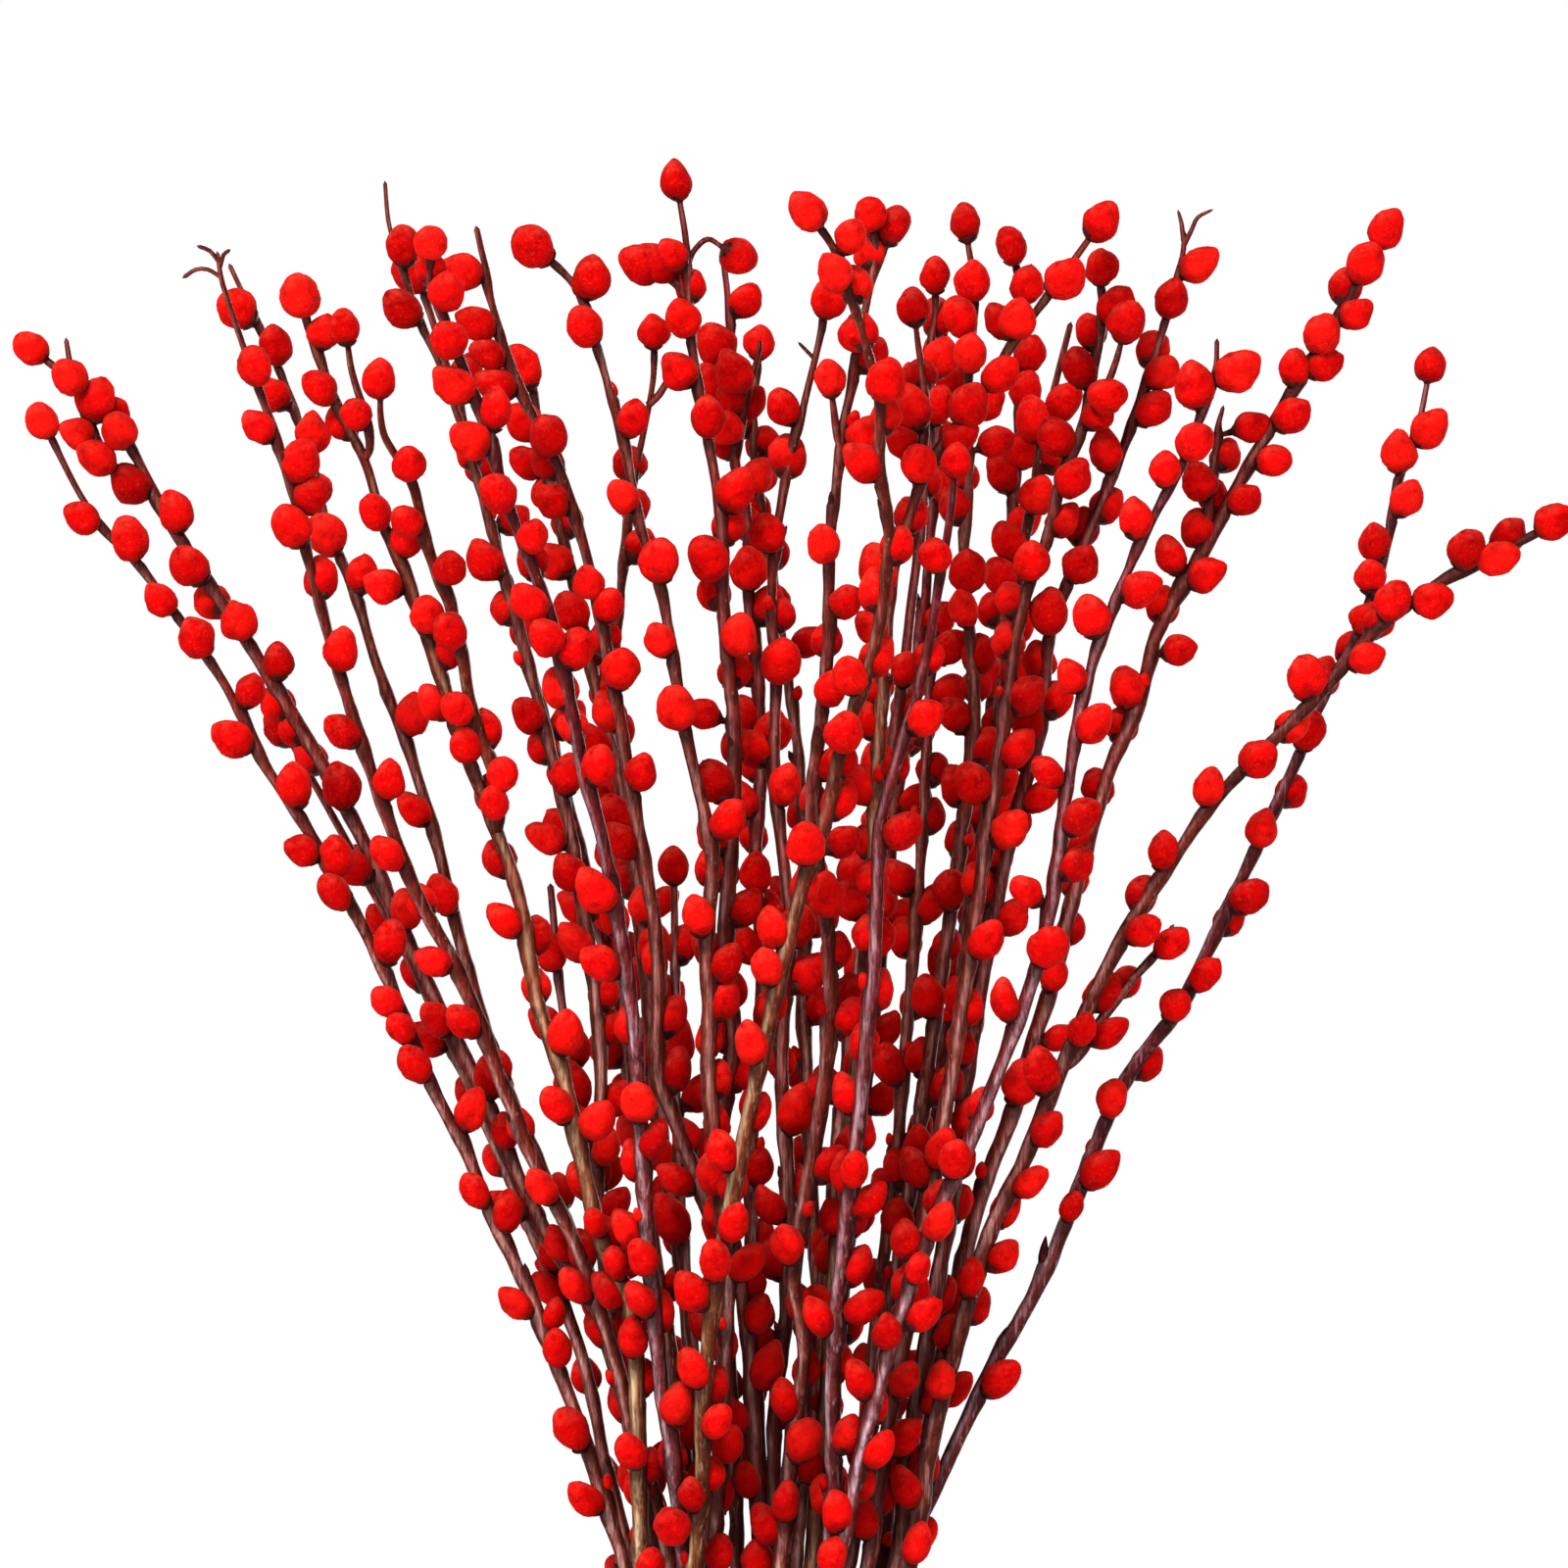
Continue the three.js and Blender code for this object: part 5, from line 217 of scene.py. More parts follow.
         [0, 428.2, 323, 22, 2.6, 20.1, 16.5], [0, 405.6, 92, 22, 2.6, 16.9, 14.6], [0, 378.7, 252, 42, 2.6, 22.1, 18.4],
         [0, 480, 228, 33, 2.4, 19, 15], [0, 500, 249, 33, 2.4, 19, 15], [0, 550, 354, 21, 2.4, 19, 15],
     ]},
    {"name": "branch_10",
     "shoots": [
         [7.32, 2.62, [[1.1, 6.3, 8.4], [-5.7, 10.7, 45.8], [-12.8, 9.9, 111], [-11.1, 6.4, 156.4], [-13.6, 7.4, 181.3],
             [-15.9, 5.5, 201.5], [-10.2, -2.2, 312.1], [-8.1, -4.4, 367.3], [-10.4, -6.9, 437.3], [-16.9, -11, 512.4],
             [-20.7, -11.6, 527.4], [-39.9, -15, 577.4], [-44, -16.3, 592.4], [-44, -19.2, 632.3], [-47.1, -21.2, 667.2],
             [-73.1, -27.6, 811.6], [-87.6, -29.6, 861.3], [-114, -32.1, 920.9], [-127, -34.5, 976.2]]],
     ],
     "catkins": [
         [0, 952.5, 198, 55, 2.6, 19.9, 17], [0, 927.9, 195, 49, 2.6, 20.1, 16.5], [0, 914.5, 198, 41, 2.6, 17.5, 14.6],
         [0, 901.4, 193, 47, 2.6, 20.1, 16.5], [0, 871.6, 288, 33, 2.6, 21.1, 18.4], [0, 860.8, 121, 26, 2.6, 20, 16.1],
         [0, 845.4, 206, 34, 2.6, 17.7, 15.1], [0, 806.6, 260, 31, 2.6, 17.1, 14.6], [0, 794.9, 311, 33, 2.6, 16.7, 14.6],
         [0, 780.1, 87, 29, 2.6, 16.7, 14.6], [0, 763.7, 310, 30, 2.6, 20.7, 18.4], [0, 745, 120, 24, 2.6, 20.4, 16.1],
         [0, 717.8, 321, 32, 2.6, 17.7, 15.1], [0, 687.9, 162, 33, 2.6, 19.8, 16.1], [0, 655.6, 116, 28, 2.6, 19.8, 16.1],
         [0, 630.3, 101, 27, 2.6, 18.7, 14.6], [0, 604.5, 45, 31, 2.6, 20.2, 16.1], [0, 578.2, 18, 31, 2.6, 20.1, 16.1],
         [0, 549.4, 76, 31, 2.6, 18.3, 14.6], [0, 518.7, 21, 32, 2.6, 19.1, 16.1], [0, 478.3, 115, 32, 2.6, 18.9, 14.6],
         [0, 437.4, 97, 32, 2.6, 16.9, 14.6], [0, 396.5, 118, 29, 2.6, 17.1, 14.6], [0, 535, 186, 33, 2.4, 19, 15],
         [0, 465, 186, 33, 2.4, 19, 15],
     ]},
    {"name": "branch_11",
     "shoots": [
         [6.84, 2.86, [[1.7, -25.1, 8.4], [1, -24.5, 24.9], [-3, -21.2, 49.4], [-0.8, -10.2, 88.1], [-9.2, -1.8, 157.2],
             [-9.3, -0.3, 177], [-7.2, 5.6, 211.5], [-6.2, 10.4, 251.2], [-12.7, 18.5, 295.7], [-21.8, 27, 360.4],
             [-29.6, 39.6, 460.3], [-44.8, 53.3, 575.7], [-52.8, 63.2, 656.3], [-61.2, 70.1, 711.9], [-66, 73.2, 737.2],
             [-75.4, 77.5, 772.6], [-82, 81.9, 808.1], [-95.9, 88.7, 864.1], [-105.4, 95.4, 918.7]]],
     ],
     "catkins": [
         [0, 904.6, 242, 28, 2.6, 23.5, 18.4], [0, 882.1, 202, 33, 2.6, 20.1, 16.5], [0, 866.3, 162, 41, 2.6, 18.2, 16.1],
         [0, 850.3, 120, 25, 2.6, 17.1, 14.6], [0, 835.5, 60, 29, 2.6, 18.2, 16.1], [0, 817.7, 215, 32, 2.6, 19.7, 17],
         [0, 792, 230, 26, 2.6, 20.1, 16.5], [0, 777, 16, 35, 2.6, 19.6, 16.1], [0, 756.1, 53, 24, 2.6, 16.6, 14.6],
         [0, 734.4, 202, 35, 2.6, 20.6, 16.1], [0, 716.6, 79, 24, 2.6, 18.5, 14.6], [0, 697.6, 246, 33, 2.6, 20.9, 17],
         [0, 668.4, 120, 23, 2.6, 20.5, 16.1], [0, 661, 17, 60, 2.6, 17.8, 14.6], [0, 636.2, 316, 24, 2.6, 20.1, 16.5],
         [0, 615.9, 16, 48, 2.6, 17.1, 14.6], [0, 587.4, 123, 28, 2.6, 18.2, 15.1], [0, 563.9, 94, 27, 2.6, 19, 14.6],
         [0, 540.9, 262, 28, 2.6, 16.5, 14.6], [0, 502.9, 88, 24, 2.6, 16.8, 14.6], [0, 465.1, 49, 34, 2.6, 19.6, 16.1],
         [0, 426.4, 69, 31, 2.6, 17.9, 14.6], [0, 386.9, 137, 30, 2.6, 18.9, 16.1], [0, 358.9, 68, 30, 2.6, 18.4, 14.6],
     ]},
    {"name": "branch_12",
     "shoots": [
         [7.32, 2.65, [[-32.9, 20.3, 8.4], [-35.6, 13.8, 30.4], [-36.9, 11.1, 45.7], [-34.6, -0.2, 127], [-31.3, -5.2, 177.5],
             [-30.3, -13, 273], [-18.5, -21.6, 373.3], [-12.8, -40.1, 483.6], [-15, -47.1, 528.5], [-21.2, -50.1, 593.1],
             [-20.2, -51.5, 622.9], [-21.7, -53.3, 647.7], [-19.4, -56.8, 687.3], [-22, -58.7, 707.2], [-31.3, -62.8, 746.7],
             [-41.2, -69, 806], [-51.8, -72.7, 840.6], [-58.7, -76.3, 875], [-75, -82.6, 934.1], [-81.4, -84.2, 948.8],
             [-97.9, -85.9, 964.7]]],
     ],
     "catkins": [
         [0, 958.1, 266, 30, 2.6, 23.3, 18.4], [0, 939.5, 348, 33, 2.6, 21.3, 18.4], [0, 920.3, 246, 25, 2.6, 20.6, 17],
         [0, 877.7, 336, 33, 2.6, 18, 14.6], [0, 845.2, 215, 30, 2.6, 16.8, 14.6], [0, 812.2, 302, 28, 2.6, 23, 18.4],
         [0, 779.5, 227, 27, 2.6, 17.1, 14.6], [0, 747.1, 260, 31, 2.6, 22.4, 18.4], [0, 695.8, 348, 39, 2.6, 20.1, 16.5],
         [0, 674.4, 98, 34, 2.6, 18.6, 14.6], [0, 651.6, 232, 26, 2.6, 20.1, 16.5], [0, 630.4, 16, 33, 2.6, 18.5, 16.1],
         [0, 612.8, 34, 24, 2.6, 20.6, 16.1], [0, 595.8, 84, 25, 2.6, 17.3, 14.6], [0, 577.2, 67, 34, 2.6, 19.4, 16.1],
         [0, 557.6, 78, 25, 2.6, 16.6, 14.6], [0, 534.9, 259, 29, 2.6, 20.1, 16.5], [0, 515.6, 98, 22, 2.6, 18.4, 14.6],
         [0, 495.5, 341, 45, 2.6, 20.1, 16.5], [0, 453.7, 89, 32, 2.6, 19, 14.6], [0, 413, 295, 33, 2.6, 19.4, 17],
         [0, 385.5, 76, 32, 2.6, 17.2, 14.6], [0, 360, 291, 21, 2.4, 19, 15],
     ]},
    {"name": "branch_13",
     "shoots": [
         [6.61, 3.14, [[-0.8, -15, 8.4], [-6, -20.6, 24.4], [-8.1, -20.5, 29.4], [-16.5, -9.9, 63.1], [-16.5, 1.8, 111.8],
             [-20, 5.3, 131.5], [-33.6, 11.1, 191], [-36, 14.8, 235.8], [-39.2, 16.2, 285.8], [-61.8, 26.2, 450.8],
             [-75.2, 33.8, 536], [-87.8, 38.4, 611.3], [-94.4, 42.8, 675.4]]],
     ],
     "catkins": [
         [0, 635.2, 244, 34, 2.6, 20, 17], [0, 603.7, 163, 37, 2.6, 19, 16.1], [0, 589.6, 59, 27, 2.6, 18.1, 16.1],
         [0, 569.5, 265, 26, 2.6, 23.9, 18.4], [0, 547.1, 45, 35, 2.6, 19.3, 16.1], [0, 533.8, 17, 48, 2.6, 16.4, 14.6],
         [0, 502.7, 270, 24, 2.6, 23.3, 18.4], [0, 468.3, 113, 25, 2.6, 18.9, 14.6], [0, 430.1, 65, 30, 2.6, 16.8, 14.6],
         [0, 392.3, 103, 23, 2.6, 17.9, 14.6],
     ]},
    {"name": "branch_14",
     "shoots": [
         [6.14, 2.34, [[15.8, -38.2, 8.4], [15, -21.9, 74.4], [12.4, -16.8, 93.8], [11.1, -14.7, 108.5], [12.6, -9.4, 127.9],
             [12.3, -6.5, 142.6], [6.9, 6.5, 191.4], [0.7, 12.8, 231], [-9.9, 25.9, 280.1], [-25.6, 43.1, 359.4],
             [-29.6, 49, 394.3], [-36.5, 55, 444.5], [-46.7, 67.3, 509.6], [-55.9, 76.6, 580.2], [-63.7, 93.6, 671.2],
             [-66.1, 105, 722], [-65.2, 116.5, 778], [-58.8, 130.8, 854.8], [-48.2, 141.1, 911.3], [-47.3, 145.8, 937.3]]],
         [3.58, 2.16, [[-50.2, 139.2, 901], [-45, 141.1, 906.2], [-37.4, 145.7, 919.4]]],
     ],
     "catkins": [
         [0, 925, 266, 33, 2.6, 17, 15.1], [0, 864, 122, 28, 2.6, 18.5, 16.1], [0, 844.9, 62, 29, 2.6, 18.1, 14.6],
         [0, 825.3, 24, 28, 2.6, 18.5, 16.1], [0, 767.8, 118, 24, 2.6, 17.2, 14.6], [0, 739, 56, 25, 2.6, 17, 14.6],
         [0, 709.3, 149, 27, 2.6, 19.3, 16.1], [0, 681.1, 125, 26, 2.6, 18, 14.6], [0, 652.5, 151, 27, 2.6, 18.1, 16.1],
         [0, 635.9, 73, 26, 2.6, 18.4, 14.6], [0, 619.4, 297, 32, 2.6, 20.3, 17], [0, 597.6, 40, 34, 2.6, 17.5, 14.6],
         [0, 572, 70, 27, 2.6, 18.8, 14.6], [0, 547.8, 129, 26, 2.6, 18.3, 14.6], [0, 523, 14, 34, 2.6, 18.4, 16.1],
         [0, 481.5, 24, 34, 2.6, 18, 14.6], [0, 439, 41, 32, 2.6, 16.8, 14.6], [0, 395.1, 139, 25, 2.6, 17.7, 14.6],
     ]},
    {"name": "branch_15",
     "shoots": [
         [6.61, 3.14, [[15.1, -12.1, 8.4], [17.6, -0.1, 67], [10.8, 2.5, 116.7], [10.2, 10.8, 146], [10.3, 14.6, 165.6],
             [7.3, 15.9, 235.7], [-18.2, 13.5, 361.2], [-22.5, 14, 406.3], [-34.8, 24.3, 541.3], [-37.2, 33, 675.5]]],
     ],
     "catkins": [
         [0, 675.5, 999, 0, 1.6, 19, 14.6], [0, 637.6, 60, 28, 2.6, 19.2, 16.1], [0, 616.4, 122, 26, 2.6, 17.5, 14.6],
         [0, 591.2, 278, 24, 2.6, 22, 17], [0, 571.3, 14, 43, 2.6, 20.1, 16.5], [0, 543.4, 20, 35, 2.6, 19.7, 16.1],
         [0, 509.8, 224, 28, 2.6, 23.7, 18.4], [0, 473, 73, 24, 2.6, 18, 14.6], [0, 432.4, 85, 24, 2.6, 18.8, 14.6],
         [0, 394.9, 101, 34, 2.6, 17.4, 14.6], [0, 415, 207, 21, 2.4, 19, 15],
     ]},
    {"name": "branch_16",
     "shoots": [
         [7.55, 2.64, [[20.7, 12.4, 8.4], [8.8, 12.9, 85.6], [-2.2, 4, 166.6], [0.4, 1.6, 196.9], [0.5, 1, 236.9],
             [1.6, -5.4, 317.4], [2.1, -11.1, 367.7], [-0.7, -18.7, 427.9], [-3.6, -18.8, 477.8], [-10.4, -19.7, 517.7],
             [-14.7, -23.7, 557.7], [-14.3, -25.2, 572.6], [-9.7, -28.2, 607.5], [-12.9, -31.1, 647.4], [-9.2, -37, 736.9],
             [-14.5, -41.2, 806.4], [-15.6, -43.4, 846.1], [-28.1, -45.6, 920.5], [-31.1, -46.7, 970.1], [-33.9, -47.6, 988.2]]],
         [2.5, 2.1, [[-30.4, -46.4, 958.8], [-27.6, -42.9, 966], [-21.4, -39.6, 971.5], [-14.7, -36.2, 968.1]]],
         [3.6, 2.49, [[-29.5, -46.1, 943.6], [-35.6, -42.5, 951.8], [-41.9, -39.2, 955], [-49.1, -35.9, 955.6]]],
     ],
     "catkins": [
         [0, 988.2, 999, 0, 1.6, 19.6, 15.1], [0, 955.2, 201, 34, 2.6, 17.3, 15.1], [0, 940, 80, 24, 2.6, 16.7, 14.6],
         [0, 925.3, 244, 34, 2.6, 19, 16.1], [0, 903, 198, 34, 2.6, 19.2, 17], [0, 879, 284, 24, 2.6, 20.1, 16.5],
         [0, 844.9, 337, 35, 2.6, 22.5, 18.4], [0, 829.7, 64, 32, 2.6, 19.6, 16.1], [0, 815.4, 232, 35, 2.6, 22.9, 18.4],
         [0, 800.9, 116, 33, 2.6, 18.4, 16.1], [0, 780.2, 316, 32, 2.6, 20.3, 17], [0, 763.7, 75, 35, 2.6, 18.8, 14.6],
         [0, 751.2, 194, 67, 4.1, 17.1, 14.6], [0, 730.2, 89, 34, 2.6, 18.9, 14.6], [0, 712.8, 205, 34, 2.6, 21.8, 18.4],
         [0, 688.4, 161, 33, 2.6, 19.2, 16.1], [0, 671.3, 115, 29, 2.6, 20.2, 16.1], [0, 656.2, 22, 34, 2.6, 19.3, 16.1],
         [0, 637.4, 157, 34, 2.6, 19.2, 16.1], [0, 618.4, 77, 32, 2.6, 16.6, 14.6], [0, 597.7, 131, 31, 2.6, 17.9, 14.6],
         [0, 580.3, 39, 26, 2.6, 20.3, 16.1], [0, 545.5, 107, 26, 2.6, 17, 14.6], [0, 508.7, 229, 24, 2.6, 20.1, 16.5],
         [0, 482.1, 64, 27, 2.6, 19.1, 16.1], [0, 442.8, 347, 25, 2.6, 22.7, 18.4], [0, 423.9, 177, 31, 2.6, 18.3, 16.1],
         [0, 394.9, 239, 27, 2.6, 18.4, 14.6], [0, 355.6, 266, 23, 2.6, 21, 17], [1, 968.1, 999, 0, 1.6, 19.1, 17],
         [2, 953.9, 265, 27, 2.6, 21.4, 18.4], [2, 951, 306, 26, 2.6, 21.6, 17], [0, 470, 312, 33, 2.4, 19, 15],
     ]},
    {"name": "branch_17",
     "shoots": [
         [7.08, 2.6, [[19.7, -19.2, 8.4], [21.4, -9.5, 58.1], [29.4, -0.8, 87.1], [35.7, 4.9, 146.5], [19.2, 12.9, 251],
             [4.8, 19.1, 360.9], [-1.8, 33.9, 551], [4, 40.6, 631.4], [0.4, 45.2, 686.7], [2.9, 48.9, 732.1],
             [1, 52.4, 777.5], [-3, 54.7, 812.8], [-3.3, 56, 843.1], [-9.8, 57.4, 878.5], [-11.6, 65.3, 939.3],
             [-14.8, 69, 970.2]]],
         [3.6, 2.17, [[-8.9, 57.2, 873.4], [-4, 47.7, 903.4], [0.7, 41.4, 918.3], [2.4, 37.6, 926.8]]],
     ],
     "catkins": [
         [0, 937.8, 344, 36, 2.6, 17.5, 14.6], [0, 914.9, 204, 30, 2.6, 21.4, 18.4], [0, 900.3, 202, 39, 2.6, 19.8, 16.1],
         [0, 890.5, 348, 40, 2.6, 17.4, 15.1], [0, 872.4, 109, 35, 2.6, 16.6, 14.6], [0, 854.9, 344, 38, 2.6, 18.6, 16.1],
         [0, 835.1, 98, 35, 2.6, 16.9, 14.6], [0, 810.8, 276, 30, 2.6, 21.6, 18.4], [0, 794.4, 21, 34, 2.6, 20.9, 16.1],
         [0, 767, 143, 29, 2.6, 16.5, 14.6], [0, 745.4, 138, 31, 2.6, 19.7, 16.1], [0, 734.5, 312, 27, 2.6, 21.7, 18.4],
         [0, 721.7, 114, 23, 2.6, 16.4, 14.6], [0, 705, 195, 33, 2.6, 19.6, 16.1], [0, 689.3, 100, 27, 2.6, 16.9, 14.6],
         [0, 670.3, 273, 23, 2.6, 19.3, 17], [0, 654.8, 63, 28, 2.6, 18.8, 14.6], [0, 638.3, 207, 32, 2.6, 20.1, 16.5],
         [0, 621, 32, 26, 2.6, 18, 16.1], [0, 593.1, 86, 34, 2.6, 18.9, 14.6], [0, 564.1, 100, 24, 2.6, 18.1, 14.6],
         [0, 534.7, 306, 23, 2.6, 17.2, 14.6], [0, 501.7, 60, 23, 2.6, 18.6, 16.1], [0, 468, 76, 31, 2.6, 16.7, 14.6],
         [0, 435.2, 105, 25, 2.6, 16.7, 14.6], [0, 401.7, 162, 36, 2.6, 18.8, 14.6], [1, 903.1, 203, 36, 2.6, 23, 18.4],
         [1, 891.6, 179, 33, 2.6, 16.6, 13.8], [1, 879.4, 222, 33, 2.6, 17.9, 15.1],
     ]},
    {"name": "branch_18",
     "shoots": [
         [6.84, 2.6, [[28.4, -32.9, 8.4], [33, -28.9, 40.3], [40.1, -16.9, 113.7], [42.2, -7.4, 142.7], [31.2, 14.9, 240.8],
             [27, 21.6, 280.4], [29.8, 35.4, 359.9], [29.1, 41.9, 404.8], [30.4, 48.2, 449.8], [22.2, 79.3, 620.7],
             [23.3, 88.6, 676.3], [21.9, 95.3, 716.9], [16.3, 103.7, 767.8], [1.8, 118.8, 859.7], [-0.7, 124.6, 895.5],
             [1.1, 128.8, 921.2], [-0.8, 130.3, 929.9]]],
     ],
     "catkins": [
         [0, 919.2, 283, 26, 2.6, 17.1, 14.6], [0, 884.8, 158, 38, 2.6, 20.9, 16.1], [0, 873.7, 58, 28, 2.6, 18.1, 16.1],
         [0, 858.3, 78, 25, 2.6, 18.1, 14.6], [0, 842.2, 121, 25, 2.6, 20.4, 16.1], [0, 821.5, 66, 25, 2.6, 18.3, 14.6],
         [0, 799.6, 98, 25, 2.6, 18.7, 14.6], [0, 783.3, 15, 63, 2.6, 18.3, 14.6], [0, 699.3, 99, 24, 2.6, 17.1, 14.6],
         [0, 671.2, 64, 29, 2.6, 19.7, 16.1], [0, 663, 196, 44, 2.6, 17.7, 14.6], [0, 650.2, 339, 35, 2.6, 19.3, 16.1],
         [0, 629.7, 88, 28, 2.6, 17.7, 14.6], [0, 609.1, 16, 25, 2.6, 17.5, 14.6], [0, 579.4, 115, 26, 2.6, 17.2, 14.6],
         [0, 543.4, 106, 32, 2.6, 17.1, 14.6], [0, 506.3, 107, 25, 2.6, 16.7, 14.6], [0, 469.5, 100, 27, 2.6, 17.8, 14.6],
         [0, 433.5, 108, 27, 2.6, 17, 14.6], [0, 395, 135, 31, 2.6, 19.4, 16.1],
     ]},
    {"name": "branch_19",
     "shoots": [
         [7.32, 2.71, [[-27.8, 32.9, 8.4], [-29.6, 29.7, 33.6], [-35.2, 17.6, 80.1], [-38.8, 8.5, 121.2], [-40.2, -3.9, 172.4],
             [-38, -13.3, 213.1], [-30.2, -28.7, 289.1], [-27.1, -48.9, 369.9], [-24.1, -54.5, 400], [-22.9, -63.7, 440],
             [-20.2, -70.1, 474.9], [-11.1, -79.9, 529.6], [7.7, -98.1, 618.7], [22.2, -110.6, 677.8], [32.5, -116.9, 707.3],
             [38.6, -123.2, 736.7], [54.1, -133.6, 785.6], [60.6, -143, 829.4], [60.4, -145.1, 839.1], [56.5, -150.4, 863.4],
             [56.2, -156.7, 892.5], [53.3, -159.8, 907], [36.9, -171.3, 960], [30.7, -173.4, 969.7], [21.9, -175.3, 978.6]]],
     ],
     "catkins": [
         [0, 970.1, 267, 27, 2.6, 21.8, 17], [0, 957.2, 348, 46, 2.6, 17.1, 14.6], [0, 943, 235, 24, 2.6, 19.5, 16.1],
         [0, 934.6, 63, 35, 2.6, 18.1, 16.1], [0, 914.1, 88, 24, 2.6, 17.9, 14.6], [0, 892.6, 301, 29, 2.6, 22.3, 18.4],
         [0, 876.9, 66, 34, 2.6, 17.6, 14.6], [0, 857.3, 167, 33, 2.6, 20.7, 16.1], [0, 819, 61, 28, 2.6, 18.4, 16.1],
         [0, 797.5, 115, 30, 2.6, 20.4, 16.1], [0, 769.7, 64, 30, 2.6, 20.1, 16.1], [0, 761.3, 223, 33, 2.6, 20.1, 16.5],
         [0, 737.2, 268, 31, 2.6, 20.7, 18.4], [0, 723, 75, 29, 2.6, 16.9, 14.6], [0, 704.7, 66, 29, 2.6, 20.1, 16.5],
         [0, 684.6, 222, 28, 2.6, 20.8, 18.4], [0, 666.3, 85, 24, 2.6, 18.1, 14.6], [0, 646, 167, 32, 2.6, 18.7, 16.1],
         [0, 629, 202, 28, 2.6, 18.4, 15.1], [0, 612.4, 94, 27, 2.6, 17.7, 14.6], [0, 594.2, 209, 25, 2.6, 20.1, 16.5],
         [0, 563, 71, 35, 2.6, 18.8, 14.6], [0, 530.3, 95, 29, 2.6, 17.7, 14.6], [0, 495.6, 245, 26, 2.6, 20.5, 16.1],
         [0, 482.4, 199, 44, 2.6, 20.1, 16.5], [0, 446.9, 217, 27, 2.6, 20.1, 16.5], [0, 435.9, 68, 34, 2.6, 19.7, 16.1],
         [0, 397.7, 67, 33, 2.6, 16.5, 14.6], [0, 515, 291, 21, 2.4, 19, 15], [0, 390, 228, 21, 2.4, 16.5, 13.4],
         [0, 425, 312, 33, 2.4, 19, 15], [0, 545, 186, 33, 2.4, 19, 15],
     ]},
    {"name": "branch_20",
     "shoots": [
         [6.84, 2.62, [[25.9, 3.6, 8.4], [25.4, 7, 26.2], [17.6, 10.2, 80.9], [17.1, 13.6, 95.6], [19.5, 16.6, 115.3],
             [16, 9.1, 181.2], [8.3, 7.2, 271.5], [10.6, -1.9, 362.1], [8.9, -4.6, 412.2], [10, -5.7, 442.3],
             [16, -7.4, 507.3], [12.1, -9.5, 602.2], [15.8, -10.7, 657.1], [8.6, -12.2, 732], [9.7, -13.1, 771.9],
             [7.7, -13.8, 806.8], [9.1, -14.2, 826.8], [16.2, -15.2, 871.6], [30.7, -16.4, 931.4], [31.4, -16.8, 948.3]]],
         [1.9, 1.45, [[27.3, -16.2, 917.8], [23.4, -18.7, 921.7], [20.7, -21.2, 924.3]]],
     ],
     "catkins": [
         [0, 934.1, 289, 24, 2.6, 20.1, 16.5], [0, 885.3, 199, 43, 2.6, 18.5, 14.6], [0, 861.2, 100, 30, 2.6, 22.4, 18.4],
         [0, 826.5, 229, 26, 2.6, 19.4, 17], [0, 790.3, 64, 34, 2.6, 17.9, 14.6], [0, 767.5, 284, 31, 2.6, 23.3, 18.4],
         [0, 729.4, 161, 35, 2.6, 19.5, 16.1], [0, 710.8, 318, 24, 2.6, 19.4, 15.1], [0, 646.5, 298, 31, 2.6, 21, 18.4],
         [0, 625.7, 18, 38, 2.6, 21.5, 17], [0, 605.2, 147, 25, 2.6, 19.3, 16.1], [0, 585.6, 93, 33, 2.6, 16.5, 14.6],
         [0, 560.1, 316, 26, 2.6, 23.8, 18.4], [0, 527.5, 61, 28, 2.6, 18.7, 14.6], [0, 492.6, 139, 29, 2.6, 18.9, 16.1],
         [0, 456, 160, 34, 2.6, 18, 16.1], [0, 425.8, 44, 32, 2.6, 18.6, 16.1], [0, 391.3, 89, 33, 2.6, 17.7, 14.6],
         [0, 520, 207, 33, 2.4, 19, 15],
     ]},
    {"name": "branch_21",
     "shoots": [
         [7.32, 2.67, [[-19, 24.8, 8.4], [-21.3, 12.1, 80.7], [-25.6, 3.4, 116.7], [-25.3, -1.3, 132.1], [-9.6, -13, 218.1],
             [10.2, -29.7, 348.9], [17, -35.6, 418.8], [22.2, -40.4, 453.8], [23, -42.9, 468.8], [18.4, -46.4, 493.8],
             [18.4, -47.5, 503.7], [31.7, -55.3, 583.3], [34.6, -61.3, 628], [33.1, -64.8, 657.7], [26.6, -69.4, 697.3],
             [26.3, -71.7, 717.1], [33.8, -80.9, 791.1], [34.1, -85.9, 830.4], [40.8, -92.8, 884.5], [54.1, -102.2, 957.9],
             [54.5, -103.5, 967.7], [51.9, -105.3, 981.6]]],
         [3.6, 2.61, [[39.6, -91.5, 874.7], [37.8, -93.1, 879.5], [35.4, -98.5, 896.9]]],
         [3.6, 2.94, [[52.3, -101, 948.1], [59.4, -100, 965.5]]],
     ],
     "catkins": [
         [0, 970.8, 263, 28, 2.6, 17.8, 14.6], [0, 952.2, 128, 24, 2.6, 17.3, 14.6], [0, 916.8, 253, 30, 2.6, 17.6, 15.1],
         [0, 907.5, 32, 31, 2.6, 18.3, 16.1], [0, 872.9, 346, 41, 2.6, 20.1, 16.5], [0, 822.3, 251, 33, 2.6, 19.4, 15.1],
         [0, 797.6, 340, 41, 2.6, 16.9, 14.6], [0, 778.2, 94, 33, 2.6, 16.9, 14.6], [0, 757.2, 298, 30, 2.6, 19.3, 15.1],
         [0, 723.2, 21, 34, 2.6, 19.5, 16.1], [0, 704.4, 89, 26, 2.6, 17.8, 14.6], [0, 689.9, 12, 67, 4.1, 16.7, 14.6],
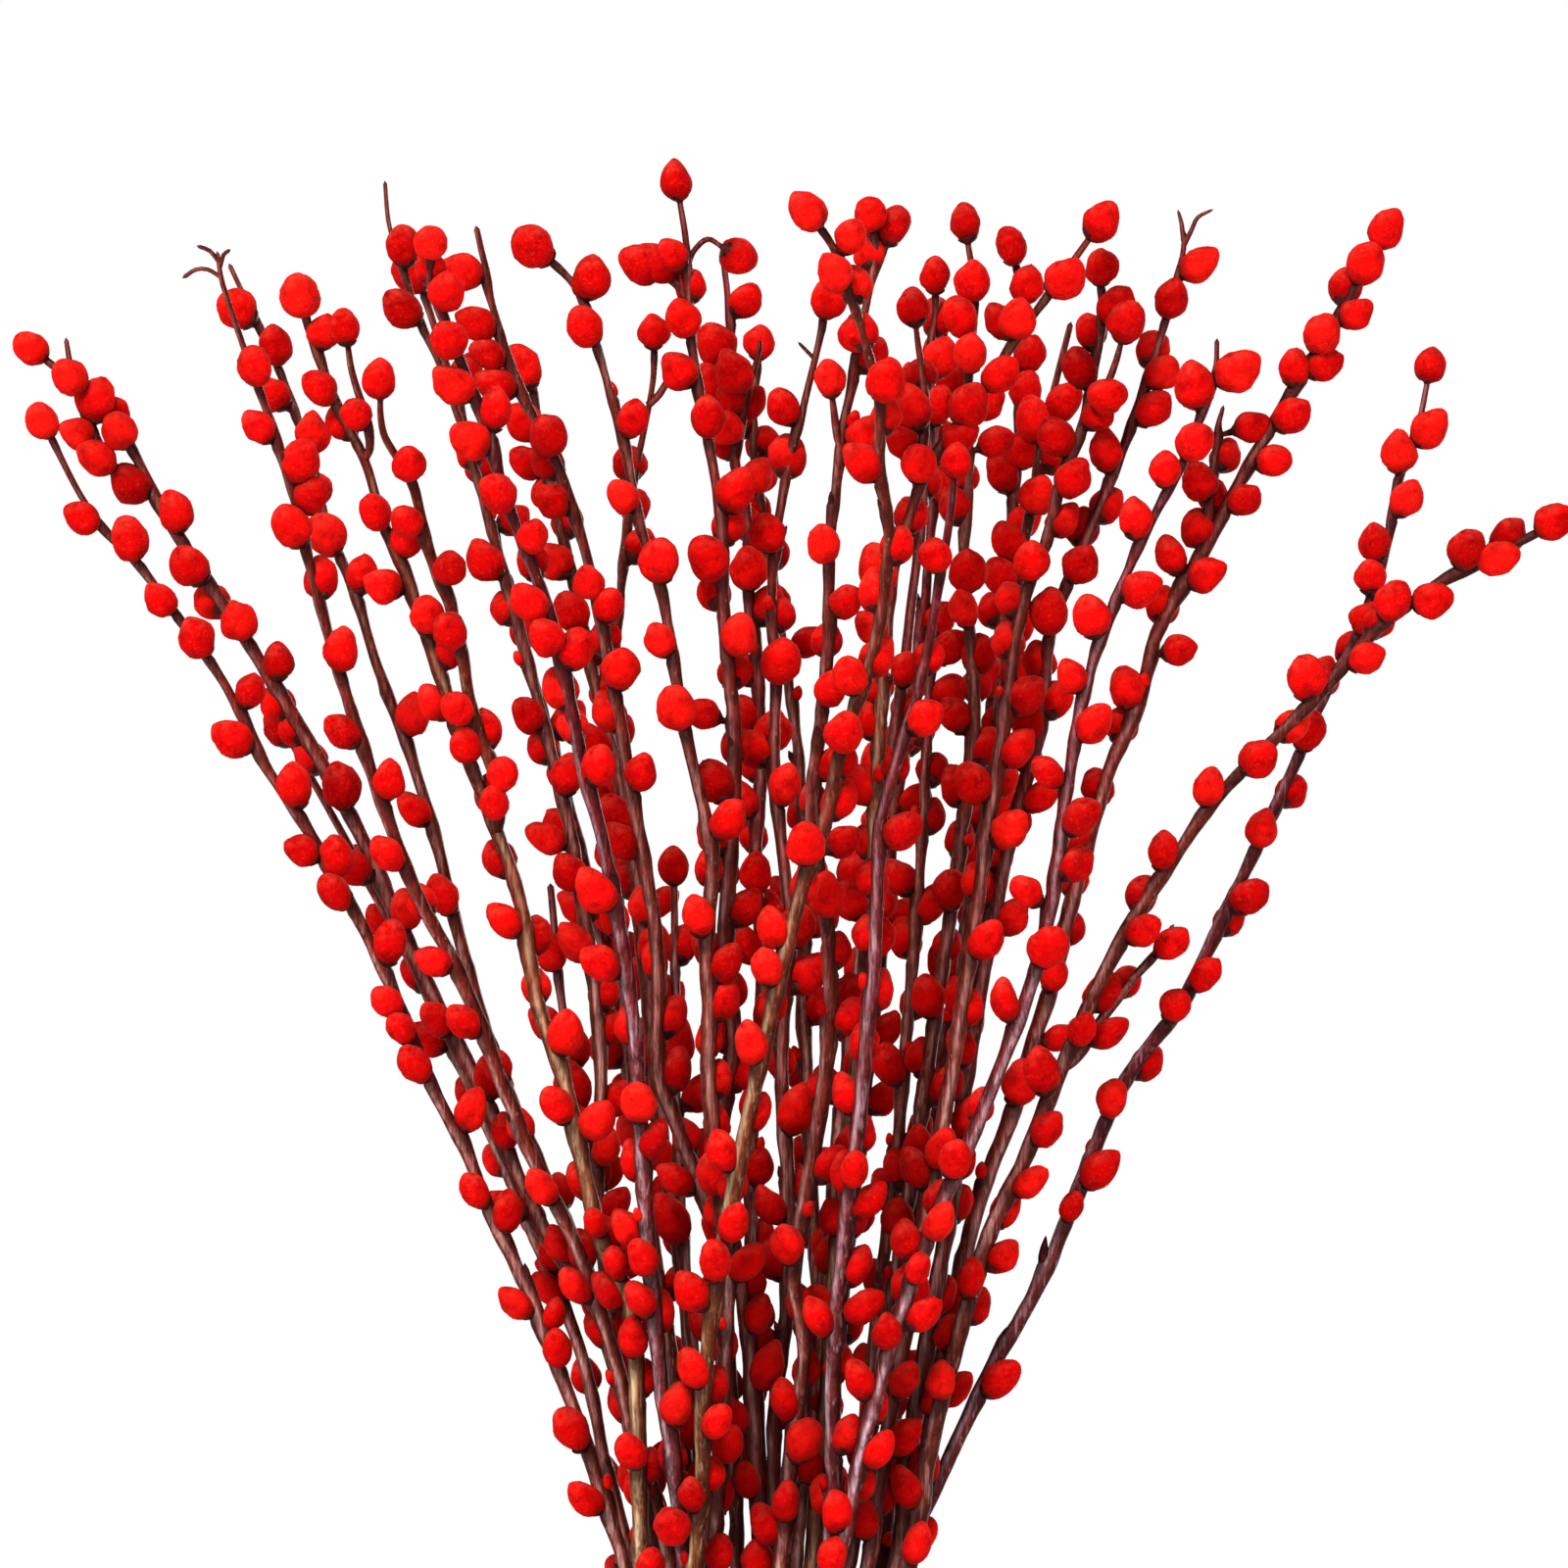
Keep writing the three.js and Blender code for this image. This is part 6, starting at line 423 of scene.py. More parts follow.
         [0, 662.2, 282, 34, 2.6, 23.3, 18.4], [0, 635.9, 57, 23, 2.6, 16.8, 14.6], [0, 606.6, 20, 34, 2.6, 18.8, 16.1],
         [0, 573.7, 104, 30, 2.6, 16.9, 14.6], [0, 539.8, 17, 31, 2.6, 19.2, 16.1], [0, 502.5, 241, 31, 2.6, 19.7, 17],
         [0, 474.8, 87, 22, 2.6, 17.2, 14.6], [0, 444.5, 81, 34, 2.6, 17.6, 14.6], [0, 412.1, 307, 24, 2.6, 21.4, 18.4],
         [0, 373.1, 154, 34, 2.6, 18.9, 16.1], [1, 896.9, 999, 0, 1.6, 18.5, 14.6], [2, 965.5, 999, 0, 1.6, 19.4, 15.1],
         [0, 430, 186, 21, 2.4, 19, 15], [0, 385, 270, 21, 2.4, 19, 15],
     ]},
    {"name": "branch_22",
     "shoots": [
         [6.84, 2.87, [[4.4, -13.5, 8.4], [18.1, -13.6, 78.5], [22.4, -17.3, 118.7], [23.8, -17.4, 138.7], [24.4, -13.8, 173.3],
             [25.6, -5.6, 217.5], [32.5, 4.2, 286.7], [42.1, 15.4, 351], [44.1, 17.9, 371], [53.7, 17.5, 456.2],
             [61.6, 26.6, 521.1], [68.1, 31.1, 581.3], [77.1, 35.5, 696.8], [82.4, 44.5, 795.5]]],
     ],
     "catkins": [
         [0, 777.1, 339, 43, 2.6, 18.9, 14.6], [0, 755.5, 21, 38, 2.6, 20.4, 16.1], [0, 738.4, 121, 28, 2.6, 16.5, 14.6],
         [0, 720.7, 64, 35, 2.6, 18.2, 16.1], [0, 698.2, 58, 27, 2.6, 18, 16.1], [0, 669.4, 160, 38, 2.6, 18.6, 16.1],
         [0, 656.7, 22, 24, 2.6, 19.4, 16.1], [0, 640.7, 115, 31, 2.6, 20.6, 16.1], [0, 612.5, 75, 33, 2.6, 17.4, 14.6],
         [0, 581, 211, 27, 2.6, 20.1, 16.5], [0, 546.6, 25, 34, 2.6, 20.4, 16.1], [0, 524.6, 117, 27, 2.6, 19.8, 16.1],
         [0, 485.6, 109, 34, 2.6, 18.8, 14.6], [0, 445.1, 115, 24, 2.6, 17.3, 14.6], [0, 404, 91, 31, 2.6, 20.5, 16.1],
         [0, 379.8, 112, 30, 2.6, 17, 14.6],
     ]},
    {"name": "branch_23",
     "shoots": [
         [6.84, 2.6, [[-20.7, -20.4, 8.4], [-19, -20.4, 49.3], [-15.4, -17.4, 88.8], [-10.1, -14.7, 113.5], [4.8, -10.2, 167.9],
             [7.7, -2.2, 222.2], [16, 4.3, 276.7], [18.8, 19, 365.9], [29.7, 28.7, 455.7], [37.1, 40.2, 540.8],
             [43.2, 46.4, 596], [53.4, 54.8, 676.6], [67.8, 64.2, 767.5], [80.7, 75.6, 878.9], [80.7, 79.7, 919.6],
             [84.1, 82.3, 945], [83.2, 83.9, 960.3]]],
     ],
     "catkins": [
         [0, 948.8, 272, 29, 2.6, 18, 15.1], [0, 929.8, 76, 31, 2.6, 18.7, 14.6], [0, 909.5, 334, 25, 2.6, 20.1, 16.5],
         [0, 896.9, 167, 23, 2.6, 20.9, 16.1], [0, 887.4, 299, 35, 2.6, 20.1, 16.5], [0, 869.9, 196, 40, 2.6, 18, 16.1],
         [0, 853.8, 80, 24, 2.6, 17, 14.6], [0, 836.7, 122, 30, 2.6, 20.1, 16.5], [0, 765.3, 276, 24, 2.6, 17.2, 14.6],
         [0, 750.7, 63, 33, 2.6, 18.5, 14.6], [0, 734.6, 60, 25, 2.6, 19.6, 16.1], [0, 717.9, 234, 31, 2.6, 22.4, 18.4],
         [0, 696, 99, 33, 2.6, 17.5, 14.6], [0, 668.2, 208, 29, 2.6, 21.9, 18.4], [0, 657.6, 38, 30, 2.6, 18.3, 16.1],
         [0, 629.5, 96, 32, 2.6, 18.4, 14.6], [0, 602, 106, 35, 2.6, 17.1, 14.6], [0, 573.1, 164, 34, 2.6, 18.3, 14.6],
         [0, 536.9, 115, 32, 2.6, 17.5, 14.6], [0, 500.6, 107, 31, 2.6, 16.9, 14.6], [0, 463.1, 157, 32, 2.6, 20.1, 16.1],
         [0, 427.2, 66, 29, 2.6, 18.7, 14.6], [0, 391.3, 69, 26, 2.6, 17.6, 14.6],
     ]},
    {"name": "branch_24",
     "shoots": [
         [6.84, 2.86, [[35.8, -30.1, 8.4], [40.8, -26.8, 30.1], [49.6, -12.7, 83.4], [50.8, -7.6, 102.8], [45.7, 4.6, 181.6],
             [35.1, 22.3, 280.4], [39.3, 41.3, 359.5], [36.9, 60.4, 439.2], [53.7, 84.7, 600.3], [65.1, 104, 706.7],
             [81, 125.4, 824.1], [89.6, 147.9, 948]]],
     ],
     "catkins": [
         [0, 934.3, 122, 28, 2.6, 18.8, 16.1], [0, 918.4, 103, 28, 2.6, 17.3, 14.6], [0, 900.8, 329, 29, 2.6, 19.8, 16.1],
         [0, 878.8, 76, 33, 2.6, 16.9, 14.6], [0, 852.4, 325, 29, 2.6, 22.3, 18.4], [0, 791.1, 18, 35, 2.6, 20.1, 16.1],
         [0, 764.2, 69, 33, 2.6, 18.6, 14.6], [0, 735.6, 67, 32, 2.6, 18.2, 14.6], [0, 707.1, 11, 34, 2.6, 18.4, 16.1],
         [0, 681.6, 149, 26, 2.6, 18.7, 16.1], [0, 652.6, 12, 34, 2.6, 18.3, 16.1], [0, 625.9, 111, 31, 2.6, 16.5, 14.6],
         [0, 597.8, 321, 32, 2.6, 19, 15.1], [0, 568.4, 16, 34, 2.6, 18.4, 16.1], [0, 540.2, 122, 23, 2.6, 18.6, 14.6],
         [0, 513.4, 62, 26, 2.6, 18.6, 16.1], [0, 488, 80, 25, 2.6, 17.6, 14.6], [0, 461.6, 64, 27, 2.6, 19.6, 16.1],
         [0, 426.3, 106, 29, 2.6, 18.1, 14.6], [0, 389.7, 86, 26, 2.6, 18.2, 14.6],
     ]},
    {"name": "branch_25",
     "shoots": [
         [7.55, 3.16, [[19.7, 32.4, 8.4], [22.9, 16.8, 70.2], [25.3, 14.6, 85.5], [25.7, 11.9, 100.8], [18.4, 4, 151.6],
             [16.2, 0.8, 176.9], [14, -11, 242.9], [18.5, -21, 283.5], [33.8, -35.6, 364.1], [36.4, -52.5, 464.3],
             [45.1, -71.1, 549.1], [54.1, -83.1, 643.1], [57.1, -92.1, 702.3], [61.2, -95.3, 722], [75.7, -103.5, 771.2],
             [86.9, -114.3, 834.8], [89.8, -118.6, 860.2]]],
     ],
     "catkins": [
         [0, 860.2, 999, 0, 1.6, 16.4, 14.6], [0, 817, 241, 33, 2.6, 17.9, 15.1], [0, 769.6, 82, 29, 2.6, 17.9, 14.6],
         [0, 744.9, 321, 31, 2.6, 20.1, 16.5], [0, 720.2, 80, 24, 2.6, 17.2, 14.6], [0, 693.9, 340, 46, 2.6, 20.1, 16.5],
         [0, 668.3, 112, 24, 2.6, 18, 14.6], [0, 643.5, 118, 28, 2.6, 17.6, 14.6], [0, 617.7, 65, 30, 2.6, 19.7, 16.1],
         [0, 593.7, 95, 27, 2.6, 18.9, 14.6], [0, 570, 137, 30, 2.6, 19.2, 16.1], [0, 551.7, 76, 31, 2.6, 18.7, 14.6],
         [0, 532.9, 113, 25, 2.6, 19.4, 16.1], [0, 513.7, 74, 35, 2.6, 17.7, 14.6], [0, 492.2, 35, 25, 2.6, 18.8, 16.1],
         [0, 477.9, 344, 45, 2.6, 20.1, 16.5], [0, 447, 78, 30, 2.6, 18.6, 14.6], [0, 415.6, 345, 22, 2.6, 18.3, 15.1],
         [0, 385.7, 114, 24, 2.6, 18.5, 14.6], [0, 540, 270, 33, 2.4, 19, 15], [0, 470, 186, 33, 2.4, 19, 15],
         [0, 525, 354, 33, 2.4, 19, 15],
     ]},
    {"name": "branch_26",
     "shoots": [
         [7.08, 2.6, [[-8.1, -5.4, 8.4], [-9.3, -2.9, 22.3], [-7.6, -8.7, 53], [-8.9, -13.6, 78.5], [-6.2, -16.3, 93.7],
             [-0.3, -18.5, 123.9], [3.4, -19.8, 153.9], [5.9, -18.6, 168.7], [10.8, -14.9, 188.3], [21.5, -12.2, 223],
             [24.3, -5.9, 257.5], [41.4, 1.5, 351.9], [49.5, 2.6, 406.9], [59.9, 7.7, 466.7], [71.9, 7.5, 541.8],
             [89.1, 18.8, 656.8], [98.8, 22.2, 727], [101.1, 23.1, 762.2], [96.5, 26.2, 827.5], [98.5, 28, 857.6],
             [99, 31, 918], [101.7, 32.4, 948.2], [98.5, 33.4, 972.3]]],
     ],
     "catkins": [
         [0, 972.3, 999, 0, 1.6, 19.4, 15.1], [0, 943.8, 262, 28, 2.6, 20.1, 16.5], [0, 927.1, 222, 34, 2.6, 20.7, 16.1],
         [0, 911, 273, 35, 2.6, 20.1, 16.5], [0, 889.7, 348, 36, 2.6, 19.7, 16.1], [0, 876.1, 346, 69, 4.1, 17.7, 14.6],
         [0, 855.5, 119, 25, 2.6, 17.9, 14.6], [0, 840.4, 153, 27, 2.6, 19.1, 16.1], [0, 809.7, 277, 33, 2.6, 22.6, 18.4],
         [0, 793.1, 255, 27, 2.6, 18.9, 14.6], [0, 772.1, 58, 23, 2.6, 19.6, 16.1], [0, 759.5, 84, 35, 2.6, 17.4, 14.6],
         [0, 744.4, 162, 36, 2.6, 18.3, 16.1], [0, 729.2, 34, 27, 2.6, 19.9, 16.1], [0, 710.2, 144, 26, 2.6, 20.2, 16.1],
         [0, 686.5, 91, 24, 2.6, 18.8, 14.6], [0, 662.6, 262, 32, 2.6, 20.1, 16.5], [0, 638.9, 84, 25, 2.6, 17.6, 14.6],
         [0, 612.5, 236, 27, 2.6, 20.1, 16.5], [0, 585.3, 114, 24, 2.6, 19.6, 16.1], [0, 574, 14, 30, 2.6, 20.5, 16.1],
         [0, 555.6, 82, 35, 2.6, 18, 14.6], [0, 533.1, 135, 32, 2.6, 20.1, 16.5], [0, 512.2, 251, 33, 2.6, 19.3, 17],
         [0, 484.7, 85, 34, 2.6, 17.9, 14.6], [0, 456.5, 51, 33, 2.6, 18.5, 14.6], [0, 428.6, 14, 32, 2.6, 18.2, 16.1],
         [0, 404.8, 62, 22, 2.6, 16.9, 14.6], [0, 379.6, 300, 30, 2.6, 17.3, 14.6], [0, 367, 145, 34, 2.6, 19.8, 16.1],
         [0, 545, 270, 21, 2.4, 19, 15],
     ]},
    {"name": "branch_27",
     "shoots": [
         [7.08, 2.6, [[-9.8, -32.3, 8.4], [-5.4, -29.1, 50.3], [-1.1, -24.2, 89.6], [15.6, -14, 143.4], [23.8, -3.9, 182.3],
             [32.6, 15.5, 285.9], [53.6, 37.6, 359.7], [57.3, 44.8, 384.5], [62.8, 51.1, 414.4], [71.3, 59.2, 479.6],
             [97.3, 81.7, 651], [118.8, 110.4, 834], [124.7, 124.2, 921], [123.7, 129.8, 957], [120.6, 132.8, 976]]],
     ],
     "catkins": [
         [0, 964.3, 261, 34, 2.6, 19.6, 15.1], [0, 945.7, 306, 25, 2.6, 18.9, 16.1], [0, 929.9, 200, 38, 2.6, 20.6, 16.1],
         [0, 913.2, 301, 29, 2.6, 18.4, 16.1], [0, 896.3, 301, 28, 2.6, 18.7, 16.1], [0, 868.4, 299, 34, 2.6, 21, 17],
         [0, 856.7, 205, 25, 2.6, 20.3, 16.1], [0, 836.3, 343, 29, 2.6, 17.7, 14.6], [0, 814.7, 60, 24, 2.6, 19, 14.6],
         [0, 795, 114, 34, 2.6, 19.5, 16.1], [0, 778.7, 69, 26, 2.6, 17.5, 14.6], [0, 761.4, 241, 27, 2.6, 19.6, 16.1],
         [0, 732.8, 64, 24, 2.6, 18.8, 14.6], [0, 705.6, 20, 36, 2.6, 18.6, 16.1], [0, 680.2, 89, 27, 2.6, 18.3, 14.6],
         [0, 654.9, 68, 34, 2.6, 18.8, 14.6], [0, 627.6, 38, 26, 2.6, 20.7, 16.1], [0, 600, 120, 28, 2.6, 16.4, 14.6],
         [0, 569.7, 115, 32, 2.6, 18.9, 14.6], [0, 541, 118, 31, 2.6, 16.6, 14.6], [0, 510.1, 291, 27, 2.6, 20.6, 16.1],
         [0, 490.8, 103, 33, 2.6, 18.3, 14.6], [0, 469.1, 138, 27, 2.6, 20.4, 16.1], [0, 432.2, 104, 32, 2.6, 16.7, 14.6],
         [0, 391.8, 109, 28, 2.6, 16.8, 14.6],
     ]},
    {"name": "branch_28",
     "shoots": [
         [7.08, 2.86, [[27.9, -20.3, 8.4], [29.4, -14.9, 23.7], [32.9, -12.1, 38.4], [42.2, -14.3, 88.5], [50.5, -12.5, 128.2],
             [45.1, -1.5, 212.1], [40.4, 7.5, 261.4], [40.2, 12.2, 286.1], [58.4, 22.9, 360.6], [63.2, 33.5, 425.3],
             [70.5, 36.9, 495.6], [75.4, 40.5, 530.7], [83.2, 45.8, 575.9], [102.6, 54.1, 681.6], [120.7, 66.3, 807.9],
             [137.7, 75.4, 899.2], [146.6, 79.1, 936.4]]],
     ],
     "catkins": [
         [0, 891, 322, 32, 2.6, 20, 16.1], [0, 878.4, 205, 27, 2.6, 23, 18.4], [0, 867, 19, 36, 2.6, 20.7, 16.1],
         [0, 846.3, 283, 28, 2.6, 19.9, 17], [0, 824.4, 193, 35, 2.6, 19.5, 16.1], [0, 808.9, 200, 38, 2.6, 18.7, 16.1],
         [0, 788.6, 63, 32, 2.6, 17.4, 14.6], [0, 764.8, 348, 23, 2.6, 20.1, 16.5], [0, 741.8, 98, 25, 2.6, 17.6, 14.6],
         [0, 716.8, 43, 35, 2.6, 18, 16.1], [0, 697.8, 105, 29, 2.6, 17.2, 14.6], [0, 677.6, 154, 24, 2.6, 19, 16.1],
         [0, 653.9, 68, 34, 2.6, 20.6, 16.1], [0, 627.9, 163, 34, 2.6, 18.5, 16.1], [0, 603.7, 21, 34, 2.6, 19.1, 16.1],
         [0, 571.8, 92, 32, 2.6, 18.1, 14.6], [0, 539.6, 81, 31, 2.6, 18.4, 14.6], [0, 507.7, 116, 26, 2.6, 16.5, 14.6],
         [0, 475.4, 96, 31, 2.6, 17.8, 14.6], [0, 442.9, 49, 28, 2.6, 17.4, 14.6], [0, 397.6, 114, 23, 2.6, 18.6, 14.6],
     ]},
    {"name": "branch_29",
     "shoots": [
         [7.55, 2.9, [[-1.8, 16.4, 8.4], [1.6, 16.8, 25], [2.9, 15.5, 35.2], [3, 2.6, 106.7], [-1.9, -4.9, 167.5],
             [-1.3, -8.6, 192.8], [7.8, -14, 263.1], [25.2, -16.6, 363], [35.8, -20.8, 492.8], [42.4, -27.1, 557.7],
             [50.9, -38.1, 642.5], [62.1, -57.7, 811.1], [74.4, -63.9, 855.6], [80.8, -65.4, 870.4], [103.1, -66.9, 900],
             [118.7, -67.4, 924.7], [151.5, -68.7, 969.9]]],
         [3.6, 2.27, [[78.7, -64.9, 865.4], [76.2, -63.8, 870.4], [77.7, -58.5, 895.3], [73.7, -53.1, 930.4]]],
     ],
     "catkins": [
         [0, 969.9, 999, 0, 1.6, 20.1, 16.5], [0, 944.3, 283, 34, 2.6, 22.3, 18.4], [0, 923, 225, 35, 2.6, 20.1, 16.5],
         [0, 901, 287, 27, 2.6, 20.1, 16.5], [0, 884.5, 251, 25, 2.6, 21.7, 18.4], [0, 873.8, 333, 25, 2.6, 18.8, 14.6],
         [0, 857.8, 237, 34, 2.6, 20.1, 16.5], [0, 835.2, 86, 31, 2.6, 18, 14.6], [0, 807.9, 198, 24, 2.6, 23, 18.4],
         [0, 785.9, 200, 41, 2.6, 16.6, 14.6], [0, 757.3, 118, 29, 2.6, 18.1, 16.1], [0, 740.6, 137, 31, 2.6, 20.1, 16.1],
         [0, 711.5, 162, 33, 2.6, 19.8, 16.1], [0, 686, 116, 34, 2.6, 17, 14.6], [0, 658.6, 168, 32, 2.6, 18.3, 16.1],
         [0, 643.3, 300, 34, 2.6, 20.1, 16.5], [0, 616.1, 235, 28, 2.6, 19.6, 17], [0, 583.7, 85, 32, 2.6, 17.8, 14.6],
         [0, 547.2, 281, 32, 2.6, 21.9, 17], [0, 514.9, 237, 24, 2.6, 17.3, 14.6], [0, 495.4, 107, 35, 2.6, 18.3, 14.6],
         [0, 475.5, 227, 32, 2.6, 17, 15.1], [0, 430.9, 80, 29, 2.6, 16.9, 14.6], [0, 387.7, 347, 42, 2.6, 17.8, 14.6],
         [1, 930.4, 999, 0, 1.6, 19, 15.1], [1, 900.7, 94, 29, 2.6, 17.3, 14.6], [1, 881, 218, 29, 2.6, 22.6, 18.4],
         [1, 871.4, 199, 44, 2.6, 17.2, 15.1], [0, 400, 228, 21, 2.4, 19, 15],
     ]},
    {"name": "branch_30",
     "shoots": [
         [7.32, 2.63, [[-7.9, 8.6, 8.4], [-8.3, 3.1, 31.6], [-5.6, 1.8, 41.8], [0.3, 2.8, 61.7], [2.7, 1, 71.9],
             [4.8, -4.3, 97.4], [4.2, -8.9, 122.9], [5.7, -11.7, 138.1], [16.8, -17.8, 178.6], [19.1, -20.8, 198.8],
             [25.2, -23.8, 243.9], [26, -19.9, 273.5], [28.5, -17.1, 293.2], [38.1, -17.7, 323.2], [51.4, -20.9, 363.3],
             [57, -22.7, 403.2], [69.2, -16.2, 472.7], [89.5, -25, 587.6], [112.6, -28.5, 741.9], [120, -26.3, 791.7],
             [124.8, -24.9, 811.6], [134.2, -23.8, 836.5], [140.1, -23.2, 861.5], [148.5, -23, 881.4], [152.8, -23.5, 896.3],
             [158.6, -28.3, 941], [155.9, -31.8, 963.8]]],
         [3.6, 2.39, [[149.9, -23.2, 886.4], [161.3, -35, 905.9], [165, -40.9, 915.7], [167.2, -46, 923.9]]],
     ],
     "catkins": [
         [0, 949.4, 284, 31, 2.6, 19.6, 15.1], [0, 932.3, 329, 32, 2.6, 20.3, 17], [0, 918.7, 126, 28, 2.6, 17.6, 14.6],
         [0, 901.6, 197, 29, 2.6, 20.1, 16.5], [0, 884.1, 322, 26, 2.6, 17.1, 14.6], [0, 870.7, 199, 52, 2.6, 20.1, 16.5],
         [0, 853.9, 312, 33, 2.6, 19.9, 17], [0, 835.7, 42, 27, 2.6, 18.6, 14.6], [0, 813.8, 249, 34, 2.6, 20.1, 16.5],
         [0, 796.9, 132, 38, 2.6, 19, 16.1], [0, 778.1, 116, 31, 2.6, 19.3, 16.1], [0, 753.8, 6, 34, 2.6, 20.8, 16.1],
         [0, 729.6, 13, 31, 2.6, 20.8, 16.1], [0, 712.3, 195, 40, 2.6, 20.1, 16.5], [0, 693.6, 342, 39, 2.6, 20.1, 16.5],
         [0, 667.6, 102, 26, 2.6, 18.3, 14.6], [0, 642.1, 322, 31, 2.6, 20.1, 16.5], [0, 610.9, 59, 24, 2.6, 16.9, 14.6],
         [0, 575.2, 88, 33, 2.6, 18.5, 14.6], [0, 546, 285, 27, 2.6, 20.1, 16.5], [0, 513.4, 70, 24, 2.6, 18.1, 14.6],
         [0, 479.9, 276, 30, 2.6, 20.1, 16.5], [0, 447.7, 96, 28, 2.6, 18, 14.6], [0, 414.1, 330, 32, 2.6, 20.1, 16.5],
         [0, 386, 69, 24, 2.6, 17.6, 14.6], [1, 923.9, 999, 0, 1.6, 22, 17], [1, 895, 294, 29, 2.6, 21.9, 17],
         [0, 440, 291, 33, 2.4, 19, 15], [0, 535, 186, 33, 2.4, 19, 15], [0, 375, 228, 21, 2.4, 19, 15],
     ]},
    {"name": "branch_31",
     "shoots": [
         [8.02, 2.37, [[15.7, 4.5, 8.4], [20.2, -0.5, 27.1], [32.7, -6.8, 67.7], [36.2, -8.7, 102.9], [33.5, -11.8, 133.2],
             [36.5, -13.5, 148.3], [44.2, -13.9, 183.3], [45.8, -13.2, 198.2], [45.3, -13.1, 213.1], [42.5, -13, 243],
             [39.1, -10.8, 262.8], [40.3, -3.9, 297.3], [41.3, -3.9, 307.3], [47.7, -6.4, 327.4], [64.3, -7.5, 362.5],
             [70.9, -5.2, 417.3], [80.1, -6.8, 472.3], [91.7, -3.8, 542.1], [96.7, -3.5, 587.1], [112.6, -6.1, 677],
             [130.8, -8.7, 752], [135.4, -12.1, 791.9], [140.2, -12.7, 806.8], [170.6, -12.8, 881.7], [188.8, -15.2, 936.5],
             [195.5, -16, 961.4], [196.9, -16.4, 974.3]]],
         [2.16, 1.41, [[196.6, -16.3, 971.6], [195.6, -18.8, 979.6], [194.2, -21.3, 984.4]]],
         [2.16, 1.29, [[196.3, -16.3, 968.9], [200.1, -17.9, 976.9], [202.8, -19.6, 982.3], [208.6, -21.3, 985.3]]],
     ],
     "catkins": [
         [0, 953.7, 339, 36, 2.6, 20.1, 16.5], [0, 935.1, 263, 30, 2.6, 20.1, 16.5], [0, 911.7, 104, 34, 2.6, 20.1, 16.5],
         [0, 903.9, 326, 32, 2.6, 18.2, 16.1], [0, 886.9, 336, 31, 2.6, 20.1, 16.5], [0, 863.1, 198, 30, 2.6, 20.1, 16.5],
         [0, 842.1, 62, 29, 2.6, 19.4, 16.1], [0, 829.5, 116, 31, 2.6, 20, 16.1], [0, 814.3, 288, 28, 2.6, 20.1, 16.5],
         [0, 789.4, 248, 22, 2.6, 22.9, 18.4], [0, 767.7, 117, 29, 2.6, 19.7, 16.1], [0, 751.2, 26, 23, 2.6, 19.6, 16.1],
         [0, 739.3, 207, 22, 2.6, 20.1, 16.5], [0, 725.8, 112, 24, 2.6, 17.4, 14.6], [0, 710.2, 348, 37, 2.6, 18.1, 14.6],
         [0, 695, 85, 24, 2.6, 17.3, 14.6], [0, 678.7, 118, 25, 2.6, 19.8, 16.1], [0, 662.8, 162, 30, 2.6, 20.6, 16.1],
         [0, 653, 17, 32, 2.6, 19, 16.1], [0, 633.6, 120, 27, 2.6, 16.7, 14.6], [0, 613.2, 164, 32, 2.6, 18.8, 16.1],
         [0, 591.1, 231, 27, 2.6, 19.6, 15.1], [0, 559.2, 288, 25, 2.6, 18.5, 14.6], [0, 539.7, 73, 28, 2.6, 17.9, 14.6],
         [0, 520, 67, 33, 2.6, 18.8, 16.1], [0, 478.2, 62, 25, 2.6, 18.4, 14.6], [0, 438.3, 72, 33, 2.6, 17.2, 14.6],
         [0, 395.9, 113, 30, 2.6, 19, 14.6],
     ]},
    {"name": "branch_32",
     "shoots": [
         [7.55, 2.16, [[-36.2, 29.4, 8.4], [-29.9, 16, 50.2], [-26, 1.7, 91.8], [-22.9, -4, 112.4], [-8, -15.3, 183.4],
             [34.8, -42.2, 354.6], [55.1, -59.2, 444.8], [81.3, -67.7, 524.3], [97.2, -72.5, 559], [127.1, -85.5, 638.2],
             [136.7, -94.2, 687.6], [142.9, -102, 731.8], [152.1, -109.9, 776], [173, -119.5, 829.8], [193.2, -126.5, 868.9],
             [207, -133.5, 907.8], [207.5, -136, 921.4]]],
     ],
     "catkins": [
         [0, 902, 338, 41, 2.6, 23.5, 18.4], [0, 889.2, 206, 31, 2.6, 23.1, 18.4], [0, 867.9, 284, 27, 2.6, 20.1, 16.5],
         [0, 854.1, 217, 34, 2.6, 18, 14.6], [0, 830.1, 194, 28, 2.6, 20.1, 16.5], [0, 805.2, 338, 40, 2.6, 20.1, 16.5],
         [0, 786, 194, 36, 2.6, 20.4, 17], [0, 762.3, 197, 40, 2.6, 17, 14.6], [0, 741.5, 330, 29, 2.6, 20.1, 16.5],
         [0, 720.5, 194, 49, 2.6, 16.9, 14.6], [0, 698.9, 338, 34, 2.6, 20.1, 16.1], [0, 678.6, 13, 35, 2.6, 18.3, 16.1],
         [0, 667, 197, 60, 2.6, 17, 14.6], [0, 639.9, 286, 34, 2.6, 23.3, 18.4], [0, 612.7, 197, 31, 2.6, 19.2, 15.1],
         [0, 566.3, 99, 33, 2.6, 16.9, 14.6], [0, 542.2, 247, 32, 2.6, 20.1, 16.1], [0, 523.4, 99, 33, 2.6, 18.2, 14.6],
         [0, 502.4, 165, 31, 2.6, 18.9, 16.1], [0, 483.3, 113, 27, 2.6, 17.8, 14.6], [0, 463.7, 228, 25, 2.6, 17.3, 14.6],
